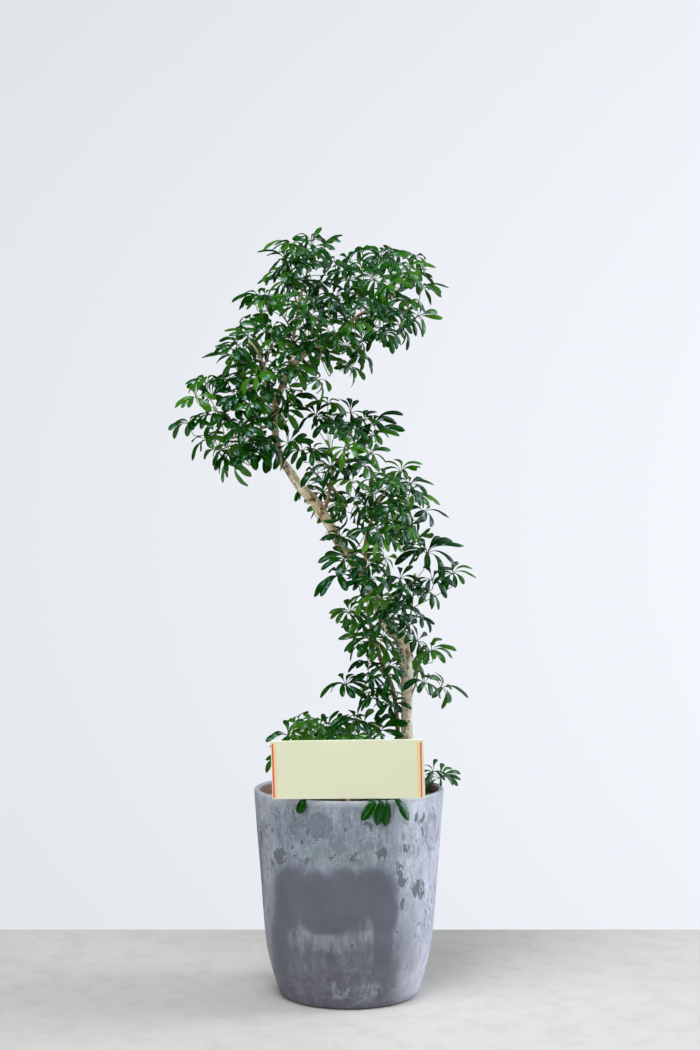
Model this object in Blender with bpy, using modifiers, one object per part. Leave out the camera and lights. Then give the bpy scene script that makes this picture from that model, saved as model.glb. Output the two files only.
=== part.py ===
"""A potted schefflera: a curved old trunk in a tall stone-look planter, with
palmately compound leaves carried in sprays, and a blank message card on a
stake just inside the rim.

Metres, +Z up, the front towards -Y. The origin is the centre of the planter's
underside.
"""

import math

import bmesh
import bpy
import numpy as np
from mathutils import Vector
from mathutils.bvhtree import BVHTree

# ---------------------------------------------------------------- dimensions
POT_HEIGHT = 0.405          # underside to the top of the rim
POT_RIM_RADIUS = 0.1875     # outside, at the rim
POT_WALL = 0.0100           # wall thickness under the rim
POT_FLOOR = 0.0180          # floor thickness
# outer radius of the planter at a few heights above its underside
POT_SIDE = ((0.0, 0.1320), (0.0060, 0.1375), (0.039, 0.1485), (0.083, 0.1600),
            (0.1265, 0.1663), (0.212, 0.1730), (0.340, 0.1830), (0.4005, 0.1874))
DRAIN_RADIUS = 0.0065
DRAIN_CIRCLE = 0.0620       # the drain holes' distance from the axis
DRAIN_COUNT = 3
STONES_TOP = 0.0560         # drainage stones, from the floor up
SOIL_TOP = 0.3790           # soil at the wall; it crowns a little in the middle
SOIL_CROWN = 0.0050
GAP = 0.0003                # between pieces that touch
TURN_STEPS = 32

CARD_FOOT = -0.1790         # the card's middle plane at its lower edge, just inside the rim
CARD_HEAD = -0.2000         # and at its upper edge: it leans out over the rim
CARD_THICK = 0.0030
STAKE_THICK = 0.0040
STAKE_WIDTH = 0.0080
STAKE_BURIED = 0.1400       # how far down the stake reaches below the card

# The plant is drawn on a front elevation sheet: one unit is 1.98 mm at the
# planter's axis, x grows to the right and y grows downwards. SHEET_AXIS_X is
# the planter's axis. The sheet is a view in perspective from EYE_DISTANCE in
# front of the axis, at EYE_HEIGHT, so a point's depth changes where it lies.
UNIT = 0.00198
SHEET_AXIS_X = 349.0
SHEET_EYE_Y = 525.0
EYE_DISTANCE = 3.60
EYE_HEIGHT = 0.9245

LEAFLET_LENGTH = 0.060      # typical, hub to tip
LEAF_CORE = 0.0013          # half the thickness of a leaf solid at its hub
NOTCH = 0.34                # where the gaps between leaflets begin, as a share
PETIOLE_RADIUS = 0.0012
NECKS = (0.46, 0.62, 0.32, 0.80, 0.20)  # the last part of a leaf stalk, square to the leaf, as a
                            # share of the leaflets' length: the first that clears them is used


def place(x, y, depth_cm):
    """A point of the sheet at a depth in centimetres, positive away from the front."""
    depth = depth_cm * 0.01
    f = 1.0 + depth / EYE_DISTANCE
    return Vector(((x - SHEET_AXIS_X) * UNIT * f, depth,
                   EYE_HEIGHT + (SHEET_EYE_Y - y) * UNIT * f))


# ------------------------------------------------------------ the woody frame
# name: (points as x, y, depth; radius in millimetres)
WOOD = {
    "trunk_and_branches": [(407, 850, 0, 12.4), (407, 790, 0, 12.4), (407, 738, 0, 11.9), (406.6, 716, 0, 10.6),
              (407, 686, 0, 11.8), (405, 659, -0.3, 13.0), (400.4, 638, -0.6, 12.9),
              (390, 629, -0.8, 12.2), (381, 611, -1, 11.6), (375.7, 595, -1, 11.4),
              (363, 579, -0.8, 11.2), (350.5, 557, -0.4, 10.4), (341.3, 546.7, 0, 9.6),
              (329, 524, 0.4, 9.9), (320.3, 510, 0.6, 10.4), (312.9, 499.7, 0.8, 11.0),
              (299.5, 486, 0.9, 9.4), (289.2, 470.6, 0.8, 8.6), (282, 461, 0.6, 8.4),
              (277.5, 446, 0.4, 7.6), (275.2, 430.6, 0.2, 6.6), (275.2, 415.3, 0, 6.6),
              (276.5, 400, 0, 6.9), (281.7, 388, 0.3, 6.9), (288, 372, 0.8, 6.8),
              (303, 355, 1.2, 6.6), (325, 342, 1.0, 6.8), (346.5, 331, 0.4, 6.6)],
    "rear_stem": [(400, 850, 3.4, 5.0), (400, 790, 3.4, 5.0), (397, 720, 3.4, 4.6), (392, 687, 3.3, 4.4),
                  (382, 664, 3.1, 4.2), (378, 650, 3.0, 4.0), (372, 631, 2.8, 3.8),
                  (370, 622, 2.6, 3.4), (366, 606, 2.4, 2.8)],
}
# name: (the piece that it grows from, points, where the first one is moved on to it)
BRANCHES = {
    "branch_crown_left": ("trunk_and_branches", [(276, 405, 0, 3.6), (269, 386, -1.6, 3.2), (264, 366, -2.6, 3.0),
                                    (255, 348, -2.8, 2.6), (249, 341, -2.8, 2.2)]),
    "branch_crown_top": ("trunk_and_branches", [(290, 370, 1, 4.2), (291, 350, 3.0, 3.8), (295, 328, 4.0, 3.4),
                                   (299, 306, 4.2, 3.0), (303, 286, 4.2, 2.4)]),
    "branch_crown_front": ("trunk_and_branches", [(282, 387, 0.2, 4.2), (290, 377, -1.6, 4.0), (303, 366.5, -2.8, 4.0),
                                     (316, 356.6, -3.2, 3.8), (324.5, 347.4, -3.2, 3.6),
                                     (341, 337.5, -3.0, 3.4)]),
    "branch_crown_right": ("trunk_and_branches", [(336, 336, 0.6, 4.0), (350, 322, 2.2, 3.8), (366, 311, 2.2, 3.4),
                                     (380, 303, 1.8, 3.0), (391, 295, 1.6, 2.6)]),
    "branch_left_low": ("trunk_and_branches", [(275.2, 424, 0, 3.6), (262, 428, -2.0, 3.2), (246, 434, -3.2, 3.0),
                                  (232, 438, -3.8, 2.6), (221, 438, -4.0, 2.2)]),
    "branch_middle": ("trunk_and_branches", [(324, 514, 0.6, 4.0), (329, 494, -0.8, 3.9), (331, 480, -1.0, 3.9),
                                (333, 469, -1.0, 3.6), (340, 458, -1.2, 3.2), (346, 449, -1.4, 2.6)]),
    "branch_right": ("trunk_and_branches", [(362, 577, -0.8, 4.4), (365.5, 560, -1.8, 4.0), (365.8, 542, -2.2, 3.8),
                               (371, 522, -2.4, 3.4), (377, 506, -2.4, 3.0), (380.5, 497, -2.4, 2.4)]),
}

# ------------------------------------------------------------------- sprays
# name: carrier, stem points (x, y, depth), leaves.
# A leaf is (hub x, hub y, hub depth, tips of the leaflets that show).
# The leaflets that a row leaves out are filled in round the hub.
SPRAYS = {
    "spray_crown_peak": ("branch_crown_top", [(303, 290, 4.2), (305, 280, 3.8), (307, 271, 3.4)], [
        (324, 248, 3.0, (343, 235), (321, 230), (333, 240), (335, 253)),
        (312, 248, 1.0, (292, 238), (321, 226), (305, 236), (317, 258)),
        (298, 251, 6.5, (292, 242), (297, 241), (303, 245)),
        (309, 257, -1.5, (316, 250), (319, 254), (300, 252), (297, 258)),
        (307, 268, -4.0, (312, 258), (291, 260), (321, 270), (301, 279)),
        (311, 241, 3.5, (293, 236), (300, 236), (318, 232), (322, 243)),
        (335, 262, -1.5, (322, 258), (330, 256), (346, 262), (341, 270))]),
    "spray_crown_upper_left": ("branch_crown_top", [(299, 308, 4.2), (294, 294, 3.8), (290, 279, 3.0)], [
        (284, 258, 3.0, (257, 252), (266, 253), (288, 245), (294, 247)),
        (290, 264, -0.5, (279, 262), (283, 267), (300, 254)),
        (284, 283, 0.5, (257, 284), (270, 278), (282, 272), (291, 293)),
        (292, 281, -3.5, (283, 268), (300, 270), (301, 290)),
        (291, 247, 2.5, (263, 250), (275, 248), (302, 243), (284, 255)),
        (281, 275, -1.0, (262, 283), (272, 273), (290, 268), (286, 286))]),
    "spray_crown_shoulder": ("branch_crown_top", [(294, 334, 3.8), (285, 319, 2.6), (276, 307, 1.2)], [
        (260, 298, 1.0, (241, 294), (232, 303), (240, 302), (249, 309), (258, 287)),
        (270, 301, -2.5, (267, 287), (276, 287), (283, 281), (262, 312)),
        (288, 302, -4.5, (270, 306), (270, 300), (280, 296), (295, 313)),
        (297, 309, -7.5, (271, 312), (306, 321), (311, 303), (290, 322)),
        (265, 297, -1.0, (259, 287), (265, 286), (272, 288), (254, 307)),
        (256, 299, 3.5, (241, 292), (247, 308), (243, 297))]),
    "spray_crown_centre": ("branch_crown_top", [(301, 300, 4.2), (309, 298, 2.2), (315, 296, 0.8)], [
        (306, 287, -5.5, (290, 293), (288, 285), (300, 280), (308, 275), (313, 296), (321, 287)),
        (322, 285, -2.5, (331, 290), (340, 282), (325, 272), (316, 299)),
        (322, 306, -6.5, (308, 312), (334, 313), (322, 320), (337, 303)),
        (336, 297, -3.5, (345, 287), (348, 301), (338, 310)),
        (299, 296, -10.5, (290, 300), (306, 291), (296, 305))]),
    "spray_crown_top_right": ("branch_crown_right", [(352, 320, 2.2), (358, 300, 1.8), (362, 288, 1.0)], [
        (350, 262, 2.0, (362, 246), (341, 252), (352, 250), (342, 270)),
        (380, 257, 1.0, (374, 247), (381, 246), (391, 246), (360, 248)),
        (374.5, 280, -3.0, (360, 268), (370, 267), (385, 266), (397, 262)),
        (349, 281, -2.0, (338, 272), (334, 286), (352, 270), (347, 296)),
        (363, 299, -5.5, (351, 293), (376, 296), (358, 312), (370, 311)),
        (345, 272, -4.5, (333, 270), (352, 264), (357, 275), (344, 281)),
        (362, 268, -2.0, (350, 268), (360, 258), (374, 266), (368, 277)),
        (362, 252, 3.0, (349, 250), (356, 247), (372, 247), (377, 254))]),
    "spray_crown_far_right": ("branch_crown_right", [(385, 299.4, 1.7), (394, 287, 1.8), (399, 277, 1.8)], [
        (398, 257, 4.0, (400, 248), (406, 253), (391, 252)),
        (410, 267, 0.5, (418, 258), (424, 261), (431, 264), (436, 268), (404, 261)),
        (414, 275, 5.5, (428, 268), (424, 278)),
        (394, 263, -1.5, (380, 271), (406, 271), (400, 278), (387, 277)),
        (401, 280, -4.0, (411, 277), (419, 281), (387, 281), (380, 285), (402, 291)),
        (388, 252, 3.5, (378, 246), (386, 245), (397, 250), (401, 258)),
        (413, 258, 2.0, (404, 252), (414, 257), (424, 262), (402, 262)),
        (391, 285, -8.0, (379, 282), (388, 276), (402, 283), (394, 296))]),
    "spray_crown_right_edge": ("branch_crown_right", [(390.5, 295.4, 1.6), (402, 300, 0.6), (411, 301, -0.4)], [
        (420, 290, 0.0, (449, 288), (440, 296), (428, 293), (404, 288), (409, 283)),
        (391, 299, -6.0, (379, 291), (386, 288), (397, 291), (400, 300), (386, 309)),
        (408, 302, -6.5, (422, 307), (407, 312), (416, 313), (399, 311)),
        (418, 316, -1.0, (443, 318), (438, 311), (427, 306), (431, 332), (424, 335)),
        (404, 317, 4.0, (415, 326), (398, 329), (414, 313)),
        (405, 318, -9.0, (393, 316), (401, 308), (416, 322), (407, 329))]),
    "spray_crown_right_low": ("branch_crown_right", [(365, 311.8, 2.2), (378, 318, 0.2), (389, 321, -1.6)], [
        (399.5, 328, -3.5, (385, 320), (392, 316), (405, 319), (419, 333), (411, 335), (396, 337)),
        (380.5, 336, -4.5, (392, 340), (390, 349), (379, 353), (371, 344)),
        (372, 319, -6.5, (358, 316), (361, 327), (384, 324), (372, 332), (377, 307)),
        (386, 310, -9.0, (374, 304), (398, 309), (381, 322), (392, 319)),
        (384, 333, -7.0, (376, 343), (381, 348), (394, 329), (372, 330)),
        (370, 306, -10.0, (358, 304), (366, 296), (382, 303), (374, 316))]),
    "spray_crown_middle": ("branch_crown_front", [(335, 341.4, -3.1), (341, 330, -5.0), (346, 320, -6.6)], [
        (332, 322, -9.5, (319, 327), (333, 308), (344, 326), (329, 336), (320, 316)),
        (347, 306, -8.5, (334, 311), (347, 293), (361, 308), (350, 320)),
        (354, 324, -11.5, (341, 320), (356, 311), (367, 322), (362, 335), (348, 337)),
        (338, 338, -12.0, (324, 341), (336, 349), (350, 343)),
        (346.4, 347.2, -9.4, (336, 353), (348, 358), (358, 351), (355, 339)),
        (361, 341, -8.0, (351, 347), (362, 352), (370, 336), (357, 331)),
        (330, 302, -11.0, (317, 303), (326, 292), (342, 299), (334, 314))]),
    "spray_crown_under": ("branch_crown_front", [(320, 352, -3.2), (331, 355, -1.4), (339, 360, -0.6)], [
        (346, 367, -1.0, (368, 375), (364, 381), (354, 380), (336, 363), (334, 370)),
        (358, 356, -3.5, (370, 370), (360, 367), (350, 360), (369, 354)),
        (321, 359, 4.0, (308, 367), (316, 369), (330, 367))]),
    "spray_crown_front": ("branch_crown_front", [(307, 363.4, -2.9), (304, 367, -5.2), (301, 366, -7.0)], [
        (288.5, 359, -8.0, (271, 355), (301, 358), (280, 366), (288, 347)),
        (292.3, 370, -11.0, (309, 371), (306, 380), (305, 391), (290, 386), (275, 372)),
        (316, 380, -6.5, (305, 382), (312, 391), (327, 381), (329, 393), (316, 371)),
        (280, 372, -10.5, (267, 378), (272, 364), (292, 379), (283, 386)),
        (291, 389, -8.5, (279, 394), (298, 400), (303, 387), (287, 379))]),
    "spray_crown_inner": ("branch_crown_front", [(312, 359.6, -3.1), (309, 346, -4.8), (306, 337, -6.2)], [
        (300, 330, -10.5, (286, 333), (291, 320), (302, 316), (314, 328), (303, 344)),
        (315, 341, -9.5, (325, 352), (310, 354), (327, 336), (312, 327)),
        (293, 343, -7.5, (281, 350), (299, 356), (284, 336), (303, 340)),
        (318, 351, -8.5, (307, 354), (316, 362), (328, 357), (329, 345)),
        (311, 316, -12.5, (298, 318), (306, 306), (323, 312), (315, 328)),
        (301, 352, -12.0, (289, 357), (298, 363), (312, 349), (303, 341))]),
    "spray_crown_left_bright": ("branch_crown_left", [(264, 366, -2.6), (268, 356, -4.0), (271, 348, -5.0)], [
        (265.6, 333, -4.0, (239, 323), (252, 316), (259, 320), (263, 311), (275, 327), (256, 344)),
        (278, 341.5, -7.0, (291, 337), (281, 329), (266, 347), (284, 353)),
        (252, 321, -3.0, (241, 324), (246, 316), (262, 315), (258, 330)),
        (272.6, 328.2, -6.6, (258, 332), (266, 321), (284, 325), (279, 338))]),
    "spray_crown_left_outer": ("branch_crown_left", [(252, 344.6, -2.8), (246, 348, -3.0), (242, 352, -3.4)], [
        (248, 338, -1.0, (224, 331), (241, 325), (247, 326), (236, 342)),
        (237, 345, -4.5, (218, 340), (239, 336), (229, 352)),
        (236, 357, -2.0, (205, 350), (202, 358), (218, 365), (240, 369)),
        (250, 365, -7.5, (240, 362), (243, 371), (263, 362), (258, 373)),
        (233, 350, -5.5, (216, 348), (222, 357), (217, 364), (240, 362))]),
    "spray_left_upper_tip": ("branch_left_low", [(240, 435.6, -3.5), (226, 423, -4.2), (217, 411, -4.2)], [
        (196, 397, -5.0, (175, 408), (191, 409), (186, 384), (183, 392), (206, 376)),
        (214, 396, -2.0, (196, 383), (215, 378), (225, 374), (204, 404)),
        (212, 415, -7.5, (189, 424), (203, 430), (222, 424), (201, 414)),
        (207, 384, -3.0, (186, 385), (196, 377), (216, 377), (221, 389))]),
    "spray_left_upper_inner": ("branch_crown_left", [(268, 384, -1.7), (256, 386, -4.4), (247, 389, -6.2)], [
        (240, 380, -6.0, (224, 391), (221, 385), (231, 373), (246, 369)),
        (235, 396, -9.0, (217, 407), (226, 386), (228, 411), (247, 402)),
        (257, 378, -8.0, (245, 372), (262, 366), (270, 382), (257, 392)),
        (250, 405, -11.5, (236, 412), (243, 395), (262, 399), (262, 411), (249, 419)),
        (228, 381, -8.0, (216, 377), (221, 391), (238, 374), (240, 387)),
        (271, 391, -7.0, (261, 397), (268, 405), (282, 397), (264, 381))]),
    "spray_left_tip": ("branch_left_low", [(223, 438, -4.0), (216, 436, -4.4), (211, 434, -4.6)], [
        (190, 424, -3.0, (170, 431), (183, 434), (176, 424), (198, 416)),
        (206, 440, -7.5, (194, 443), (205, 458), (214, 449), (198, 452)),
        (218.6, 448, -5.0, (205, 459), (212, 474), (222, 470), (232, 457)),
        (222, 424, -9.0, (209, 428), (216, 436), (232, 430), (227, 413))]),
    "spray_left_hanging": ("branch_left_low", [(244, 434.6, -3.3), (241, 444, -3.8), (239, 450, -4.0)], [
        (238, 458, -3.0, (223, 483), (236.5, 489.5), (248, 486.5), (256, 479), (228, 478)),
        (228, 447, -8.0, (218, 451), (228, 462), (240, 457), (221, 437)),
        (252, 452, -7.0, (242, 462), (257, 471), (264, 461), (262, 447)),
        (230, 455, -5.5, (216, 471), (224, 480), (233, 482), (243, 470)),
        (261, 453, -5.0, (256, 478), (266, 474), (273, 464), (251, 466))]),
    "spray_left_front": ("branch_left_low", [(258, 429.4, -2.3), (252, 431, -5.0), (248, 430, -7.0)], [
        (240, 432, -10.5, (227, 428), (230, 441), (243, 447), (253, 439), (244, 418)),
        (260.6, 422, -9.5, (249, 421), (262, 410), (271, 420), (273, 432), (257, 435)),
        (262, 442, -10.5, (250, 444), (253, 456), (270, 458), (273, 444), (262, 430)),
        (236, 411, -7.0, (224, 412), (231, 401), (247, 406), (241, 421)),
        (272, 448, -7.0, (266, 462), (274, 470), (278, 457), (264, 441))]),
    "spray_trunk_right": ("trunk_and_branches", [(275.4, 410, 0), (284, 419, -2.0), (287, 428, -3.0)], [
        (282, 412, -4.6, (302, 421), (298, 431), (287, 399), (296, 409), (283, 431)),
        (294, 400, -2.0, (307, 399), (303, 411), (289, 389), (302, 391)),
        (289, 443, -3.8, (298, 428), (307, 439), (314, 442), (284, 457), (300, 452))]),
    "spray_trunk_gap": ("branch_middle", [(332.6, 471, -1.0), (325, 463, -0.6), (319, 459, -0.4)], [
        (302.4, 451, 0.0, (282, 464), (292, 465), (306, 462), (298, 443)),
        (313, 452, -3.5, (306, 440), (321, 443), (324, 458), (313, 467)),
        (317, 474, -5.5, (304, 484), (311, 491), (325, 488), (307, 470))]),
    "spray_middle_left": ("branch_middle", [(336.5, 462.6, -1.1), (331, 452, -1.6), (328, 445, -2.0)], [
        (315.7, 417, -1.0, (295, 408), (305, 404), (319, 400), (331, 403), (308, 419)),
        (330, 421, -4.0, (318, 413), (342, 416), (333, 408), (324, 432)),
        (338, 430, -6.0, (320, 428), (326, 420), (347, 424), (340, 442)),
        (328, 404, -2.5, (316, 405), (322, 397), (339, 400), (334, 414))]),
    "spray_middle_top": ("branch_middle", [(343, 453.4, -1.3), (346, 444, -1.8), (349, 436, -2.4)], [
        (350.5, 413, -1.0, (338, 398), (348, 397), (358, 399), (367, 403)),
        (352, 429, -6.0, (341, 424), (345, 438), (357, 441), (357, 417)),
        (364, 421, -3.5, (377, 411), (368, 409), (376, 426), (357, 430))]),
    "spray_middle_right": ("branch_middle", [(345, 450.6, -1.4), (355, 446, -2.0), (363, 442, -2.4)], [
        (374.5, 425.6, -1.0, (403.5, 415), (395, 419), (368, 416), (384, 434)),
        (374.5, 436, -4.5, (405, 431), (399, 437), (381, 446), (364, 432)),
        (370, 454, -3.5, (391, 450), (384, 459), (361, 464), (372, 467), (364, 442))]),
    "spray_middle_front": ("branch_middle", [(332, 474, -1.0), (337, 466, -3.6), (340, 460, -5.4)], [
        (347.5, 449, -9.0, (331, 438), (339, 437), (352, 438), (365, 450), (357, 459)),
        (331, 467, -9.5, (315, 461), (310, 472), (325, 485), (345, 476), (321, 452)),
        (349, 464, -6.5, (366, 457), (371, 463), (346, 483), (357, 476)),
        (362, 466, -5.5, (352, 471), (373, 463), (379, 472), (364, 479))]),
    "spray_right_upper": ("branch_right", [(379.6, 499.4, -2.4), (386, 490, -2.6), (391, 483, -2.8)], [
        (401, 473, -2.0, (384, 461), (394, 459), (418, 460.5), (423, 464), (416, 471)),
        (409, 485, -4.5, (408, 476), (424, 479), (434, 485), (426, 495), (400, 494)),
        (387, 481, -7.0, (374, 477), (377, 491), (392, 494), (397, 480), (384, 468)),
        (372, 480, -5.0, (360, 478), (366, 491), (384, 476), (381, 489)),
        (410, 492, -7.0, (399, 495), (405, 483), (423, 489), (415, 503))]),
    "spray_right_outer": ("branch_right", [(378, 504.4, -2.4), (391, 503, -1.6), (400, 502, -1.0)], [
        (410, 499, -2.0, (440, 505), (428, 506), (424, 496), (408, 512)),
        (424, 512, -1.0, (449, 518), (441, 520), (430, 527), (428, 504), (413, 517)),
        (407, 526, -4.5, (399, 513), (423, 517), (419, 533), (399, 538)),
        (415, 536, 0.5, (431, 528), (433, 535), (424, 546), (404, 545)),
        (404.4, 528.2, -10.0, (393, 530), (400, 518), (417, 527), (409, 540)),
        (412, 545, -5.0, (401, 549), (408, 536), (425, 540), (419, 554))]),
    "spray_right_inner": ("branch_right", [(373, 516.6, -2.4), (378, 516, -4.4), (382, 517, -6.0)], [
        (367, 507, -7.5, (353, 505), (363, 493), (375, 497), (362, 520)),
        (391, 512, -8.5, (380, 504), (395, 499), (404, 510), (397, 525), (384, 524)),
        (380, 533, -10.5, (365, 531), (371, 545), (388, 546), (395, 533), (380, 519)),
        (398, 530, -9.0, (388, 538), (401, 545), (411, 531), (402, 518)),
        (398, 511, -11.5, (386, 513), (393, 502), (410, 508), (402, 522))]),
    "spray_middle_lower": ("branch_middle", [(330.6, 484, -1.0), (338, 494, -2.4), (343, 501, -3.4)], [
        (352, 500, -4.5, (352, 486), (362, 492), (364, 506), (345, 489)),
        (344, 511, -5.0, (323, 521), (329, 525), (339, 525), (353, 523), (334, 503)),
        (336, 503, 3.0, (326, 500), (331, 493), (347, 507), (340, 515)),
        (352, 483, -6.5, (340, 486), (348, 494), (363, 490), (356, 473))]),
    "spray_behind_trunk": ("trunk_and_branches", [(312.9, 499.7, 0.8), (310, 500, 4.2), (308, 502, 6.4)], [
        (308, 488, 9.0, (296, 502), (301, 500), (319, 480)),
        (326, 507, 8.5, (311, 519), (338, 512), (320, 523)),
        (322, 494, 10.5, (334, 488), (336, 499), (322, 481))]),
    "spray_centre_low": ("branch_right", [(365.6, 556, -1.9), (359, 552, -3.6), (354, 551, -4.6)], [
        (366, 532, -6.0, (352, 540), (357, 524), (377, 524), (370, 545)),
        (347, 557, -6.0, (333, 547), (346, 540), (318, 563), (321, 574), (362, 553), (345, 573)),
        (340, 538, -5.0, (327, 540), (333, 527), (350, 531), (346, 548)),
        (344, 562, -9.0, (321, 570), (329, 561), (338, 576), (356, 566))]),
    "spray_centre_hanging": ("trunk_and_branches", [(358, 570.2, -0.6), (358, 572, -3.6), (357, 574, -5.2)], [
        (341, 576, -6.0, (314, 597), (321, 596), (330, 573), (347, 590)),
        (369, 566, -6.5, (356, 561), (380, 573), (368, 580), (374, 555)),
        (364, 583, -5.0, (353, 590), (362, 597), (376, 590)),
        (371, 580, -12.0, (359, 583), (366, 593), (383, 583), (375, 570))]),
    "spray_young": ("branch_right", [(366.4, 539, -2.2), (373, 542, -3.0), (377, 543, -3.4)], [
        (383, 541, -4.5, (391, 533), (395, 541), (388, 552), (378, 531)),
        (384, 558, -3.0, (373, 556), (378, 568), (392, 566), (396, 556))]),
    "spray_stub": ("trunk_and_branches", [(401, 640, -0.6), (410, 617, -0.8), (413, 596, -1.0), (414, 580, -1.2)], [
        (427, 553, -1.0, (420, 538), (444, 539), (464, 546), (450, 548), (414, 556)),
        (432, 580, -3.5, (424, 567), (453, 570), (454, 586), (446, 598), (427, 593)),
        (453, 574, 1.5, (473, 569), (476, 578), (463, 584), (459, 562)),
        (427, 592, -1.0, (431, 609), (444, 606), (436, 611), (418, 604)),
        (400, 579, -4.5, (400, 568), (413, 566), (421, 583), (387, 584), (400, 593)),
        (389, 587, -10.5, (378, 594), (386, 600), (400, 588), (394, 577)),
        (407, 592, -9.5, (398, 600), (408, 606), (419, 595), (411, 581)),
        (417, 617, -4.5, (434, 624), (421, 627), (414, 608), (405, 622))]),
    "spray_lower_front": ("trunk_and_branches", [(386, 621, -0.9), (388, 616, -3.8), (389, 612, -5.4)], [
        (394.4, 614, -9.0, (378, 619), (388, 630), (401, 629), (398, 593), (396, 639), (414, 610)),
        (379, 600, -7.0, (363, 602), (374, 589), (393, 596), (386, 611)),
        (405, 628, -6.0, (417, 620), (417, 635), (404, 643), (398, 618)),
        (403, 607, -12.5, (393, 612), (403, 620), (415, 612), (408, 597)),
        (381, 622, -11.5, (369, 622), (376, 635), (391, 629), (385, 611))]),
    "spray_rear_left": ("rear_stem", [(368, 613, 2.5), (361, 612, 1.6), (356, 612, 1.0)], [
        (368, 599, -4.5, (356, 615), (369, 616), (357, 600), (379, 607)),
        (350, 613, -1.5, (329, 613), (333, 622), (358, 602), (347, 600)),
        (360, 626, -3.5, (341, 627), (349, 634), (372, 623), (366, 637))]),
    "spray_rear_low": ("rear_stem", [(377, 647, 3.0), (373, 643, 0.8), (371, 641, -0.4)], [
        (370, 640, -3.5, (338, 639), (344, 651), (352, 654), (371, 660), (379, 629)),
        (387, 650, -4.5, (399, 644), (396, 658), (384, 664), (378, 641)),
        (362, 645, 5.5, (349, 640), (350, 652), (362, 660), (372, 648)),
        (383, 637, -6.5, (371, 637), (379, 627), (395, 634), (387, 648))]),
    "spray_right_low": ("trunk_and_branches", [(406.8, 704, 0), (415, 686, -1.0), (418, 670, -1.6), (419, 661, -1.8)], [
        (431, 652, -2.0, (443, 640), (456, 650), (458, 659), (444, 662), (433, 658)),
        (417, 641, 3.0, (417, 656), (427, 634), (405, 634), (412, 625)),
        (424.6, 684, -4.0, (417, 673), (431, 681), (440, 698), (430, 694), (417, 691)),
        (441, 688, 0.0, (436, 674), (448, 686), (468, 698), (446, 701)),
        (412, 662, 4.5, (422, 668), (401, 668), (404, 652), (413, 677))]),
    "spray_low_left": ("rear_stem", [(392.6, 690, 3.3), (378, 689, 2.0), (364, 686, 1.0)], [
        (345.6, 685, 0.0, (320, 698), (323, 690), (334, 699), (343, 695), (340, 676), (353, 676)),
        (367, 664, -0.5, (356, 667), (361, 672), (378, 666), (369, 652)),
        (368, 676, -3.5, (357, 680), (363, 687), (378, 672), (372, 689))]),
    "spray_low_centre": ("trunk_and_branches", [(406.9, 696, 0), (396, 692, -2.4), (388, 691, -3.4)], [
        (386, 679, -5.0, (370, 681), (374, 690), (385, 692), (399, 682), (390, 667)),
        (376, 692, -2.0, (361, 692), (369, 709), (376, 712), (386, 698)),
        (391, 706, -5.5, (379, 714), (394, 721), (401, 711), (388, 695)),
        (389, 667, -3.0, (399, 661), (398, 677), (383, 676), (379, 661)),
        (376, 699, -6.5, (366, 706), (374, 714), (384, 709), (387, 693))]),
    "spray_base_centre": ("soil", [(381, 800, -4.0), (380, 765, -4.0), (379, 745, -4.2)], [
        (380, 732, -4.6, (377, 718), (392, 716), (408, 724), (404, 735), (364, 727)),
        (364, 724, -3.0, (374, 711), (357, 717), (353, 729), (370, 735)),
        (355, 736, -6.5, (344, 741), (345, 729), (358, 725), (364, 744)),
        (392, 748, -7.5, (379, 752), (402, 741), (403, 757), (389, 763)),
        (354, 722, -6.0, (342, 722), (349, 713), (367, 719), (358, 732)),
        (373, 740, -9.0, (361, 742), (368, 731), (385, 737), (376, 750))]),
    "spray_base_left": ("soil", [(336, 800, -3.0), (335, 765, -3.0), (334, 746, -3.2)], [
        (328, 728, -4.5, (321, 716), (338, 712), (346, 716), (318, 722), (334, 739)),
        (345, 725, -1.0, (357, 717), (353, 730), (338, 716)),
        (337, 736, -7.5, (326, 742), (329, 730), (347, 733), (344, 747)),
        (318, 735, -5.5, (304, 723), (306, 740), (320, 748), (329, 741)),
        (319, 729, -2.0, (294, 732), (304, 723), (328, 719), (332, 735))]),
    "spray_base_far_left": ("soil", [(302, 800, -3.4), (301, 770, -3.6), (300, 748, -3.8)], [
        (298, 727, -4.0, (302, 713), (308, 715), (287, 723), (312, 730)),
        (288, 736, -5.0, (266, 741), (277, 731), (283, 722), (281, 748)),
        (303, 740, -8.5, (292, 747), (294, 732), (316, 735), (308, 752)),
        (285, 758, -4.5, (266, 773), (269, 748), (297, 768), (276, 767)),
        (309, 727, -6.5, (297, 725), (304, 716), (321, 722), (313, 738))]),
    "spray_base_right": ("soil", [(426, 800, -1.0), (427, 790, -1.0), (429, 782, -1.2)], [
        (440, 778, -2.0, (461, 775), (457, 784), (437, 766), (444, 766)),
        (433, 772, -5.0, (424, 768), (438, 762), (444, 778), (427, 782))]),
    "spray_back_crown": ("branch_crown_top", [(292, 345, 3.2), (306, 330, 7.0), (318, 318, 10.0)], [
        (316, 299, 12.0, (304, 290), (322, 284), (334, 300), (303, 306)),
        (336, 312, 12.5, (349, 304), (350, 319), (334, 326), (326, 301)),
        (303, 318, 13.5, (288, 315), (296, 329), (310, 332), (311, 306)),
        (330, 333, 11.0, (343, 337), (330, 347), (318, 342)),
        (318, 338, 8.0, (306, 340), (313, 330), (331, 335), (323, 349))]),
    "spray_back_right": ("branch_crown_right", [(372, 307.6, 2.0), (378, 312, 6.0), (382, 313, 9.0)], [
        (384, 296, 9.0, (374, 287), (390, 284), (399, 295), (381, 309)),
        (394, 314, 9.5, (407, 309), (406, 322), (390, 327)),
        (368, 322, 10.5, (355, 321), (362, 334), (377, 332), (364, 309)),
        (360, 296, 9.0, (348, 291), (363, 283), (372, 300), (352, 306))]),
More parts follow.
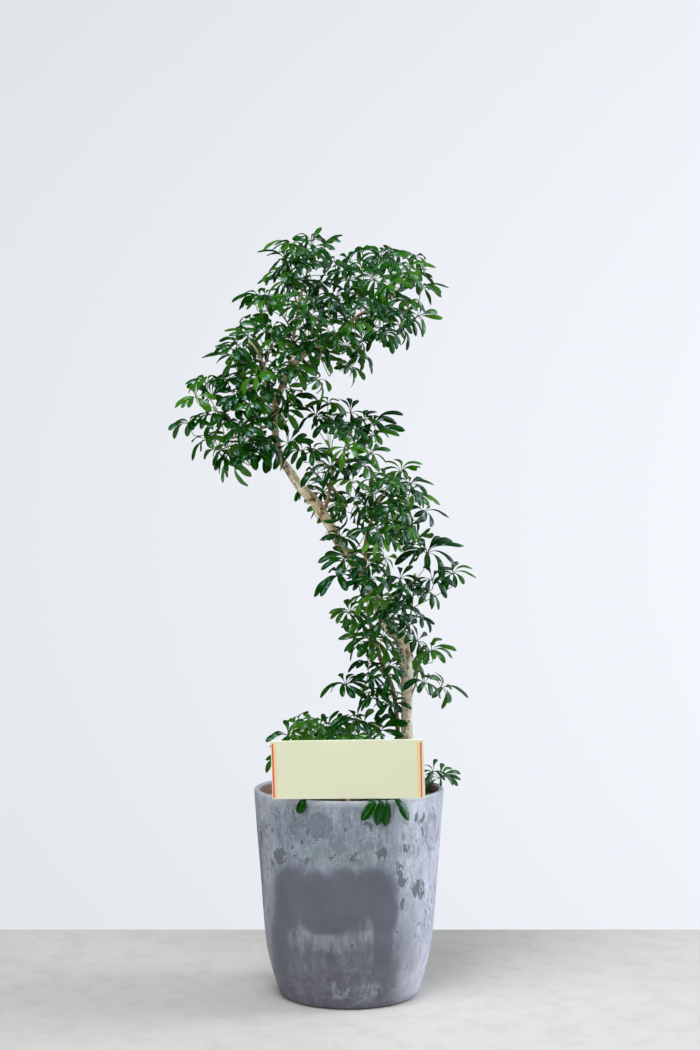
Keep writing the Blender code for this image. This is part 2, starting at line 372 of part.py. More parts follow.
    "spray_back_left": ("trunk_and_branches", [(278, 394, 0), (270, 388, 4.6), (265, 384, 7.0)], [
        (262, 366, 8.5, (249, 361), (262, 352), (274, 364), (262, 381)),
        (249, 386, 8.0, (236, 381), (238, 394), (251, 400), (256, 374)),
        (272, 350, 6.5, (262, 341), (278, 338), (285, 352), (268, 364)),
        (268, 402, 7.5, (255, 406), (267, 418), (280, 407), (272, 389)),
        (258, 404, 10.0, (246, 405), (253, 395), (270, 400), (263, 414))]),
    "spray_back_low": ("trunk_and_branches", [(276.6, 442, 0.3), (262, 440, 4.0), (252, 438, 6.4)], [
        (241, 424, 7.0, (228, 420), (244, 410), (254, 422), (236, 437)),
        (256, 420, 9.0, (250, 406), (268, 414), (268, 427)),
        (246, 446, 7.5, (234, 450), (245, 461), (258, 453), (248, 433))]),
    "spray_back_middle": ("branch_right", [(374.6, 512.4, -2.4), (379, 509, 2.6), (381, 507, 5.0)], [
        (375, 494, 6.5, (363, 490), (378, 481), (387, 495), (371, 508)),
        (393, 496, 6.0, (387, 484), (406, 491), (403, 503), (389, 509)),
        (385, 518, 7.5, (372, 520), (384, 532), (398, 524), (390, 506)),
        (367, 516, 5.5, (354, 512), (358, 526), (373, 530))]),
}
# Leaves that hang over the rim under the card. name: stem's foot and hub (x, depth),
# the leaflets outside the rim as (x where it crosses the rim, tip x, tip y), and
# those that stay inside as (tip x, tip depth).
RIM_LEAVES = {
    "spray_rim_middle": ((380, -14.2), (384, -16.6), [(372, 361, 819), (380, 377, 824.6), (386, 385.5, 826), (397, 409, 821)],
                         [(359, -14.6), (371, -12.6), (393, -12.2), (405, -12.4)]),
    "spray_rim_left": ((306, -12.2), (306, -15.2), [(304, 299, 813.5)],
                       [(291, -11.4), (302, -10.4), (317, -11.2), (322, -14.0)]),
}
RIM_HUB_Z = 0.4075          # the hub's height, just under the card's edge
RIM_TOP_Z = 0.4068          # over the rim
LEAFLET_WIDE = 0.0135
LEAFLET_THICK = 0.0010
FINE_STEM = 1.7             # a spray's stem at its foot, radius in millimetres


# ------------------------------------------------------------- leaf geometry
def on_path(points, x, y):
    """The point of a carrier's line that is nearest on the sheet, as x, y, depth."""
    best = None
    for a, b in zip(points, points[1:]):
        ab = np.array((b[0] - a[0], b[1] - a[1]))
        t = float(np.clip(np.dot(np.array((x - a[0], y - a[1])), ab) / np.dot(ab, ab), 0, 1))
        at = [a[i] + (b[i] - a[i]) * t for i in range(3)]
        away = math.hypot(at[0] - x, at[1] - y)
        if best is None or away < best[0]:
            best = (away, at)
    return best[1]


def spread(count):
    """Directions over the upper half of a sphere, for finding which way a leaf faces."""
    found = []
    for i in range(count):
        z = (i + 0.5) / count
        turn = i * math.pi * (3 - math.sqrt(5))
        r = math.sqrt(1 - z * z)
        found.append(Vector((r * math.cos(turn), r * math.sin(turn), z)))
    return found


FACES = spread(90)


def leaf_tips(leaf, depth_cm, crown_x, start):
    """Hub, facing and tip points of a leaf whose hub is at this depth.

    A leaflet that the sheet shows keeps its place there, and its length gives
    how far it comes forward or goes back. The others fill the gaps in the fan.
    """
    x, y, _, *shown = leaf
    hub = place(x, y, depth_cm)
    f = 1.0 + depth_cm * 0.01 / EYE_DISTANCE
    flat = [Vector(((tx - x) * UNIT * f, 0.0, (y - ty) * UNIT * f)) for tx, ty in shown]
    length = min(max([LEAFLET_LENGTH * 0.86] + [v.length * 1.04 for v in flat]), 0.074)
    tips = []
    for i, v in enumerate(flat):
        reach = length * (0.97 if i % 2 else 0.90)
        side = math.sqrt(max(reach * reach - v.length_squared, 0.0)) * 0.86
        tips.append(v + Vector((0.0, side if v.z > 0.004 else -side, 0.0)))
    lean = Vector(((x - crown_x) * 0.006, -0.30, 0.90)).normalized()
    ahead = (hub - start).normalized()
    best = None
    for n in FACES:
        cost = sum((t.normalized().dot(n) + 0.28) ** 2 for t in tips) / max(len(tips), 1)
        cost += 0.35 * (1.0 - n.dot(lean)) + 2.0 * max(0.0, 0.50 - ahead.dot(n)) ** 2
        if best is None or cost < best[0]:
            best = (cost, n)
    n = best[1]
    e1 = n.orthogonal().normalized()
    e2 = n.cross(e1)
    turns = []
    for t in tips:
        turns.append((math.atan2(t.dot(e2), t.dot(e1)) % math.tau, t))
    turns.sort(key=lambda a: a[0])
    kept = []
    for turn, t in turns:
        if kept and turn - kept[-1][0] < 0.42:
            continue
        kept.append((turn, t))
    if len(kept) > 1 and kept[0][0] + math.tau - kept[-1][0] < 0.42:
        kept.pop()
    wanted = 7
    out = []
    for i, (turn, t) in enumerate(kept):
        after = kept[(i + 1) % len(kept)][0] + (math.tau if i == len(kept) - 1 else 0.0)
        gap = after - turn
        out.append((turn, t))
        more = int(round(gap / (math.tau / wanted))) - 1
        for k in range(1, more + 1):
            a = turn + gap * k / (more + 1)
            droop = 0.34 + 0.12 * math.sin(a * 2 + x)
            d = e1 * math.cos(a) + e2 * math.sin(a) - n * droop
            d.z -= 0.16
            out.append((a % math.tau, d.normalized() * length * (0.86 + 0.08 * math.sin(a * 3 + y))))
    out.sort(key=lambda a: a[0])
    for _, t in out:
        at = hub + t
        away = math.hypot(at.x, at.y)
        floor = POT_HEIGHT + 0.007 if away > 0.155 else SOIL_TOP + 0.016
        if away < 0.21 and at.z < floor:
            t.z += floor - at.z
    return hub, n, e1, e2, out, length


def ring_of(hub, n, tips, length, grow=1.0):
    """The rim of a leaf solid: tip, notch, tip, notch, round the hub."""
    ring = []
    for i, (turn, t) in enumerate(tips):
        ring.append(hub + t * grow)
        u = tips[(i + 1) % len(tips)][1]
        between = t.normalized() + u.normalized()
        if between.length < 0.2:
            between = between + n * 0.2
        ring.append(hub + between.normalized() * length * NOTCH * grow)
    return ring


def petiole_line(start, hub, n, neck):
    """Out of the stem, up under the leaf, and square into its hub."""
    ahead = (hub - start).normalized()
    if ahead.dot(n) > 0.86:
        return [start, hub - n * LEAF_CORE * 2]
    return [start, hub - n * min(neck, (hub - start).length * 0.7), hub - n * LEAF_CORE * 2]


# ------------------------------------------- leaves that would cross are parted
class Leaf:
    """A leaf, with the depth at which it clears its neighbours."""

    def __init__(self, spray, row, start, crown_x):
        self.spray, self.row, self.start, self.crown_x = spray, row, start, crown_x
        self.depth = row[2]
        self.update()

    def update(self):
        self.hub, self.n, self.e1, self.e2, self.tips, self.length = leaf_tips(
            self.row, self.depth, self.crown_x, self.start)
        ring = ring_of(self.hub, self.n, self.tips, self.length, 1.03)
        points = ring + [self.hub + self.n * LEAF_CORE * 1.7, self.hub - self.n * LEAF_CORE * 1.7]
        m = len(ring)
        faces = []
        for i in range(m):
            j = (i + 1) % m
            faces.append((i, j, m))
            faces.append((j, i, m + 1))
        self.blade = BVHTree.FromPolygons(points, faces)
        best = None
        for share in NECKS:
            line = petiole_line(self.start, self.hub, self.n, share * self.length)
            free = line[:-1] + [line[-1].lerp(line[-2], min(0.005 / (line[-1] - line[-2]).length, 0.5))]
            bar_points, bar_faces = [], []
            tube_into(bar_points, bar_faces, free, PETIOLE_RADIUS)
            crossed = len(self.blade.overlap(BVHTree.FromPolygons(bar_points, bar_faces)))
            if best is None or crossed < best[0]:
                best = (crossed, line)
            if not crossed:
                break
        self.crossed, self.line = best
        tube_into(points, faces, self.line, PETIOLE_RADIUS + 0.0007)
        self.low = Vector([min(p[k] for p in points) for k in range(3)])
        self.high = Vector([max(p[k] for p in points) for k in range(3)])
        self.tree = BVHTree.FromPolygons(points, faces)


def tube_into(points, faces, line, radius):
    """Add a three-sided tube to a list of points and faces."""
    base = len(points)
    for k, p in enumerate(line):
        along = (line[min(k + 1, len(line) - 1)] - line[max(k - 1, 0)]).normalized()
        a = along.orthogonal().normalized()
        b = along.cross(a)
        for s in range(3):
            t = math.tau * s / 3
            points.append(p + (a * math.cos(t) + b * math.sin(t)) * radius * 1.25)
    for k in range(len(line) - 1):
        for s in range(3):
            i, j = base + k * 3 + s, base + k * 3 + (s + 1) % 3
            faces.append((i, j, j + 3))
            faces.append((i, j + 3, i + 3))


def boxes_meet(a, b):
    return all(a.low[k] <= b.high[k] and b.low[k] <= a.high[k] for k in range(3))


class Fixed:
    """Something that leaves keep clear of."""

    def __init__(self, name, line, radii, margin=0.0010):
        points, faces = [], []
        base = 0
        sides = 8
        for k, p in enumerate(line):
            along = (line[min(k + 1, len(line) - 1)] - line[max(k - 1, 0)]).normalized()
            a = along.orthogonal().normalized()
            b = along.cross(a)
            for s in range(sides):
                t = math.tau * s / sides
                points.append(p + (a * math.cos(t) + b * math.sin(t)) * (radii[k] + margin) * 1.08)
        for k in range(len(line) - 1):
            for s in range(sides):
                i, j = base + k * sides + s, base + k * sides + (s + 1) % sides
                faces.append((i, j, j + sides))
                faces.append((i, j + sides, i + sides))
        self.name = name
        self.middle = sum((p.y for p in line)) / len(line)
        self.line = line
        self.low = Vector([min(p[k] for p in points) for k in range(3)])
        self.high = Vector([max(p[k] for p in points) for k in range(3)])
        self.tree = BVHTree.FromPolygons(points, faces)


def wood_line(points):
    return [place(*p[:3]) for p in points], [p[3] * 0.001 for p in points]


def carrier_points(name):
    if name in WOOD:
        return WOOD[name]
    return BRANCHES[name][1]


def stem_line(name):
    """A spray's stem: its first point is moved on to what carries it."""
    carrier, points, _ = SPRAYS[name]
    points = [tuple(p) for p in points]
    if carrier != "soil":
        points[0] = tuple(on_path(carrier_points(carrier), *points[0][:2]))
    line = [place(*p) for p in points]
    radii = [(FINE_STEM - 0.35 * k / (len(line) - 1)) * 0.001 for k in range(len(line))]
    return line, radii


def along(line, share):
    """A point part of the way along a line."""
    spans = [(b - a).length for a, b in zip(line, line[1:])]
    want = share * sum(spans)
    for (a, b), s in zip(zip(line, line[1:]), spans):
        if want <= s:
            return a.lerp(b, want / s)
        want -= s
    return line[-1].copy()


def settle():
    """All leaves, each at a depth where it crosses no other spray and no wood."""
    fixed = []
    for name, points in WOOD.items():
        fixed.append(Fixed(name, *wood_line(points)))
    for name, (_, points) in BRANCHES.items():
        fixed.append(Fixed(name, *wood_line(points)))
    leaves = []
    stems = {}
    for name, (_, _, rows) in SPRAYS.items():
        line, radii = stem_line(name)
        stems[name] = Fixed(name, line, radii, 0.0008)
        crown_x = SHEET_AXIS_X
        for k, row in enumerate(rows):
            share = 0.975 - 0.11 * ((k * 2) % 5)
            leaves.append(Leaf(name, row, along(line, share), crown_x))
    others = list(stems.values())
    rim = POT_RIM_RADIUS + 0.001
    for step in range(90):
        push = {}
        for i, a in enumerate(leaves):
            for j in range(i + 1, len(leaves)):
                b = leaves[j]
                if not boxes_meet(a, b) or (a.spray == b.spray and step > 60):
                    continue
                if (a.blade if a.spray == b.spray else a.tree).overlap(b.blade if a.spray == b.spray else b.tree):
                    side = 1.0 if (a.depth, i) > (b.depth, j) else -1.0
                    push[i] = push.get(i, 0.0) + side
                    push[j] = push.get(j, 0.0) - side
            for f in fixed + others:
                if f.name == a.spray or not boxes_meet(a, f):
                    continue
                if a.tree.overlap(f.tree):
                    at = min(f.line, key=lambda p: (p - a.hub).length)
                    push[i] = push.get(i, 0.0) + (1.0 if a.hub.y > at.y else -1.0) * 1.5
            ring = ring_of(a.hub, a.n, a.tips, a.length)
            for p in ring + [a.hub]:
                if abs(p.x) < 0.150 and 0.402 < p.z < 0.524 and p.y < CARD_FOOT + 0.016:
                    push[i] = push.get(i, 0.0) + 1.0
                    break
        if not push:
            break
        for i, force in push.items():
            if abs(force) < 0.1:
                force = 0.6 if i % 2 else -0.6
            move = max(-0.9, min(0.9, 0.45 * force))
            leaves[i].depth += move * (1.0 if step < 50 else 1.6)
            leaves[i].depth = max(leaves[i].row[2] - 7.0, min(leaves[i].row[2] + 7.0, leaves[i].depth))
            leaves[i].update()
    # a leaf that still crosses something is left off the stem
    bad = set()
    for i, a in enumerate(leaves):
        if i in bad:
            continue
        if any(f.name != a.spray and boxes_meet(a, f) and a.tree.overlap(f.tree) for f in fixed + others):
            bad.add(i)
            continue
        for j in range(i + 1, len(leaves)):
            b = leaves[j]
            if j not in bad and a.spray != b.spray and boxes_meet(a, b) and a.tree.overlap(b.tree):
                bad.add(j)
    kept = [a for i, a in enumerate(leaves) if i not in bad]
    print("stalks through a leaf", [(a.spray, a.row[:2]) for a in kept if a.crossed])
    print("leaves", len(leaves), "left off", [(leaves[i].spray, leaves[i].row[:2]) for i in sorted(bad)])
    return kept, stems


# --------------------------------------------------------------- scene set-up
for old in list(bpy.data.objects):
    bpy.data.objects.remove(old, do_unlink=True)
plant = bpy.data.collections.new("potted_schefflera")
guides = bpy.data.collections.new("cutters")
bpy.context.scene.collection.children.link(plant)
bpy.context.scene.collection.children.link(guides)


def material(name, colour, roughness, metallic=0.0):
    m = bpy.data.materials.new(name)
    m.use_nodes = True
    p = m.node_tree.nodes["Principled BSDF"]
    p.inputs["Base Color"].default_value = (*colour, 1.0)
    p.inputs["Roughness"].default_value = roughness
    p.inputs["Metallic"].default_value = metallic
    return m


def add(name, mesh, mat=None, group=None):
    ob = bpy.data.objects.new(name, mesh)
    (group or plant).objects.link(ob)
    if mat is not None:
        ob.data.materials.clear()
        ob.data.materials.append(mat)
    return ob


def hide(ob):
    ob.hide_render = True
    ob.display_type = "WIRE"
    return ob


def tube(name, line, radii, sides_step, group=None):
    """A tapering round bar along a line, as one closed mesh."""
    curve = bpy.data.curves.new(name + "_line", "CURVE")
    curve.dimensions = "3D"
    curve.bevel_depth = 1.0
    curve.bevel_resolution = sides_step
    curve.use_fill_caps = True
    spline = curve.splines.new("POLY")
    spline.points.add(len(line) - 1)
    for at, p, r in zip(spline.points, line, radii):
        at.co = (*p, 1.0)
        at.radius = r
    ob = bpy.data.objects.new(name + "_line", curve)
    guides.objects.link(ob)
    bpy.context.view_layer.update()
    dg = bpy.context.evaluated_depsgraph_get()
    mesh = bpy.data.meshes.new_from_object(ob.evaluated_get(dg))
    bpy.data.objects.remove(ob, do_unlink=True)
    bm = bmesh.new()
    bm.from_mesh(mesh)
    bmesh.ops.remove_doubles(bm, verts=bm.verts, dist=0.00002)
    bmesh.ops.recalc_face_normals(bm, faces=bm.faces)
    bm.to_mesh(mesh)
    bm.free()
    made = add(name, mesh, None, group)
    return made


def leaf_solid(name, leaf):
    """A leaf as one solid: the top is a shallow cone over the star of leaflets,
    and the underside is lofted from the star to the leaf's three-sided stalk."""
    rim = ring_of(leaf.hub, leaf.n, leaf.tips, leaf.length)
    turns = []
    for i, (turn, _) in enumerate(leaf.tips):
        after = leaf.tips[(i + 1) % len(leaf.tips)][0]
        turns.append(turn)
        turns.append(turn + ((after - turn) % math.tau) * 0.5)
    bm = bmesh.new()
    top = bm.verts.new(leaf.hub + leaf.n * LEAF_CORE)
    star = [bm.verts.new(p) for p in rim]
    line = list(reversed(leaf.line))
    rings = []
    e1, e2 = leaf.e1, leaf.e2
    for k, p in enumerate(line):
        back = (line[max(k - 1, 0)] - line[min(k + 1, len(line) - 1)]).normalized()
        if k == 0:
            back = leaf.n
        a = (e1 - back * e1.dot(back)).normalized()
        b = back.cross(a)
        e1, e2 = a, b
        rings.append([bm.verts.new(p + (a * math.cos(t) + b * math.sin(t)) * PETIOLE_RADIUS * 1.25)
                      for t in (math.tau / 6, math.tau / 2, math.tau * 5 / 6)])
    for i, v in enumerate(star):
        bm.faces.new((v, star[(i + 1) % len(star)], top))
    third = [min(int((t % math.tau) / (math.tau / 3)), 2) for t in turns]
    for i, v in enumerate(star):
        j = (i + 1) % len(star)
        bm.faces.new((star[j], v, rings[0][third[i]]))
        step = third[i]
        while step != third[j]:
            bm.faces.new((star[j], rings[0][step], rings[0][(step + 1) % 3]))
            step = (step + 1) % 3
    for low, high in zip(rings[1:], rings):
        for s in range(3):
            t = (s + 1) % 3
            bm.faces.new((low[s], low[t], high[t]))
            bm.faces.new((low[s], high[t], high[s]))
    bm.faces.new((rings[-1][2], rings[-1][1], rings[-1][0]))
    bmesh.ops.recalc_face_normals(bm, faces=bm.faces)
    mesh = bpy.data.meshes.new(name)
    bm.to_mesh(mesh)
    bm.free()
    return add(name, mesh, None, guides)


def largest_only(ob):
    """Drop the crumbs that a cut or a join leaves behind."""
    bm = bmesh.new()
    bm.from_mesh(ob.data)
    bmesh.ops.remove_doubles(bm, verts=bm.verts, dist=0.000004)
    left, groups = set(bm.faces), []
    while left:
        front = [left.pop()]
        group = set(front)
        while front:
            f = front.pop()
            for e in f.edges:
                if len(e.link_faces) != 2:
                    continue
                for g in e.link_faces:
                    if g in left:
                        left.remove(g)
                        group.add(g)
                        front.append(g)
        groups.append(group)
    groups.sort(key=len, reverse=True)
    if len(groups) > 1:
        print(ob.name, "had", [len(g) for g in groups], "faces in its bodies")
        bmesh.ops.delete(bm, geom=[f for group in groups[1:] for f in group], context="FACES")
    bm.to_mesh(ob.data)
    bm.free()


def applied(ob):
    """The object's mesh with its modifiers worked in."""
    bpy.context.view_layer.update()
    dg = bpy.context.evaluated_depsgraph_get()
    mesh = bpy.data.meshes.new_from_object(ob.evaluated_get(dg))
    ob.modifiers.clear()
    ob.data = mesh
    return ob


def boolean(ob, other, operation):
    mod = ob.modifiers.new(operation.lower(), "BOOLEAN")
    mod.operation = operation
    mod.solver = "EXACT"
    mod.object = other
    applied(ob)


def join_all(ob, others):
    """One body from overlapping closed shapes."""
    group = bpy.data.collections.new("joining")
    guides.children.link(group)
    for other in others:
        guides.objects.unlink(other)
        group.objects.link(other)
    mod = ob.modifiers.new("union", "BOOLEAN")
    mod.operation = "UNION"
    mod.solver = "EXACT"
    mod.operand_type = "COLLECTION"
    mod.collection = group
    mod.use_self = True
    applied(ob)
    for other in others:
        bpy.data.objects.remove(other, do_unlink=True)
    bpy.data.collections.remove(group)


def drop(ob):
    bpy.data.objects.remove(ob, do_unlink=True)


# -------------------------------------------------------------------- planter
def turned(name, profile, steps, mat):
    """A closed profile, given from the axis round to the axis, swept about Z."""
    mesh = bpy.data.meshes.new(name)
    mesh.from_pydata([(r, 0.0, z) for r, z in profile], [(i, i + 1) for i in range(len(profile) - 1)], [])
    ob = add(name, mesh, mat)
    screw = ob.modifiers.new("turn", "SCREW")
    screw.axis = "Z"
    screw.angle = math.tau
    screw.steps = steps
    screw.render_steps = steps
    screw.use_merge_vertices = True
    screw.merge_threshold = 0.00005
    return ob


def side_radius(z):
    for (z0, r0), (z1, r1) in zip(POT_SIDE, POT_SIDE[1:]):
        if z <= z1:
            return r0 + (r1 - r0) * (z - z0) / (z1 - z0)
    return POT_SIDE[-1][1]


def inner_radius(z):
    return side_radius(z) - POT_WALL * (1.0 if z > 0.1 else 1.0 + (0.1 - z) * 2.0)


lip = 0.0045
inside = [(0.0, POT_FLOOR), (inner_radius(0.03) - 0.006, POT_FLOOR), (inner_radius(0.03), 0.026)]
inside += [(inner_radius(z), z) for z in (0.056, 0.083, 0.1265, 0.212, 0.340)]
inside += [(inner_radius(POT_HEIGHT - lip), POT_HEIGHT - lip * 0.8),
           (POT_RIM_RADIUS - POT_WALL + 0.0028, POT_HEIGHT),
           (POT_RIM_RADIUS - 0.0035, POT_HEIGHT)]
outside = [(r, z) for z, r in reversed(POT_SIDE)] + [(0.0, 0.0)]
grey = material("planter_stone", (0.25, 0.245, 0.27), 0.72)
pot = turned("planter", inside + outside, TURN_STEPS, grey)
applied(pot)
for i in range(DRAIN_COUNT):
    a = math.tau * (i + 0.25) / DRAIN_COUNT
    bpy.ops.mesh.primitive_cylinder_add(
        vertices=12, radius=DRAIN_RADIUS, depth=0.08,
        location=(DRAIN_CIRCLE * math.cos(a), DRAIN_CIRCLE * math.sin(a), 0.0))
    drill = bpy.context.active_object
    boolean(pot, drill, "DIFFERENCE")
    drop(drill)

stones = turned("drainage_stones", [
    (0.0, STONES_TOP), (inner_radius(STONES_TOP) - GAP * 2, STONES_TOP),
    (inner_radius(0.03) - GAP * 3, 0.0268), (inner_radius(0.03) - 0.0066, POT_FLOOR + GAP),
    (0.0, POT_FLOOR + GAP)], TURN_STEPS, material("drainage_stones", (0.38, 0.30, 0.24), 0.9))
applied(stones)

soil_foot = STONES_TOP + GAP
soil = turned("potting_soil", [
    (0.0, SOIL_TOP + SOIL_CROWN), (inner_radius(SOIL_TOP) * 0.6, SOIL_TOP + SOIL_CROWN * 0.8),
    (inner_radius(SOIL_TOP) - GAP * 1.5, SOIL_TOP), (inner_radius(0.340) - GAP * 1.5, 0.340),
    (inner_radius(0.212) - GAP * 1.5, 0.212), (inner_radius(0.1265) - GAP * 1.5, 0.1265),
    (inner_radius(0.083) - GAP * 1.5, 0.083), (inner_radius(soil_foot) - GAP * 2, soil_foot),
    (0.0, soil_foot)], TURN_STEPS, material("potting_soil", (0.07, 0.045, 0.03), 0.95))
applied(soil)

# ------------------------------------------------------------- wood and leaves
bark = material("bark", (0.55, 0.47, 0.36), 0.75)
green = material("leaf", (0.02, 0.12, 0.03), 0.35)
leaves, stems = settle()

made = {}
for name, points in WOOD.items():
    line, radii = wood_line(points)
    made[name] = tube(name, line, radii, 2)
    fat = hide(tube(name + "_socket", line, [r + GAP * 1.3 for r in radii], 2, guides))
    made[name + "_socket"] = fat
    boolean(soil, fat, "DIFFERENCE")
    made[name].data.materials.append(bark)
limbs = []
for name, (carrier, points) in BRANCHES.items():
    points = list(points)
    start = on_path(carrier_points(carrier), *points[0][:2])
    points[0] = (*start, points[0][3])
    line, radii = wood_line(points)
    limbs.append(tube(name, line, radii, 1, guides))
    made[name + "_socket"] = hide(tube(name + "_socket", line, [r + GAP * 1.3 for r in radii], 1, guides))
join_all(made["trunk_and_branches"], limbs)
made["trunk_and_branches"].data.materials.clear()
made["trunk_and_branches"].data.materials.append(bark)

for name, (carrier, _, _) in SPRAYS.items():
    line, radii = stem_line(name)
    ob = tube(name, line, radii, 0)
    shapes = []
    mine = [leaf for leaf in leaves if leaf.spray == name]
    for k, leaf in enumerate(mine):
        shapes.append(leaf_solid(f"leaf_{k}", leaf))
    join_all(ob, shapes)
    if carrier == "soil":
        fat = tube("hole", line, [r + GAP * 1.5 for r in radii], 0, guides)
        boolean(soil, fat, "DIFFERENCE")
        drop(fat)
    else:
        boolean(ob, made[carrier + "_socket"], "DIFFERENCE")
    largest_only(ob)
    ob.data.materials.clear()
    ob.data.materials.append(green)
    made[name] = ob


def strap(name, line, widths):
    """A leaflet as a thin ribbon along a line, crossing it level."""
    bm = bmesh.new()
    rows = []
    for k, (p, w) in enumerate(zip(line, widths)):
        ahead = (line[min(k + 1, len(line) - 1)] - line[max(k - 1, 0)]).normalized()
        across = Vector((ahead.y, -ahead.x, 0)).normalized() * w * 0.5
        rows.append((bm.verts.new(p - across), bm.verts.new(p + across)))
    for (a, b), (c, d) in zip(rows, rows[1:]):
        bm.faces.new((a, b, d, c))
    bmesh.ops.recalc_face_normals(bm, faces=bm.faces)
    mesh = bpy.data.meshes.new(name)
    bm.to_mesh(mesh)
    bm.free()
    ob = add(name, mesh, None, guides)
    thick = ob.modifiers.new("thick", "SOLIDIFY")
    thick.thickness = LEAFLET_THICK
    thick.offset = 0.0
    applied(ob)
    return ob


for name, (foot, hub, over, inner) in RIM_LEAVES.items():
    f = 1.0 + hub[1] * 0.01 / EYE_DISTANCE
    hub_at = Vector(((hub[0] - SHEET_AXIS_X) * UNIT * f, hub[1] * 0.01, RIM_HUB_Z))
    foot_at = Vector(((foot[0] - SHEET_AXIS_X) * UNIT * f, foot[1] * 0.01, 0.340))
    line = [foot_at, foot_at.lerp(hub_at, 0.75) + Vector((0, 0.004, 0)), hub_at - Vector((0, 0, 0.0002))]
    radii = [0.0017, 0.0015, 0.0013]
    ob = tube(name, line, radii, 0)
    shapes = []
    for k, (rim_x, tip_x, tip_y) in enumerate(over):
        tip = place(tip_x, tip_y, -20.0)
        edge_x = (rim_x - SHEET_AXIS_X) * UNIT * f
        edge = Vector((edge_x, -math.sqrt(POT_RIM_RADIUS ** 2 - edge_x ** 2), 0))
        out_way = edge.normalized()
        lines = [hub_at, edge - out_way * 0.0045 + Vector((0, 0, RIM_TOP_Z)),
                 edge + out_way * 0.0058 + Vector((0, 0, RIM_TOP_Z - 0.0035)),
                 edge.lerp(Vector((tip.x, tip.y, 0)), 0.4) + out_way * 0.0075 + Vector((0, 0, RIM_TOP_Z - 0.018)),
                 Vector((tip.x, edge.y - 0.0095, tip.z))]
        shapes.append(strap(f"over_{k}", lines, [0.003, LEAFLET_WIDE * 0.7, LEAFLET_WIDE * 0.9,
                                                LEAFLET_WIDE, 0.0025]))
    for k, (tip_x, tip_depth) in enumerate(inner):
        tip = Vector(((tip_x - SHEET_AXIS_X) * UNIT * f, tip_depth * 0.01, 0.3985 if k % 2 else 0.4015))
        mid = hub_at.lerp(tip, 0.62) + Vector((0, 0, 0.0025))
        shapes.append(strap(f"inner_{k}", [hub_at, mid, tip], [0.003, LEAFLET_WIDE, 0.0025]))
    join_all(ob, shapes)
    fat = tube("hole", line, [r + GAP * 1.5 for r in radii], 0, guides)
    boolean(soil, fat, "DIFFERENCE")
    drop(fat)
    largest_only(ob)
    ob.data.materials.clear()
    ob.data.materials.append(green)

for name in list(made):
    if name.endswith("_socket"):
        drop(made.pop(name))

# ------------------------------------------------------------ card and stake
corners = [(270.5, 741.0), (423.6, 739.2), (425.4, 798.2), (272.7, 799.0)]


def board(name, x0, x1, low, high, y_low, y_high, thick, skew, group=None):
    """A flat board between two heights, leaning from y_low to y_high."""
    bm = bmesh.new()
    bmesh.ops.create_cube(bm, size=2.0)
    up = Vector((0, y_high - y_low, high - low)).normalized()
    face = Vector((0, up.z, -up.y))
    for v in bm.verts:
        left, top = v.co.x < 0, v.co.z > 0
        x, z = skew(left, top) if skew else ((x0 if left else x1), (high if top else low))
        y = y_low + (y_high - y_low) * (z - low) / (high - low)
        v.co = Vector((x, y, z)) + face * (thick * 0.5 * (-1 if v.co.y < 0 else 1))
    mesh = bpy.data.meshes.new(name)
    bm.to_mesh(mesh)
    bm.free()
    return add(name, mesh, None, group)


def card_corner(left, top):
    x, y = corners[(0 if left else 1) if top else (3 if left else 2)]
    at = place(x, y, (CARD_HEAD if top else CARD_FOOT) * 100)
    return at.x, at.z


card_low = place(349, 798.6, CARD_FOOT * 100).z
card_high = place(349, 740.1, CARD_HEAD * 100).z
card = board("message_card", 0, 0, card_low, card_high, CARD_FOOT, CARD_HEAD, CARD_THICK, card_corner)
card.data.materials.append(material("card", (0.75, 0.75, 0.52), 0.6))


def stake_board(name, more, group=None):
    lean = (CARD_HEAD - CARD_FOOT) / (card_high - card_low)
    back = (CARD_THICK + STAKE_THICK) * 0.5 + GAP * 1.4
    low = card_low - STAKE_BURIED - more
    high = card_low + 0.085 + more
    y_low = CARD_FOOT + back + lean * (low - card_low)
    y_high = CARD_FOOT + back + lean * (high - card_low)
    x = place(348, 790, CARD_FOOT * 100).x
    return board(name, x - STAKE_WIDTH * 0.5 - more, x + STAKE_WIDTH * 0.5 + more,
                 low, high, y_low, y_high, STAKE_THICK + more * 2, None, group)


stake = stake_board("card_stake", 0.0)
stake.data.materials.append(material("stake_wood", (0.62, 0.42, 0.24), 0.6))
slot = stake_board("stake_slot", GAP, guides)
boolean(soil, slot, "DIFFERENCE")
drop(slot)

for ob in plant.objects:
    if ob.type == "MESH" and ob.name in ("planter", "trunk_and_branches", "rear_stem", "potting_soil"):
        ob.data.shade_smooth()
        ob.data.set_sharp_from_angle(angle=math.radians(40))
print("objects", len(plant.objects), "triangles",
      sum(len(p.vertices) - 2 for ob in plant.objects for p in ob.data.polygons))
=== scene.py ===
import math

import bmesh
import bpy
import numpy as np
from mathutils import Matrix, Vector, noise
from mathutils.bvhtree import BVHTree


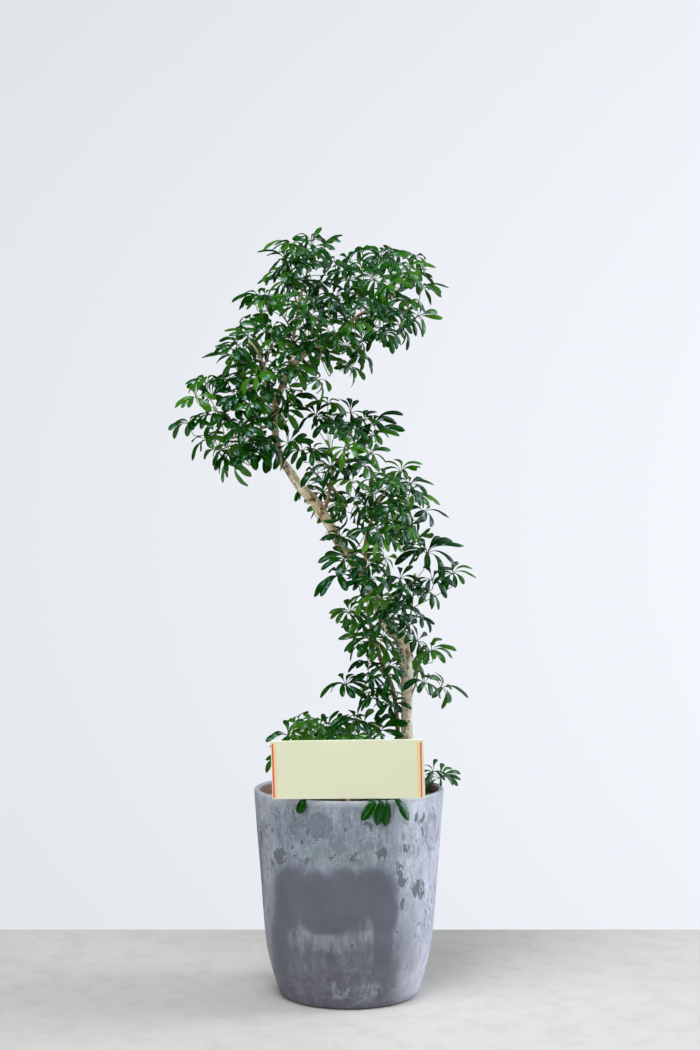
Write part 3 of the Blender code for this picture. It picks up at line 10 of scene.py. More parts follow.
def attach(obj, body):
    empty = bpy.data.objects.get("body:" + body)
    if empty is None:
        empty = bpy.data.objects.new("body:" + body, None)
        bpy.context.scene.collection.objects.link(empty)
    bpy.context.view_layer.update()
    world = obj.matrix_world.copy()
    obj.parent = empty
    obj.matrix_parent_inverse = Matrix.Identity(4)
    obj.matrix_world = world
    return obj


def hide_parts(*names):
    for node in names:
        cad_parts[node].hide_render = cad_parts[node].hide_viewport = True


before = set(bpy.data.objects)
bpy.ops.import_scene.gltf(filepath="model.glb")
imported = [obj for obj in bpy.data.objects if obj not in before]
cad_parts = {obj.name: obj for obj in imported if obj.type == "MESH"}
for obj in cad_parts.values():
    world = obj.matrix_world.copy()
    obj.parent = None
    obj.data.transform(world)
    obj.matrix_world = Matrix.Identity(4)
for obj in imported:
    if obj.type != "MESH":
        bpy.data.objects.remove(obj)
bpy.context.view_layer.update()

# ---------------------------------------------------------------- dimensions
POT_HEIGHT = 0.405          # underside to the top of the rim
POT_RIM_RADIUS = 0.1875     # outside, at the rim
POT_WALL = 0.0100           # wall thickness under the rim
POT_FLOOR = 0.0180          # floor thickness
# outer radius of the planter at a few heights above its underside
POT_SIDE = ((0.0, 0.1320), (0.0060, 0.1375), (0.039, 0.1485), (0.083, 0.1600),
            (0.1265, 0.1663), (0.212, 0.1730), (0.340, 0.1830), (0.4005, 0.1874))
DRAIN_RADIUS = 0.0065
DRAIN_CIRCLE = 0.0620       # the drain holes' distance from the axis
DRAIN_COUNT = 3
STONES_TOP = 0.0560         # drainage stones, from the floor up
SOIL_TOP = 0.3790           # soil at the wall; it crowns a little in the middle
SOIL_CROWN = 0.0050
GAP = 0.0003                # between pieces that touch
TURN_STEPS = 32

CARD_FOOT = -0.1790         # the card's middle plane at its lower edge, just inside the rim
CARD_HEAD = -0.2000         # and at its upper edge: it leans out over the rim
CARD_THICK = 0.0030
STAKE_THICK = 0.0040
STAKE_WIDTH = 0.0080
STAKE_BURIED = 0.1400       # how far down the stake reaches below the card

# The plant is drawn on a front elevation sheet: one unit is 1.98 mm at the
# planter's axis, x grows to the right and y grows downwards. SHEET_AXIS_X is
# the planter's axis. The sheet is a view in perspective from EYE_DISTANCE in
# front of the axis, at EYE_HEIGHT, so a point's depth changes where it lies.
UNIT = 0.00198
SHEET_AXIS_X = 349.0
SHEET_EYE_Y = 525.0
EYE_DISTANCE = 3.60
EYE_HEIGHT = 0.9245

LEAFLET_LENGTH = 0.060      # typical, hub to tip
LEAF_CORE = 0.0013          # half the thickness of a leaf solid at its hub
NOTCH = 0.34                # where the gaps between leaflets begin, as a share
PETIOLE_RADIUS = 0.0012
NECKS = (0.46, 0.62, 0.32, 0.80, 0.20)  # the last part of a leaf stalk, square to the leaf, as a
                            # share of the leaflets' length: the first that clears them is used


def place(x, y, depth_cm):
    """A point of the sheet at a depth in centimetres, positive away from the front."""
    depth = depth_cm * 0.01
    f = 1.0 + depth / EYE_DISTANCE
    return Vector(((x - SHEET_AXIS_X) * UNIT * f, depth,
                   EYE_HEIGHT + (SHEET_EYE_Y - y) * UNIT * f))


# ------------------------------------------------------------ the woody frame
# name: (points as x, y, depth; radius in millimetres)
WOOD = {
    "trunk_and_branches": [(407, 850, 0, 12.4), (407, 790, 0, 12.4), (407, 738, 0, 11.9), (406.6, 716, 0, 10.6),
              (407, 686, 0, 11.8), (405, 659, -0.3, 13.0), (400.4, 638, -0.6, 12.9),
              (390, 629, -0.8, 12.2), (381, 611, -1, 11.6), (375.7, 595, -1, 11.4),
              (363, 579, -0.8, 11.2), (350.5, 557, -0.4, 10.4), (341.3, 546.7, 0, 9.6),
              (329, 524, 0.4, 9.9), (320.3, 510, 0.6, 10.4), (312.9, 499.7, 0.8, 11.0),
              (299.5, 486, 0.9, 9.4), (289.2, 470.6, 0.8, 8.6), (282, 461, 0.6, 8.4),
              (277.5, 446, 0.4, 7.6), (275.2, 430.6, 0.2, 6.6), (275.2, 415.3, 0, 6.6),
              (276.5, 400, 0, 6.9), (281.7, 388, 0.3, 6.9), (288, 372, 0.8, 6.8),
              (303, 355, 1.2, 6.6), (325, 342, 1.0, 6.8), (346.5, 331, 0.4, 6.6)],
    "rear_stem": [(400, 850, 3.4, 5.0), (400, 790, 3.4, 5.0), (397, 720, 3.4, 4.6), (392, 687, 3.3, 4.4),
                  (382, 664, 3.1, 4.2), (378, 650, 3.0, 4.0), (372, 631, 2.8, 3.8),
                  (370, 622, 2.6, 3.4), (366, 606, 2.4, 2.8)],
}
# name: (the piece that it grows from, points, where the first one is moved on to it)
BRANCHES = {
    "branch_crown_left": ("trunk_and_branches", [(276, 405, 0, 3.6), (269, 386, -1.6, 3.2), (264, 366, -2.6, 3.0),
                                    (255, 348, -2.8, 2.6), (249, 341, -2.8, 2.2)]),
    "branch_crown_top": ("trunk_and_branches", [(290, 370, 1, 4.2), (291, 350, 3.0, 3.8), (295, 328, 4.0, 3.4),
                                   (299, 306, 4.2, 3.0), (303, 286, 4.2, 2.4)]),
    "branch_crown_front": ("trunk_and_branches", [(282, 387, 0.2, 4.2), (290, 377, -1.6, 4.0), (303, 366.5, -2.8, 4.0),
                                     (316, 356.6, -3.2, 3.8), (324.5, 347.4, -3.2, 3.6),
                                     (341, 337.5, -3.0, 3.4)]),
    "branch_crown_right": ("trunk_and_branches", [(336, 336, 0.6, 4.0), (350, 322, 2.2, 3.8), (366, 311, 2.2, 3.4),
                                     (380, 303, 1.8, 3.0), (391, 295, 1.6, 2.6)]),
    "branch_left_low": ("trunk_and_branches", [(275.2, 424, 0, 3.6), (262, 428, -2.0, 3.2), (246, 434, -3.2, 3.0),
                                  (232, 438, -3.8, 2.6), (221, 438, -4.0, 2.2)]),
    "branch_middle": ("trunk_and_branches", [(324, 514, 0.6, 4.0), (329, 494, -0.8, 3.9), (331, 480, -1.0, 3.9),
                                (333, 469, -1.0, 3.6), (340, 458, -1.2, 3.2), (346, 449, -1.4, 2.6)]),
    "branch_right": ("trunk_and_branches", [(362, 577, -0.8, 4.4), (365.5, 560, -1.8, 4.0), (365.8, 542, -2.2, 3.8),
                               (371, 522, -2.4, 3.4), (377, 506, -2.4, 3.0), (380.5, 497, -2.4, 2.4)]),
}

# ------------------------------------------------------------------- sprays
# name: carrier, stem points (x, y, depth), leaves.
# A leaf is (hub x, hub y, hub depth, tips of the leaflets that show).
# The leaflets that a row leaves out are filled in round the hub.
SPRAYS = {
    "spray_crown_peak": ("branch_crown_top", [(303, 290, 4.2), (305, 280, 3.8), (307, 271, 3.4)], [
        (324, 248, 3.0, (343, 235), (321, 230), (333, 240), (335, 253)),
        (312, 248, 1.0, (292, 238), (321, 226), (305, 236), (317, 258)),
        (298, 251, 6.5, (292, 242), (297, 241), (303, 245)),
        (309, 257, -1.5, (316, 250), (319, 254), (300, 252), (297, 258)),
        (307, 268, -4.0, (312, 258), (291, 260), (321, 270), (301, 279)),
        (311, 241, 3.5, (293, 236), (300, 236), (318, 232), (322, 243)),
        (335, 262, -1.5, (322, 258), (330, 256), (346, 262), (341, 270))]),
    "spray_crown_upper_left": ("branch_crown_top", [(299, 308, 4.2), (294, 294, 3.8), (290, 279, 3.0)], [
        (284, 258, 3.0, (257, 252), (266, 253), (288, 245), (294, 247)),
        (290, 264, -0.5, (279, 262), (283, 267), (300, 254)),
        (284, 283, 0.5, (257, 284), (270, 278), (282, 272), (291, 293)),
        (292, 281, -3.5, (283, 268), (300, 270), (301, 290)),
        (291, 247, 2.5, (263, 250), (275, 248), (302, 243), (284, 255)),
        (281, 275, -1.0, (262, 283), (272, 273), (290, 268), (286, 286))]),
    "spray_crown_shoulder": ("branch_crown_top", [(294, 334, 3.8), (285, 319, 2.6), (276, 307, 1.2)], [
        (260, 298, 1.0, (241, 294), (232, 303), (240, 302), (249, 309), (258, 287)),
        (270, 301, -2.5, (267, 287), (276, 287), (283, 281), (262, 312)),
        (288, 302, -4.5, (270, 306), (270, 300), (280, 296), (295, 313)),
        (297, 309, -7.5, (271, 312), (306, 321), (311, 303), (290, 322)),
        (265, 297, -1.0, (259, 287), (265, 286), (272, 288), (254, 307)),
        (256, 299, 3.5, (241, 292), (247, 308), (243, 297))]),
    "spray_crown_centre": ("branch_crown_top", [(301, 300, 4.2), (309, 298, 2.2), (315, 296, 0.8)], [
        (306, 287, -5.5, (290, 293), (288, 285), (300, 280), (308, 275), (313, 296), (321, 287)),
        (322, 285, -2.5, (331, 290), (340, 282), (325, 272), (316, 299)),
        (322, 306, -6.5, (308, 312), (334, 313), (322, 320), (337, 303)),
        (336, 297, -3.5, (345, 287), (348, 301), (338, 310)),
        (299, 296, -10.5, (290, 300), (306, 291), (296, 305))]),
    "spray_crown_top_right": ("branch_crown_right", [(352, 320, 2.2), (358, 300, 1.8), (362, 288, 1.0)], [
        (350, 262, 2.0, (362, 246), (341, 252), (352, 250), (342, 270)),
        (380, 257, 1.0, (374, 247), (381, 246), (391, 246), (360, 248)),
        (374.5, 280, -3.0, (360, 268), (370, 267), (385, 266), (397, 262)),
        (349, 281, -2.0, (338, 272), (334, 286), (352, 270), (347, 296)),
        (363, 299, -5.5, (351, 293), (376, 296), (358, 312), (370, 311)),
        (345, 272, -4.5, (333, 270), (352, 264), (357, 275), (344, 281)),
        (362, 268, -2.0, (350, 268), (360, 258), (374, 266), (368, 277)),
        (362, 252, 3.0, (349, 250), (356, 247), (372, 247), (377, 254))]),
    "spray_crown_far_right": ("branch_crown_right", [(385, 299.4, 1.7), (394, 287, 1.8), (399, 277, 1.8)], [
        (398, 257, 4.0, (400, 248), (406, 253), (391, 252)),
        (410, 267, 0.5, (418, 258), (424, 261), (431, 264), (436, 268), (404, 261)),
        (414, 275, 5.5, (428, 268), (424, 278)),
        (394, 263, -1.5, (380, 271), (406, 271), (400, 278), (387, 277)),
        (401, 280, -4.0, (411, 277), (419, 281), (387, 281), (380, 285), (402, 291)),
        (388, 252, 3.5, (378, 246), (386, 245), (397, 250), (401, 258)),
        (413, 258, 2.0, (404, 252), (414, 257), (424, 262), (402, 262)),
        (391, 285, -8.0, (379, 282), (388, 276), (402, 283), (394, 296))]),
    "spray_crown_right_edge": ("branch_crown_right", [(390.5, 295.4, 1.6), (402, 300, 0.6), (411, 301, -0.4)], [
        (420, 290, 0.0, (449, 288), (440, 296), (428, 293), (404, 288), (409, 283)),
        (391, 299, -6.0, (379, 291), (386, 288), (397, 291), (400, 300), (386, 309)),
        (408, 302, -6.5, (422, 307), (407, 312), (416, 313), (399, 311)),
        (418, 316, -1.0, (443, 318), (438, 311), (427, 306), (431, 332), (424, 335)),
        (404, 317, 4.0, (415, 326), (398, 329), (414, 313)),
        (405, 318, -9.0, (393, 316), (401, 308), (416, 322), (407, 329))]),
    "spray_crown_right_low": ("branch_crown_right", [(365, 311.8, 2.2), (378, 318, 0.2), (389, 321, -1.6)], [
        (399.5, 328, -3.5, (385, 320), (392, 316), (405, 319), (419, 333), (411, 335), (396, 337)),
        (380.5, 336, -4.5, (392, 340), (390, 349), (379, 353), (371, 344)),
        (372, 319, -6.5, (358, 316), (361, 327), (384, 324), (372, 332), (377, 307)),
        (386, 310, -9.0, (374, 304), (398, 309), (381, 322), (392, 319)),
        (384, 333, -7.0, (376, 343), (381, 348), (394, 329), (372, 330)),
        (370, 306, -10.0, (358, 304), (366, 296), (382, 303), (374, 316))]),
    "spray_crown_middle": ("branch_crown_front", [(335, 341.4, -3.1), (341, 330, -5.0), (346, 320, -6.6)], [
        (332, 322, -9.5, (319, 327), (333, 308), (344, 326), (329, 336), (320, 316)),
        (347, 306, -8.5, (334, 311), (347, 293), (361, 308), (350, 320)),
        (354, 324, -11.5, (341, 320), (356, 311), (367, 322), (362, 335), (348, 337)),
        (338, 338, -12.0, (324, 341), (336, 349), (350, 343)),
        (346.4, 347.2, -9.4, (336, 353), (348, 358), (358, 351), (355, 339)),
        (361, 341, -8.0, (351, 347), (362, 352), (370, 336), (357, 331)),
        (330, 302, -11.0, (317, 303), (326, 292), (342, 299), (334, 314))]),
    "spray_crown_under": ("branch_crown_front", [(320, 352, -3.2), (331, 355, -1.4), (339, 360, -0.6)], [
        (346, 367, -1.0, (368, 375), (364, 381), (354, 380), (336, 363), (334, 370)),
        (358, 356, -3.5, (370, 370), (360, 367), (350, 360), (369, 354)),
        (321, 359, 4.0, (308, 367), (316, 369), (330, 367))]),
    "spray_crown_front": ("branch_crown_front", [(307, 363.4, -2.9), (304, 367, -5.2), (301, 366, -7.0)], [
        (288.5, 359, -8.0, (271, 355), (301, 358), (280, 366), (288, 347)),
        (292.3, 370, -11.0, (309, 371), (306, 380), (305, 391), (290, 386), (275, 372)),
        (316, 380, -6.5, (305, 382), (312, 391), (327, 381), (329, 393), (316, 371)),
        (280, 372, -10.5, (267, 378), (272, 364), (292, 379), (283, 386)),
        (291, 389, -8.5, (279, 394), (298, 400), (303, 387), (287, 379))]),
    "spray_crown_inner": ("branch_crown_front", [(312, 359.6, -3.1), (309, 346, -4.8), (306, 337, -6.2)], [
        (300, 330, -10.5, (286, 333), (291, 320), (302, 316), (314, 328), (303, 344)),
        (315, 341, -9.5, (325, 352), (310, 354), (327, 336), (312, 327)),
        (293, 343, -7.5, (281, 350), (299, 356), (284, 336), (303, 340)),
        (318, 351, -8.5, (307, 354), (316, 362), (328, 357), (329, 345)),
        (311, 316, -12.5, (298, 318), (306, 306), (323, 312), (315, 328)),
        (301, 352, -12.0, (289, 357), (298, 363), (312, 349), (303, 341))]),
    "spray_crown_left_bright": ("branch_crown_left", [(264, 366, -2.6), (268, 356, -4.0), (271, 348, -5.0)], [
        (265.6, 333, -4.0, (239, 323), (252, 316), (259, 320), (263, 311), (275, 327), (256, 344)),
        (278, 341.5, -7.0, (291, 337), (281, 329), (266, 347), (284, 353)),
        (252, 321, -3.0, (241, 324), (246, 316), (262, 315), (258, 330)),
        (272.6, 328.2, -6.6, (258, 332), (266, 321), (284, 325), (279, 338))]),
    "spray_crown_left_outer": ("branch_crown_left", [(252, 344.6, -2.8), (246, 348, -3.0), (242, 352, -3.4)], [
        (248, 338, -1.0, (224, 331), (241, 325), (247, 326), (236, 342)),
        (237, 345, -4.5, (218, 340), (239, 336), (229, 352)),
        (236, 357, -2.0, (205, 350), (202, 358), (218, 365), (240, 369)),
        (250, 365, -7.5, (240, 362), (243, 371), (263, 362), (258, 373)),
        (233, 350, -5.5, (216, 348), (222, 357), (217, 364), (240, 362))]),
    "spray_left_upper_tip": ("branch_left_low", [(240, 435.6, -3.5), (226, 423, -4.2), (217, 411, -4.2)], [
        (196, 397, -5.0, (175, 408), (191, 409), (186, 384), (183, 392), (206, 376)),
        (214, 396, -2.0, (196, 383), (215, 378), (225, 374), (204, 404)),
        (212, 415, -7.5, (189, 424), (203, 430), (222, 424), (201, 414)),
        (207, 384, -3.0, (186, 385), (196, 377), (216, 377), (221, 389))]),
    "spray_left_upper_inner": ("branch_crown_left", [(268, 384, -1.7), (256, 386, -4.4), (247, 389, -6.2)], [
        (240, 380, -6.0, (224, 391), (221, 385), (231, 373), (246, 369)),
        (235, 396, -9.0, (217, 407), (226, 386), (228, 411), (247, 402)),
        (257, 378, -8.0, (245, 372), (262, 366), (270, 382), (257, 392)),
        (250, 405, -11.5, (236, 412), (243, 395), (262, 399), (262, 411), (249, 419)),
        (228, 381, -8.0, (216, 377), (221, 391), (238, 374), (240, 387)),
        (271, 391, -7.0, (261, 397), (268, 405), (282, 397), (264, 381))]),
    "spray_left_tip": ("branch_left_low", [(223, 438, -4.0), (216, 436, -4.4), (211, 434, -4.6)], [
        (190, 424, -3.0, (170, 431), (183, 434), (176, 424), (198, 416)),
        (206, 440, -7.5, (194, 443), (205, 458), (214, 449), (198, 452)),
        (218.6, 448, -5.0, (205, 459), (212, 474), (222, 470), (232, 457)),
        (222, 424, -9.0, (209, 428), (216, 436), (232, 430), (227, 413))]),
    "spray_left_hanging": ("branch_left_low", [(244, 434.6, -3.3), (241, 444, -3.8), (239, 450, -4.0)], [
        (238, 458, -3.0, (223, 483), (236.5, 489.5), (248, 486.5), (256, 479), (228, 478)),
        (228, 447, -8.0, (218, 451), (228, 462), (240, 457), (221, 437)),
        (252, 452, -7.0, (242, 462), (257, 471), (264, 461), (262, 447)),
        (230, 455, -5.5, (216, 471), (224, 480), (233, 482), (243, 470)),
        (261, 453, -5.0, (256, 478), (266, 474), (273, 464), (251, 466))]),
    "spray_left_front": ("branch_left_low", [(258, 429.4, -2.3), (252, 431, -5.0), (248, 430, -7.0)], [
        (240, 432, -10.5, (227, 428), (230, 441), (243, 447), (253, 439), (244, 418)),
        (260.6, 422, -9.5, (249, 421), (262, 410), (271, 420), (273, 432), (257, 435)),
        (262, 442, -10.5, (250, 444), (253, 456), (270, 458), (273, 444), (262, 430)),
        (236, 411, -7.0, (224, 412), (231, 401), (247, 406), (241, 421)),
        (272, 448, -7.0, (266, 462), (274, 470), (278, 457), (264, 441))]),
    "spray_trunk_right": ("trunk_and_branches", [(275.4, 410, 0), (284, 419, -2.0), (287, 428, -3.0)], [
        (282, 412, -4.6, (302, 421), (298, 431), (287, 399), (296, 409), (283, 431)),
        (294, 400, -2.0, (307, 399), (303, 411), (289, 389), (302, 391)),
        (289, 443, -3.8, (298, 428), (307, 439), (314, 442), (284, 457), (300, 452))]),
    "spray_trunk_gap": ("branch_middle", [(332.6, 471, -1.0), (325, 463, -0.6), (319, 459, -0.4)], [
        (302.4, 451, 0.0, (282, 464), (292, 465), (306, 462), (298, 443)),
        (313, 452, -3.5, (306, 440), (321, 443), (324, 458), (313, 467)),
        (317, 474, -5.5, (304, 484), (311, 491), (325, 488), (307, 470))]),
    "spray_middle_left": ("branch_middle", [(336.5, 462.6, -1.1), (331, 452, -1.6), (328, 445, -2.0)], [
        (315.7, 417, -1.0, (295, 408), (305, 404), (319, 400), (331, 403), (308, 419)),
        (330, 421, -4.0, (318, 413), (342, 416), (333, 408), (324, 432)),
        (338, 430, -6.0, (320, 428), (326, 420), (347, 424), (340, 442)),
        (328, 404, -2.5, (316, 405), (322, 397), (339, 400), (334, 414))]),
    "spray_middle_top": ("branch_middle", [(343, 453.4, -1.3), (346, 444, -1.8), (349, 436, -2.4)], [
        (350.5, 413, -1.0, (338, 398), (348, 397), (358, 399), (367, 403)),
        (352, 429, -6.0, (341, 424), (345, 438), (357, 441), (357, 417)),
        (364, 421, -3.5, (377, 411), (368, 409), (376, 426), (357, 430))]),
    "spray_middle_right": ("branch_middle", [(345, 450.6, -1.4), (355, 446, -2.0), (363, 442, -2.4)], [
        (374.5, 425.6, -1.0, (403.5, 415), (395, 419), (368, 416), (384, 434)),
        (374.5, 436, -4.5, (405, 431), (399, 437), (381, 446), (364, 432)),
        (370, 454, -3.5, (391, 450), (384, 459), (361, 464), (372, 467), (364, 442))]),
    "spray_middle_front": ("branch_middle", [(332, 474, -1.0), (337, 466, -3.6), (340, 460, -5.4)], [
        (347.5, 449, -9.0, (331, 438), (339, 437), (352, 438), (365, 450), (357, 459)),
        (331, 467, -9.5, (315, 461), (310, 472), (325, 485), (345, 476), (321, 452)),
        (349, 464, -6.5, (366, 457), (371, 463), (346, 483), (357, 476)),
        (362, 466, -5.5, (352, 471), (373, 463), (379, 472), (364, 479))]),
    "spray_right_upper": ("branch_right", [(379.6, 499.4, -2.4), (386, 490, -2.6), (391, 483, -2.8)], [
        (401, 473, -2.0, (384, 461), (394, 459), (418, 460.5), (423, 464), (416, 471)),
        (409, 485, -4.5, (408, 476), (424, 479), (434, 485), (426, 495), (400, 494)),
        (387, 481, -7.0, (374, 477), (377, 491), (392, 494), (397, 480), (384, 468)),
        (372, 480, -5.0, (360, 478), (366, 491), (384, 476), (381, 489)),
        (410, 492, -7.0, (399, 495), (405, 483), (423, 489), (415, 503))]),
    "spray_right_outer": ("branch_right", [(378, 504.4, -2.4), (391, 503, -1.6), (400, 502, -1.0)], [
        (410, 499, -2.0, (440, 505), (428, 506), (424, 496), (408, 512)),
        (424, 512, -1.0, (449, 518), (441, 520), (430, 527), (428, 504), (413, 517)),
        (407, 526, -4.5, (399, 513), (423, 517), (419, 533), (399, 538)),
        (415, 536, 0.5, (431, 528), (433, 535), (424, 546), (404, 545)),
        (404.4, 528.2, -10.0, (393, 530), (400, 518), (417, 527), (409, 540)),
        (412, 545, -5.0, (401, 549), (408, 536), (425, 540), (419, 554))]),
    "spray_right_inner": ("branch_right", [(373, 516.6, -2.4), (378, 516, -4.4), (382, 517, -6.0)], [
        (367, 507, -7.5, (353, 505), (363, 493), (375, 497), (362, 520)),
        (391, 512, -8.5, (380, 504), (395, 499), (404, 510), (397, 525), (384, 524)),
        (380, 533, -10.5, (365, 531), (371, 545), (388, 546), (395, 533), (380, 519)),
        (398, 530, -9.0, (388, 538), (401, 545), (411, 531), (402, 518)),
        (398, 511, -11.5, (386, 513), (393, 502), (410, 508), (402, 522))]),
    "spray_middle_lower": ("branch_middle", [(330.6, 484, -1.0), (338, 494, -2.4), (343, 501, -3.4)], [
        (352, 500, -4.5, (352, 486), (362, 492), (364, 506), (345, 489)),
        (344, 511, -5.0, (323, 521), (329, 525), (339, 525), (353, 523), (334, 503)),
        (336, 503, 3.0, (326, 500), (331, 493), (347, 507), (340, 515)),
        (352, 483, -6.5, (340, 486), (348, 494), (363, 490), (356, 473))]),
    "spray_behind_trunk": ("trunk_and_branches", [(312.9, 499.7, 0.8), (310, 500, 4.2), (308, 502, 6.4)], [
        (308, 488, 9.0, (296, 502), (301, 500), (319, 480)),
        (326, 507, 8.5, (311, 519), (338, 512), (320, 523)),
        (322, 494, 10.5, (334, 488), (336, 499), (322, 481))]),
    "spray_centre_low": ("branch_right", [(365.6, 556, -1.9), (359, 552, -3.6), (354, 551, -4.6)], [
        (366, 532, -6.0, (352, 540), (357, 524), (377, 524), (370, 545)),
        (347, 557, -6.0, (333, 547), (346, 540), (318, 563), (321, 574), (362, 553), (345, 573)),
        (340, 538, -5.0, (327, 540), (333, 527), (350, 531), (346, 548)),
        (344, 562, -9.0, (321, 570), (329, 561), (338, 576), (356, 566))]),
    "spray_centre_hanging": ("trunk_and_branches", [(358, 570.2, -0.6), (358, 572, -3.6), (357, 574, -5.2)], [
        (341, 576, -6.0, (314, 597), (321, 596), (330, 573), (347, 590)),
        (369, 566, -6.5, (356, 561), (380, 573), (368, 580), (374, 555)),
        (364, 583, -5.0, (353, 590), (362, 597), (376, 590)),
        (371, 580, -12.0, (359, 583), (366, 593), (383, 583), (375, 570))]),
    "spray_young": ("branch_right", [(366.4, 539, -2.2), (373, 542, -3.0), (377, 543, -3.4)], [
        (383, 541, -4.5, (391, 533), (395, 541), (388, 552), (378, 531)),
        (384, 558, -3.0, (373, 556), (378, 568), (392, 566), (396, 556))]),
    "spray_stub": ("trunk_and_branches", [(401, 640, -0.6), (410, 617, -0.8), (413, 596, -1.0), (414, 580, -1.2)], [
        (427, 553, -1.0, (420, 538), (444, 539), (464, 546), (450, 548), (414, 556)),
        (432, 580, -3.5, (424, 567), (453, 570), (454, 586), (446, 598), (427, 593)),
        (453, 574, 1.5, (473, 569), (476, 578), (463, 584), (459, 562)),
        (427, 592, -1.0, (431, 609), (444, 606), (436, 611), (418, 604)),
        (400, 579, -4.5, (400, 568), (413, 566), (421, 583), (387, 584), (400, 593)),
        (389, 587, -10.5, (378, 594), (386, 600), (400, 588), (394, 577)),
        (407, 592, -9.5, (398, 600), (408, 606), (419, 595), (411, 581)),
        (417, 617, -4.5, (434, 624), (421, 627), (414, 608), (405, 622))]),
    "spray_lower_front": ("trunk_and_branches", [(386, 621, -0.9), (388, 616, -3.8), (389, 612, -5.4)], [
        (394.4, 614, -9.0, (378, 619), (388, 630), (401, 629), (398, 593), (396, 639), (414, 610)),
        (379, 600, -7.0, (363, 602), (374, 589), (393, 596), (386, 611)),
        (405, 628, -6.0, (417, 620), (417, 635), (404, 643), (398, 618)),
        (403, 607, -12.5, (393, 612), (403, 620), (415, 612), (408, 597)),
        (381, 622, -11.5, (369, 622), (376, 635), (391, 629), (385, 611))]),
    "spray_rear_left": ("rear_stem", [(368, 613, 2.5), (361, 612, 1.6), (356, 612, 1.0)], [
        (368, 599, -4.5, (356, 615), (369, 616), (357, 600), (379, 607)),
        (350, 613, -1.5, (329, 613), (333, 622), (358, 602), (347, 600)),
        (360, 626, -3.5, (341, 627), (349, 634), (372, 623), (366, 637))]),
    "spray_rear_low": ("rear_stem", [(377, 647, 3.0), (373, 643, 0.8), (371, 641, -0.4)], [
        (370, 640, -3.5, (338, 639), (344, 651), (352, 654), (371, 660), (379, 629)),
        (387, 650, -4.5, (399, 644), (396, 658), (384, 664), (378, 641)),
        (362, 645, 5.5, (349, 640), (350, 652), (362, 660), (372, 648)),
        (383, 637, -6.5, (371, 637), (379, 627), (395, 634), (387, 648))]),
    "spray_right_low": ("trunk_and_branches", [(406.8, 704, 0), (415, 686, -1.0), (418, 670, -1.6), (419, 661, -1.8)], [
        (431, 652, -2.0, (443, 640), (456, 650), (458, 659), (444, 662), (433, 658)),
        (417, 641, 3.0, (417, 656), (427, 634), (405, 634), (412, 625)),
        (424.6, 684, -4.0, (417, 673), (431, 681), (440, 698), (430, 694), (417, 691)),
        (441, 688, 0.0, (436, 674), (448, 686), (468, 698), (446, 701)),
        (412, 662, 4.5, (422, 668), (401, 668), (404, 652), (413, 677))]),
    "spray_low_left": ("rear_stem", [(392.6, 690, 3.3), (378, 689, 2.0), (364, 686, 1.0)], [
        (345.6, 685, 0.0, (320, 698), (323, 690), (334, 699), (343, 695), (340, 676), (353, 676)),
        (367, 664, -0.5, (356, 667), (361, 672), (378, 666), (369, 652)),
        (368, 676, -3.5, (357, 680), (363, 687), (378, 672), (372, 689))]),
    "spray_low_centre": ("trunk_and_branches", [(406.9, 696, 0), (396, 692, -2.4), (388, 691, -3.4)], [
        (386, 679, -5.0, (370, 681), (374, 690), (385, 692), (399, 682), (390, 667)),
        (376, 692, -2.0, (361, 692), (369, 709), (376, 712), (386, 698)),
        (391, 706, -5.5, (379, 714), (394, 721), (401, 711), (388, 695)),
        (389, 667, -3.0, (399, 661), (398, 677), (383, 676), (379, 661)),
        (376, 699, -6.5, (366, 706), (374, 714), (384, 709), (387, 693))]),
    "spray_base_centre": ("soil", [(381, 800, -4.0), (380, 765, -4.0), (379, 745, -4.2)], [
        (380, 732, -4.6, (377, 718), (392, 716), (408, 724), (404, 735), (364, 727)),
        (364, 724, -3.0, (374, 711), (357, 717), (353, 729), (370, 735)),
        (355, 736, -6.5, (344, 741), (345, 729), (358, 725), (364, 744)),
        (392, 748, -7.5, (379, 752), (402, 741), (403, 757), (389, 763)),
        (354, 722, -6.0, (342, 722), (349, 713), (367, 719), (358, 732)),
        (373, 740, -9.0, (361, 742), (368, 731), (385, 737), (376, 750))]),
    "spray_base_left": ("soil", [(336, 800, -3.0), (335, 765, -3.0), (334, 746, -3.2)], [
        (328, 728, -4.5, (321, 716), (338, 712), (346, 716), (318, 722), (334, 739)),
        (345, 725, -1.0, (357, 717), (353, 730), (338, 716)),
        (337, 736, -7.5, (326, 742), (329, 730), (347, 733), (344, 747)),
        (318, 735, -5.5, (304, 723), (306, 740), (320, 748), (329, 741)),
        (319, 729, -2.0, (294, 732), (304, 723), (328, 719), (332, 735))]),
    "spray_base_far_left": ("soil", [(302, 800, -3.4), (301, 770, -3.6), (300, 748, -3.8)], [
        (298, 727, -4.0, (302, 713), (308, 715), (287, 723), (312, 730)),
        (288, 736, -5.0, (266, 741), (277, 731), (283, 722), (281, 748)),
        (303, 740, -8.5, (292, 747), (294, 732), (316, 735), (308, 752)),
        (285, 758, -4.5, (266, 773), (269, 748), (297, 768), (276, 767)),
        (309, 727, -6.5, (297, 725), (304, 716), (321, 722), (313, 738))]),
    "spray_base_right": ("soil", [(426, 800, -1.0), (427, 790, -1.0), (429, 782, -1.2)], [
        (440, 778, -2.0, (461, 775), (457, 784), (437, 766), (444, 766)),
        (433, 772, -5.0, (424, 768), (438, 762), (444, 778), (427, 782))]),
    "spray_back_crown": ("branch_crown_top", [(292, 345, 3.2), (306, 330, 7.0), (318, 318, 10.0)], [
        (316, 299, 12.0, (304, 290), (322, 284), (334, 300), (303, 306)),
        (336, 312, 12.5, (349, 304), (350, 319), (334, 326), (326, 301)),
        (303, 318, 13.5, (288, 315), (296, 329), (310, 332), (311, 306)),
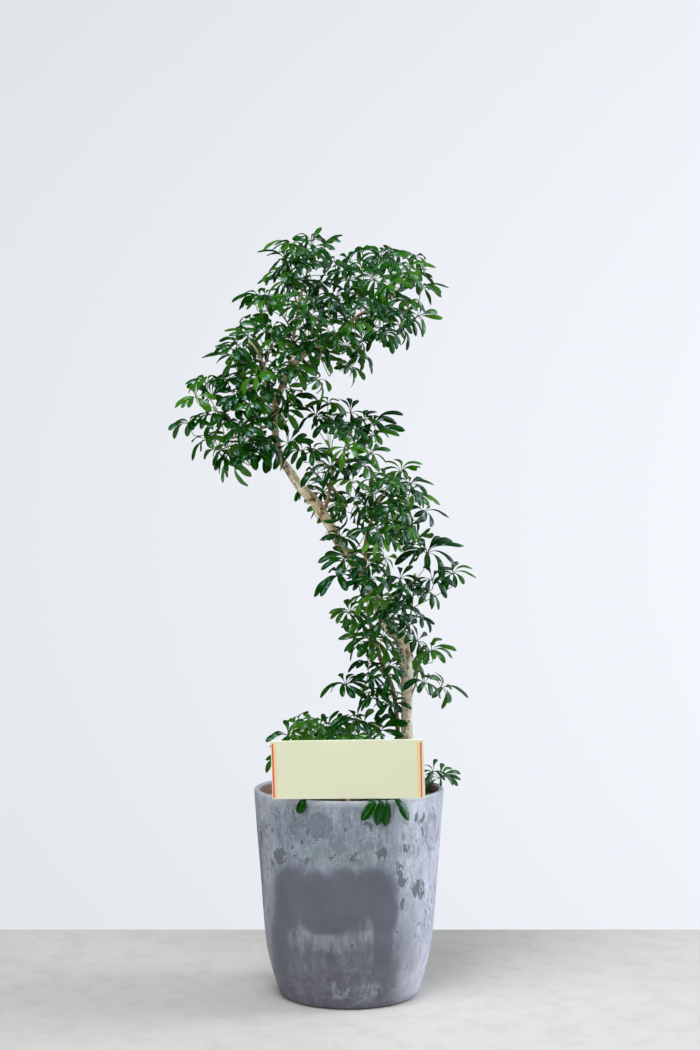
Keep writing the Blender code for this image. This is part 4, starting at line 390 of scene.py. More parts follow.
        (330, 333, 11.0, (343, 337), (330, 347), (318, 342)),
        (318, 338, 8.0, (306, 340), (313, 330), (331, 335), (323, 349))]),
    "spray_back_right": ("branch_crown_right", [(372, 307.6, 2.0), (378, 312, 6.0), (382, 313, 9.0)], [
        (384, 296, 9.0, (374, 287), (390, 284), (399, 295), (381, 309)),
        (394, 314, 9.5, (407, 309), (406, 322), (390, 327)),
        (368, 322, 10.5, (355, 321), (362, 334), (377, 332), (364, 309)),
        (360, 296, 9.0, (348, 291), (363, 283), (372, 300), (352, 306))]),
    "spray_back_left": ("trunk_and_branches", [(278, 394, 0), (270, 388, 4.6), (265, 384, 7.0)], [
        (262, 366, 8.5, (249, 361), (262, 352), (274, 364), (262, 381)),
        (249, 386, 8.0, (236, 381), (238, 394), (251, 400), (256, 374)),
        (272, 350, 6.5, (262, 341), (278, 338), (285, 352), (268, 364)),
        (268, 402, 7.5, (255, 406), (267, 418), (280, 407), (272, 389)),
        (258, 404, 10.0, (246, 405), (253, 395), (270, 400), (263, 414))]),
    "spray_back_low": ("trunk_and_branches", [(276.6, 442, 0.3), (262, 440, 4.0), (252, 438, 6.4)], [
        (241, 424, 7.0, (228, 420), (244, 410), (254, 422), (236, 437)),
        (256, 420, 9.0, (250, 406), (268, 414), (268, 427)),
        (246, 446, 7.5, (234, 450), (245, 461), (258, 453), (248, 433))]),
    "spray_back_middle": ("branch_right", [(374.6, 512.4, -2.4), (379, 509, 2.6), (381, 507, 5.0)], [
        (375, 494, 6.5, (363, 490), (378, 481), (387, 495), (371, 508)),
        (393, 496, 6.0, (387, 484), (406, 491), (403, 503), (389, 509)),
        (385, 518, 7.5, (372, 520), (384, 532), (398, 524), (390, 506)),
        (367, 516, 5.5, (354, 512), (358, 526), (373, 530))]),
}
# Leaves that hang over the rim under the card. name: stem's foot and hub (x, depth),
# the leaflets outside the rim as (x where it crosses the rim, tip x, tip y), and
# those that stay inside as (tip x, tip depth).
RIM_LEAVES = {
    "spray_rim_middle": ((380, -14.2), (384, -16.6), [(372, 361, 819), (380, 377, 824.6), (386, 385.5, 826), (397, 409, 821)],
                         [(359, -14.6), (371, -12.6), (393, -12.2), (405, -12.4)]),
    "spray_rim_left": ((306, -12.2), (306, -15.2), [(304, 299, 813.5)],
                       [(291, -11.4), (302, -10.4), (317, -11.2), (322, -14.0)]),
}
RIM_HUB_Z = 0.4075          # the hub's height, just under the card's edge
RIM_TOP_Z = 0.4068          # over the rim
LEAFLET_WIDE = 0.0135
LEAFLET_THICK = 0.0010
FINE_STEM = 1.7             # a spray's stem at its foot, radius in millimetres


# ------------------------------------------------------------- leaf geometry
def on_path(points, x, y):
    """The point of a carrier's line that is nearest on the sheet, as x, y, depth."""
    best = None
    for a, b in zip(points, points[1:]):
        ab = np.array((b[0] - a[0], b[1] - a[1]))
        t = float(np.clip(np.dot(np.array((x - a[0], y - a[1])), ab) / np.dot(ab, ab), 0, 1))
        at = [a[i] + (b[i] - a[i]) * t for i in range(3)]
        away = math.hypot(at[0] - x, at[1] - y)
        if best is None or away < best[0]:
            best = (away, at)
    return best[1]


def spread(count):
    """Directions over the upper half of a sphere, for finding which way a leaf faces."""
    found = []
    for i in range(count):
        z = (i + 0.5) / count
        turn = i * math.pi * (3 - math.sqrt(5))
        r = math.sqrt(1 - z * z)
        found.append(Vector((r * math.cos(turn), r * math.sin(turn), z)))
    return found


FACES = spread(90)


def leaf_tips(leaf, depth_cm, crown_x, start):
    """Hub, facing and tip points of a leaf whose hub is at this depth.

    A leaflet that the sheet shows keeps its place there, and its length gives
    how far it comes forward or goes back. The others fill the gaps in the fan.
    """
    x, y, _, *shown = leaf
    hub = place(x, y, depth_cm)
    f = 1.0 + depth_cm * 0.01 / EYE_DISTANCE
    flat = [Vector(((tx - x) * UNIT * f, 0.0, (y - ty) * UNIT * f)) for tx, ty in shown]
    length = min(max([LEAFLET_LENGTH * 0.86] + [v.length * 1.04 for v in flat]), 0.074)
    tips = []
    for i, v in enumerate(flat):
        reach = length * (0.97 if i % 2 else 0.90)
        side = math.sqrt(max(reach * reach - v.length_squared, 0.0)) * 0.86
        tips.append(v + Vector((0.0, side if v.z > 0.004 else -side, 0.0)))
    lean = Vector(((x - crown_x) * 0.006, -0.30, 0.90)).normalized()
    ahead = (hub - start).normalized()
    best = None
    for n in FACES:
        cost = sum((t.normalized().dot(n) + 0.28) ** 2 for t in tips) / max(len(tips), 1)
        cost += 0.35 * (1.0 - n.dot(lean)) + 2.0 * max(0.0, 0.50 - ahead.dot(n)) ** 2
        if best is None or cost < best[0]:
            best = (cost, n)
    n = best[1]
    e1 = n.orthogonal().normalized()
    e2 = n.cross(e1)
    turns = []
    for t in tips:
        turns.append((math.atan2(t.dot(e2), t.dot(e1)) % math.tau, t))
    turns.sort(key=lambda a: a[0])
    kept = []
    for turn, t in turns:
        if kept and turn - kept[-1][0] < 0.42:
            continue
        kept.append((turn, t))
    if len(kept) > 1 and kept[0][0] + math.tau - kept[-1][0] < 0.42:
        kept.pop()
    wanted = 7
    out = []
    for i, (turn, t) in enumerate(kept):
        after = kept[(i + 1) % len(kept)][0] + (math.tau if i == len(kept) - 1 else 0.0)
        gap = after - turn
        out.append((turn, t))
        more = int(round(gap / (math.tau / wanted))) - 1
        for k in range(1, more + 1):
            a = turn + gap * k / (more + 1)
            droop = 0.34 + 0.12 * math.sin(a * 2 + x)
            d = e1 * math.cos(a) + e2 * math.sin(a) - n * droop
            d.z -= 0.16
            out.append((a % math.tau, d.normalized() * length * (0.86 + 0.08 * math.sin(a * 3 + y))))
    out.sort(key=lambda a: a[0])
    for _, t in out:
        at = hub + t
        away = math.hypot(at.x, at.y)
        floor = POT_HEIGHT + 0.007 if away > 0.155 else SOIL_TOP + 0.016
        if away < 0.21 and at.z < floor:
            t.z += floor - at.z
    return hub, n, e1, e2, out, length


def ring_of(hub, n, tips, length, grow=1.0):
    """The rim of a leaf solid: tip, notch, tip, notch, round the hub."""
    ring = []
    for i, (turn, t) in enumerate(tips):
        ring.append(hub + t * grow)
        u = tips[(i + 1) % len(tips)][1]
        between = t.normalized() + u.normalized()
        if between.length < 0.2:
            between = between + n * 0.2
        ring.append(hub + between.normalized() * length * NOTCH * grow)
    return ring


def petiole_line(start, hub, n, neck):
    """Out of the stem, up under the leaf, and square into its hub."""
    ahead = (hub - start).normalized()
    if ahead.dot(n) > 0.86:
        return [start, hub - n * LEAF_CORE * 2]
    return [start, hub - n * min(neck, (hub - start).length * 0.7), hub - n * LEAF_CORE * 2]


# ------------------------------------------- leaves that would cross are parted
class Leaf:
    """A leaf, with the depth at which it clears its neighbours."""

    def __init__(self, spray, row, start, crown_x):
        self.spray, self.row, self.start, self.crown_x = spray, row, start, crown_x
        self.depth = row[2]
        self.update()

    def update(self):
        self.hub, self.n, self.e1, self.e2, self.tips, self.length = leaf_tips(
            self.row, self.depth, self.crown_x, self.start)
        ring = ring_of(self.hub, self.n, self.tips, self.length, 1.03)
        points = ring + [self.hub + self.n * LEAF_CORE * 1.7, self.hub - self.n * LEAF_CORE * 1.7]
        m = len(ring)
        faces = []
        for i in range(m):
            j = (i + 1) % m
            faces.append((i, j, m))
            faces.append((j, i, m + 1))
        self.blade = BVHTree.FromPolygons(points, faces)
        best = None
        for share in NECKS:
            line = petiole_line(self.start, self.hub, self.n, share * self.length)
            free = line[:-1] + [line[-1].lerp(line[-2], min(0.005 / (line[-1] - line[-2]).length, 0.5))]
            bar_points, bar_faces = [], []
            tube_into(bar_points, bar_faces, free, PETIOLE_RADIUS)
            crossed = len(self.blade.overlap(BVHTree.FromPolygons(bar_points, bar_faces)))
            if best is None or crossed < best[0]:
                best = (crossed, line)
            if not crossed:
                break
        self.crossed, self.line = best
        tube_into(points, faces, self.line, PETIOLE_RADIUS + 0.0007)
        self.low = Vector([min(p[k] for p in points) for k in range(3)])
        self.high = Vector([max(p[k] for p in points) for k in range(3)])
        self.tree = BVHTree.FromPolygons(points, faces)


def tube_into(points, faces, line, radius):
    """Add a three-sided tube to a list of points and faces."""
    base = len(points)
    for k, p in enumerate(line):
        along = (line[min(k + 1, len(line) - 1)] - line[max(k - 1, 0)]).normalized()
        a = along.orthogonal().normalized()
        b = along.cross(a)
        for s in range(3):
            t = math.tau * s / 3
            points.append(p + (a * math.cos(t) + b * math.sin(t)) * radius * 1.25)
    for k in range(len(line) - 1):
        for s in range(3):
            i, j = base + k * 3 + s, base + k * 3 + (s + 1) % 3
            faces.append((i, j, j + 3))
            faces.append((i, j + 3, i + 3))


def boxes_meet(a, b):
    return all(a.low[k] <= b.high[k] and b.low[k] <= a.high[k] for k in range(3))


class Fixed:
    """Something that leaves keep clear of."""

    def __init__(self, name, line, radii, margin=0.0010):
        points, faces = [], []
        base = 0
        sides = 8
        for k, p in enumerate(line):
            along = (line[min(k + 1, len(line) - 1)] - line[max(k - 1, 0)]).normalized()
            a = along.orthogonal().normalized()
            b = along.cross(a)
            for s in range(sides):
                t = math.tau * s / sides
                points.append(p + (a * math.cos(t) + b * math.sin(t)) * (radii[k] + margin) * 1.08)
        for k in range(len(line) - 1):
            for s in range(sides):
                i, j = base + k * sides + s, base + k * sides + (s + 1) % sides
                faces.append((i, j, j + sides))
                faces.append((i, j + sides, i + sides))
        self.name = name
        self.middle = sum((p.y for p in line)) / len(line)
        self.line = line
        self.low = Vector([min(p[k] for p in points) for k in range(3)])
        self.high = Vector([max(p[k] for p in points) for k in range(3)])
        self.tree = BVHTree.FromPolygons(points, faces)


def wood_line(points):
    return [place(*p[:3]) for p in points], [p[3] * 0.001 for p in points]


def carrier_points(name):
    if name in WOOD:
        return WOOD[name]
    return BRANCHES[name][1]


def stem_line(name):
    """A spray's stem: its first point is moved on to what carries it."""
    carrier, points, _ = SPRAYS[name]
    points = [tuple(p) for p in points]
    if carrier != "soil":
        points[0] = tuple(on_path(carrier_points(carrier), *points[0][:2]))
    line = [place(*p) for p in points]
    radii = [(FINE_STEM - 0.35 * k / (len(line) - 1)) * 0.001 for k in range(len(line))]
    return line, radii


def along(line, share):
    """A point part of the way along a line."""
    spans = [(b - a).length for a, b in zip(line, line[1:])]
    want = share * sum(spans)
    for (a, b), s in zip(zip(line, line[1:]), spans):
        if want <= s:
            return a.lerp(b, want / s)
        want -= s
    return line[-1].copy()


def settle():
    """All leaves, each at a depth where it crosses no other spray and no wood."""
    fixed = []
    for name, points in WOOD.items():
        fixed.append(Fixed(name, *wood_line(points)))
    for name, (_, points) in BRANCHES.items():
        fixed.append(Fixed(name, *wood_line(points)))
    leaves = []
    stems = {}
    for name, (_, _, rows) in SPRAYS.items():
        line, radii = stem_line(name)
        stems[name] = Fixed(name, line, radii, 0.0008)
        crown_x = SHEET_AXIS_X
        for k, row in enumerate(rows):
            share = 0.975 - 0.11 * ((k * 2) % 5)
            leaves.append(Leaf(name, row, along(line, share), crown_x))
    others = list(stems.values())
    rim = POT_RIM_RADIUS + 0.001
    for step in range(90):
        push = {}
        for i, a in enumerate(leaves):
            for j in range(i + 1, len(leaves)):
                b = leaves[j]
                if not boxes_meet(a, b) or (a.spray == b.spray and step > 60):
                    continue
                if (a.blade if a.spray == b.spray else a.tree).overlap(b.blade if a.spray == b.spray else b.tree):
                    side = 1.0 if (a.depth, i) > (b.depth, j) else -1.0
                    push[i] = push.get(i, 0.0) + side
                    push[j] = push.get(j, 0.0) - side
            for f in fixed + others:
                if f.name == a.spray or not boxes_meet(a, f):
                    continue
                if a.tree.overlap(f.tree):
                    at = min(f.line, key=lambda p: (p - a.hub).length)
                    push[i] = push.get(i, 0.0) + (1.0 if a.hub.y > at.y else -1.0) * 1.5
            ring = ring_of(a.hub, a.n, a.tips, a.length)
            for p in ring + [a.hub]:
                if abs(p.x) < 0.150 and 0.402 < p.z < 0.524 and p.y < CARD_FOOT + 0.016:
                    push[i] = push.get(i, 0.0) + 1.0
                    break
        if not push:
            break
        for i, force in push.items():
            if abs(force) < 0.1:
                force = 0.6 if i % 2 else -0.6
            move = max(-0.9, min(0.9, 0.45 * force))
            leaves[i].depth += move * (1.0 if step < 50 else 1.6)
            leaves[i].depth = max(leaves[i].row[2] - 7.0, min(leaves[i].row[2] + 7.0, leaves[i].depth))
            leaves[i].update()
    # a leaf that still crosses something is left off the stem
    bad = set()
    for i, a in enumerate(leaves):
        if i in bad:
            continue
        if any(f.name != a.spray and boxes_meet(a, f) and a.tree.overlap(f.tree) for f in fixed + others):
            bad.add(i)
            continue
        for j in range(i + 1, len(leaves)):
            b = leaves[j]
            if j not in bad and a.spray != b.spray and boxes_meet(a, b) and a.tree.overlap(b.tree):
                bad.add(j)
    kept = [a for i, a in enumerate(leaves) if i not in bad]
    return kept, stems


# ------------------------------------------------------------------- finishes
class Finish:
    """A material, with short ways to add nodes to it."""

    def __init__(self, name, **sockets):
        self.m = bpy.data.materials.new(name)
        self.m.use_nodes = True
        self.tree = self.m.node_tree
        self.p = next(n for n in self.tree.nodes if n.type == "BSDF_PRINCIPLED")
        self.out = next(n for n in self.tree.nodes if n.type == "OUTPUT_MATERIAL")
        for key, value in sockets.items():
            self.p.inputs[key.replace("_", " ")].default_value = value
        self._here = None

    def node(self, kind, inputs=(), **settings):
        n = self.tree.nodes.new("ShaderNode" + kind)
        for key, value in settings.items():
            setattr(n, key, value)
        for socket, value in inputs:
            self.feed(n.inputs[socket], value)
        return n

    def feed(self, socket, value):
        if isinstance(value, bpy.types.NodeSocket):
            self.tree.links.new(value, socket)
        elif value is not None:
            socket.default_value = value

    def here(self, scale=None):
        """Object coordinates, in metres, stretched by a scale for each axis."""
        if self._here is None:
            self._here = self.node("TexCoord").outputs["Object"]
        if scale is None:
            return self._here
        return self.node("VectorMath", [(0, self._here), (1, scale)], operation="MULTIPLY").outputs[0]

    def noise(self, scale, detail=4.0, rough=0.55, at=None, warp=0.0):
        return self.node("TexNoise", [("Vector", at or self.here()), ("Scale", scale), ("Detail", detail),
                                      ("Roughness", rough), ("Distortion", warp)]).outputs[0]

    def cells(self, scale, at=None, feature="F1"):
        return self.node("TexVoronoi", [("Vector", at or self.here()), ("Scale", scale)],
                         feature=feature).outputs["Distance"]

    def maths(self, operation, a, b=0.0, c=0.0, clamp=False):
        return self.node("Math", [(0, a), (1, b), (2, c)], operation=operation, use_clamp=clamp).outputs[0]

    def step(self, value, low, high, to_low=0.0, to_high=1.0):
        """0 at low, 1 at high, and smooth between them."""
        return self.node("MapRange", [("Value", value), ("From Min", low), ("From Max", high),
                                      ("To Min", to_low), ("To Max", to_high)],
                         interpolation_type="SMOOTHSTEP").outputs[0]

    def ramp(self, fac, stops):
        n = self.node("ValToRGB", [(0, fac)])
        e = n.color_ramp.elements
        while len(e) < len(stops):
            e.new(0.5)
        for slot, (at, colour) in zip(e, stops):
            slot.position = at
            slot.color = (*colour, 1.0)
        return n.outputs[0]

    def mix(self, fac, a, b, mode="MIX"):
        n = self.node("Mix", data_type="RGBA", blend_type=mode)
        for index, value in ((0, fac), (6, a), (7, b)):
            if isinstance(value, tuple) and len(value) == 3:
                value = (*value, 1.0)
            self.feed(n.inputs[index], value)
        return n.outputs[2]

    def bump(self, height, strength, distance, under=None):
        inputs = [("Height", height), ("Strength", strength), ("Distance", distance)]
        if under is not None:
            inputs.append(("Normal", under))
        return self.node("Bump", inputs).outputs[0]

    def colour(self, socket):
        self.feed(self.p.inputs["Base Color"], socket)

    def rough(self, socket):
        self.feed(self.p.inputs["Roughness"], socket)

    def normal(self, socket):
        self.feed(self.p.inputs["Normal"], socket)

    def glow_through(self, colour, share):
        """Light from behind comes through, as it does through a leaf."""
        t = self.node("BsdfTranslucent", [("Color", colour if isinstance(colour, bpy.types.NodeSocket)
                                           else (*colour, 1.0))])
        m = self.node("MixShader", [(0, share), (1, self.p.outputs[0]), (2, t.outputs[0])])
        self.tree.links.new(m.outputs[0], self.out.inputs["Surface"])


def stone_finish():
    """Cast stone: a smooth violet grey ground under a paler blue grey veil that has
    run down it, chipped into small dark flecks, and a wide bare patch low in front."""
    f = Finish("planter_stone", Specular_IOR_Level=0.45)
    split = f.node("SeparateXYZ", [(0, f.here())])
    x, y, z = split.outputs
    front = f.step(y, 0.03, -0.05)
    cloud = f.noise(9.0, 4.0, 0.55)
    streak = f.noise(60.0, 7.0, 0.66, f.here((1.0, 1.0, 0.26)), 0.5)
    thread = f.noise(230.0, 4.0, 0.62, f.here((1.0, 1.0, 0.16)), 0.3)
    speck = f.noise(330.0, 3.0, 0.6)
    wobble = f.maths("SUBTRACT", f.noise(24.0, 3.0, 0.5, f.here((1.0, 1.0, 0.6))), 0.5)
    ragged_edge = f.maths("SUBTRACT", f.noise(75.0, 5.0, 0.65, f.here((1.0, 1.0, 0.35))), 0.5)

    def blob(px, py, half_x, half_y, power=2.6, ragged=0.9, low=0.72, high=1.22, fine=0.0):
        at, k = on_pot(px, py)
        dx = f.maths("ABSOLUTE", f.maths("DIVIDE", f.maths("SUBTRACT", x, at[0]), half_x * k))
        dz = f.maths("ABSOLUTE", f.maths("DIVIDE", f.maths("SUBTRACT", z, at[1]), half_y * k))
        away = f.maths("ADD", f.maths("POWER", dx, power), f.maths("POWER", dz, power))
        away = f.maths("MULTIPLY_ADD", wobble, ragged, away)
        if fine:
            away = f.maths("MULTIPLY_ADD", ragged_edge, fine, away)
        return f.step(away, high, low)

    def either(*shares):
        whole = shares[0]
        for share in shares[1:]:
            whole = f.maths("MAXIMUM", whole, share)
        return whole

    # the veil: nearly even, with fine runs, and bluer above than below; the darker tone low down is partly the stone's
    # own and partly painted shade, as less light reaches it from above
    veil = f.maths("MULTIPLY_ADD", f.maths("SUBTRACT", cloud, 0.5), 0.55, 0.5)
    mottle = f.noise(42.0, 5.0, 0.60, f.here((1.0, 1.0, 0.62)), 0.6)
    veil = f.maths("MULTIPLY_ADD", f.maths("SUBTRACT", mottle, 0.5), 0.42, veil)
    veil = f.maths("MULTIPLY_ADD", f.maths("SUBTRACT", streak, 0.5), 0.46, veil)
    veil = f.maths("MULTIPLY_ADD", f.maths("SUBTRACT", thread, 0.5), 0.34, veil)
    veil = f.maths("MULTIPLY_ADD", f.maths("SUBTRACT", speck, 0.5), 0.30, veil)
    above = f.ramp(veil, [(0.32, (0.142, 0.166, 0.205)), (0.44, (0.205, 0.244, 0.292)),
                          (0.55, (0.278, 0.326, 0.380)), (0.68, (0.440, 0.485, 0.550))])
    below = f.ramp(veil, [(0.34, (0.084, 0.084, 0.111)), (0.48, (0.111, 0.113, 0.146)),
                          (0.60, (0.146, 0.149, 0.186)), (0.74, (0.240, 0.248, 0.296))])
    drop = f.maths("MULTIPLY_ADD", ragged_edge, 0.09, z)
    # partly painted shade: below about 16 cm the whole wall turns darker
    tone = f.mix(f.step(drop, 0.205, 0.115), above, below)
    # painted light: the right side of the planter is washed much paler, standing in for the window light that falls on
    # it
    side = f.step(f.maths("MULTIPLY_ADD", wobble, 0.05, x), 0.070, 0.150)
    tone = f.mix(f.maths("MULTIPLY", side, 0.86), tone, f.ramp(veil, [(0.36, (0.440, 0.460, 0.575)),
                                                                       (0.62, (0.730, 0.755, 0.900))]))
    # painted reflection: the left edge is made paler, standing in for the bright room that it mirrors
    left_edge_painted_sheen = f.step(f.maths("MULTIPLY_ADD", wobble, 0.03, x), -0.132, -0.172)
    tone = f.mix(f.maths("MULTIPLY", left_edge_painted_sheen, 0.62), tone, f.ramp(veil, [(0.36, (0.300, 0.310, 0.370)),
                                                                      (0.62, (0.500, 0.515, 0.585))]))
    # chips in the veil: ragged, a little taller than wide, and crowded in places
    chip = f.noise(72.0, 6.0, 0.66, f.here((1.0, 1.0, 0.52)), 0.5)
    crowd = f.noise(12.0, 2.0, 0.5, f.here((1.0, 1.0, 0.8)))
    chip = f.maths("MULTIPLY_ADD", f.maths("SUBTRACT", crowd, 0.5), 0.34, chip)
    worn = either(blob(269, 829, 5, 6, 2.0), blob(302, 829, 3, 6, 2.0), blob(305, 833, 4, 6, 2.0),
                  blob(280, 856, 7, 9, 2.0), blob(308, 860, 5, 8, 2.0), blob(317, 843, 4, 4, 2.0),
                  blob(334, 857, 5, 5, 2.0), blob(354, 857, 9, 5, 2.0), blob(368, 827, 6, 6, 2.0),
                  blob(353, 819, 4, 3, 2.0), blob(384, 855, 7, 8, 2.0), blob(401, 876, 5, 12, 2.0),
                  blob(392, 823, 6, 4, 2.0), blob(407, 848, 4, 6, 2.0), blob(419, 890, 6, 13, 2.0),
                  blob(403, 905, 3, 7, 2.0), blob(346, 830, 2.5, 2.5, 2.0), blob(420, 817, 6, 7, 2.0),
                  blob(303, 951, 6, 9, 2.0), blob(365, 926, 5, 6, 2.0), blob(398, 930, 2, 5, 2.0))
    worn = f.maths("MULTIPLY", worn, front)
    chip = f.maths("MULTIPLY_ADD", worn, 0.150, chip)
    # the top of the lip, for a painted highlight
    lip = f.step(z, 0.392, 0.401)
    held = f.maths("MULTIPLY", f.maths("SUBTRACT", 1.0, f.step(z, 0.382, 0.392)), f.step(z, 0.085, 0.150))
    chips = f.maths("MULTIPLY", f.step(chip, 0.622, 0.640), held)
    fringe = f.maths("MULTIPLY", f.maths("SUBTRACT", f.step(chip, 0.585, 0.615), f.step(chip, 0.622, 0.640)), held)
    # thin places, where the veil has flaked but not worn through, with a bright torn edge
    flake = f.noise(34.0, 5.0, 0.62, f.here((1.0, 1.0, 0.60)), 0.8)
    flaked = f.maths("MULTIPLY", f.step(flake, 0.545, 0.557), f.maths("MULTIPLY", held, f.step(z, 0.24, 0.29)))
    torn = f.maths("MULTIPLY", f.maths("SUBTRACT", f.step(flake, 0.520, 0.545), f.step(flake, 0.545, 0.557)),
                   f.maths("MULTIPLY", held, f.step(z, 0.24, 0.29)))
    fleck = f.noise(150.0, 4.0, 0.60, f.here((1.0, 1.0, 0.50)), 0.4)
    flecks = f.maths("MULTIPLY", f.step(f.maths("MULTIPLY_ADD", f.maths("SUBTRACT", crowd, 0.5), 0.40, fleck), 0.625, 0.650), held)
    # the bare, smooth patch where the veil never formed, lobed above, feathered all round
    bare = either(blob(334, 904, 61, 32, 2.2, 0.50, 0.48, 1.32, 0.20), blob(292, 893, 20, 29, 2.2, 0.40, 0.42, 1.34, 0.20), blob(288, 912, 16, 22, 2.2, 0.40, 0.42, 1.34, 0.20),
                  blob(316, 889, 15, 20, 2.2, 0.40, 0.42, 1.34, 0.20),
                  blob(343, 888, 19, 22, 2.2, 0.40, 0.42, 1.34, 0.20), blob(371, 896, 28, 31, 2.1, 0.40, 0.46, 1.34, 0.20), blob(384, 912, 15.5, 29, 2.2, 0.40, 0.44, 1.36, 0.20),
                  f.maths("MULTIPLY", blob(281, 945, 9.5, 50, 2.4, 0.5, 0.34, 1.42, 0.3), 0.92),
                  f.maths("MULTIPLY", blob(383, 940, 11, 35, 2.4, 0.5, 0.34, 1.42, 0.3), 0.84),
                  blob(326, 920, 33, 17, 2.2, 0.4, 0.50, 1.25, 0.3))
    upper = f.maths("MULTIPLY", blob(319, 826, 13, 13, 2.2, 1.5, 0.60, 1.25, 1.8), 0.62)
    behind = f.step(f.noise(5.0, 3.0, 0.5, f.here((1.0, 1.0, 0.7)), 0.4), 0.52, 0.64, 0.0, 0.85)
    behind = f.maths("MULTIPLY", f.maths("MULTIPLY", behind, f.maths("SUBTRACT", 1.0, front)), f.step(z, 0.36, 0.30))
    bare = f.maths("MAXIMUM", f.maths("MULTIPLY", either(bare, upper), front), behind)
    smooth = f.ramp(f.noise(14.0, 3.0, 0.5), [(0.3, (0.085, 0.092, 0.120)), (0.7, (0.109, 0.116, 0.151))])
    # paler, streaked haze under the patch and beside it, and a wash over the foot
    haze = f.maths("MULTIPLY", either(blob(300, 940, 13, 15, 2.0, 1.0, 0.2, 1.4, 1.4), blob(366, 936, 8, 18, 2.0, 1.0, 0.2, 1.4, 1.4),
                                      blob(333, 944, 26, 10, 2.0, 1.0, 0.2, 1.4, 1.4), blob(409, 935, 10, 40, 2.2, 1.0, 0.2, 1.4, 1.4)),
                   front)
    haze = f.maths("MULTIPLY", haze, f.step(streak, 0.36, 0.60))
    halo = f.maths("MULTIPLY", f.maths("SUBTRACT", blob(335, 901, 66, 38, 3.4, 0.5, 0.8, 1.3, 0.8), bare), front)
    green = f.maths("MULTIPLY", blob(348, 856, 52, 15, 2.2, 1.0, 0.2, 1.4, 0.8), front)
    wash = f.noise(30.0, 6.0, 0.70, f.here((0.45, 0.45, 1.7)), 1.3)
    wash = f.maths("MULTIPLY", f.step(wash, 0.50, 0.66), f.step(z, 0.125, 0.045))
    wash = f.maths("MULTIPLY", wash, f.step(x, -0.09, 0.02, 0.35, 1.0))
    tone = f.mix(f.maths("MULTIPLY", green, 0.40), tone, (0.205, 0.262, 0.270))
    tone = f.mix(f.maths("MULTIPLY", torn, 0.34), tone, (0.46, 0.49, 0.55))
    tone = f.mix(f.maths("MULTIPLY", flaked, 0.42), tone, (0.145, 0.160, 0.205))
    tone = f.mix(f.maths("MULTIPLY", fringe, 0.42), tone, (0.46, 0.49, 0.55))
    tone = f.mix(f.maths("MULTIPLY", chips, 0.88), tone, (0.104, 0.113, 0.148))
    tone = f.mix(f.maths("MULTIPLY", flecks, 0.60), tone, (0.120, 0.130, 0.165))
    tone = f.mix(f.maths("MULTIPLY", halo, 0.12, clamp=True), tone, (0.36, 0.38, 0.44))
    tone = f.mix(f.maths("MULTIPLY", bare, 0.95), tone, smooth)
    tone = f.mix(f.maths("MULTIPLY", haze, 0.55), tone, (0.270, 0.290, 0.345))
    tone = f.mix(f.maths("MULTIPLY", wash, 0.40), tone, (0.33, 0.34, 0.385))
    scuff = f.maths("MAXIMUM", blob(341, 990, 14, 11, 2.0, 1.2, 0.2, 1.4, 1.6), blob(368, 990, 15, 9, 2.0, 1.2, 0.2, 1.4, 1.6))
    scuff = f.maths("MULTIPLY", f.maths("MULTIPLY", scuff, front), f.step(f.noise(110.0, 5.0, 0.7, f.here((1.0, 1.0, 0.5))), 0.46, 0.60))
    tone = f.mix(f.maths("MULTIPLY", scuff, 0.55), tone, (0.36, 0.37, 0.39))
    # the wall turns darker along its bottom 18 mm
    tone = f.mix(f.step(z, 0.018, 0.0, 0.0, 0.30), tone, (0.080, 0.080, 0.105))
    # painted highlight: the top of the lip is paler where light from above catches it; partly also edge wear
    tone = f.mix(f.maths("MULTIPLY", lip, 0.50), tone, (0.46, 0.48, 0.53))
    # the inside of the wall, in a band just under the rim, is brown
    reach = f.maths("SQRT", f.maths("ADD", f.maths("MULTIPLY", x, x), f.maths("MULTIPLY", y, y)))
    inside = f.maths("MULTIPLY", f.step(reach, inner_radius(0.39) + 0.0022, inner_radius(0.39) + 0.0004), f.step(z, 0.4030, 0.3985))
    inside = f.maths("MULTIPLY", inside, f.step(z, 0.335, 0.345))
    inner_band_brown = f.ramp(f.maths("ADD", f.maths("MULTIPLY", speck, 0.5), f.maths("MULTIPLY", cloud, 0.5)),
                   [(0.40, (0.130, 0.066, 0.034)), (0.62, (0.420, 0.245, 0.145))])
    tone = f.mix(f.maths("MULTIPLY", inside, 0.88), tone, inner_band_brown)
    f.colour(tone)
    f.rough(f.maths("MULTIPLY_ADD", bare, -0.10, f.maths("MULTIPLY_ADD", veil, 0.10, 0.42)))
    skin = f.maths("MULTIPLY_ADD", chips, -1.0, f.maths("MULTIPLY", veil, 0.6))
    skin = f.maths("MULTIPLY", skin, f.maths("MULTIPLY_ADD", bare, -0.85, 1.0))
    f.normal(f.bump(speck, 0.10, 0.0005, f.bump(skin, 0.40, 0.0009)))
    return f.m


def soil_finish():
    f = Finish("potting_soil", Specular_IOR_Level=0.2, Roughness=0.95)
    clod = f.noise(90.0, 6.0, 0.7)
    fleck = f.noise(420.0, 3.0, 0.6, None, 0.6)
    tone = f.ramp(clod, [(0.30, (0.030, 0.019, 0.012)), (0.50, (0.085, 0.053, 0.032)),
                         (0.68, (0.170, 0.108, 0.064))])
    tone = f.mix(f.maths("MULTIPLY", f.step(fleck, 0.60, 0.68), 0.55), tone, (0.33, 0.23, 0.14))
    f.colour(tone)
    f.normal(f.bump(fleck, 0.5, 0.0008, f.bump(clod, 0.6, 0.0016)))
    return f.m


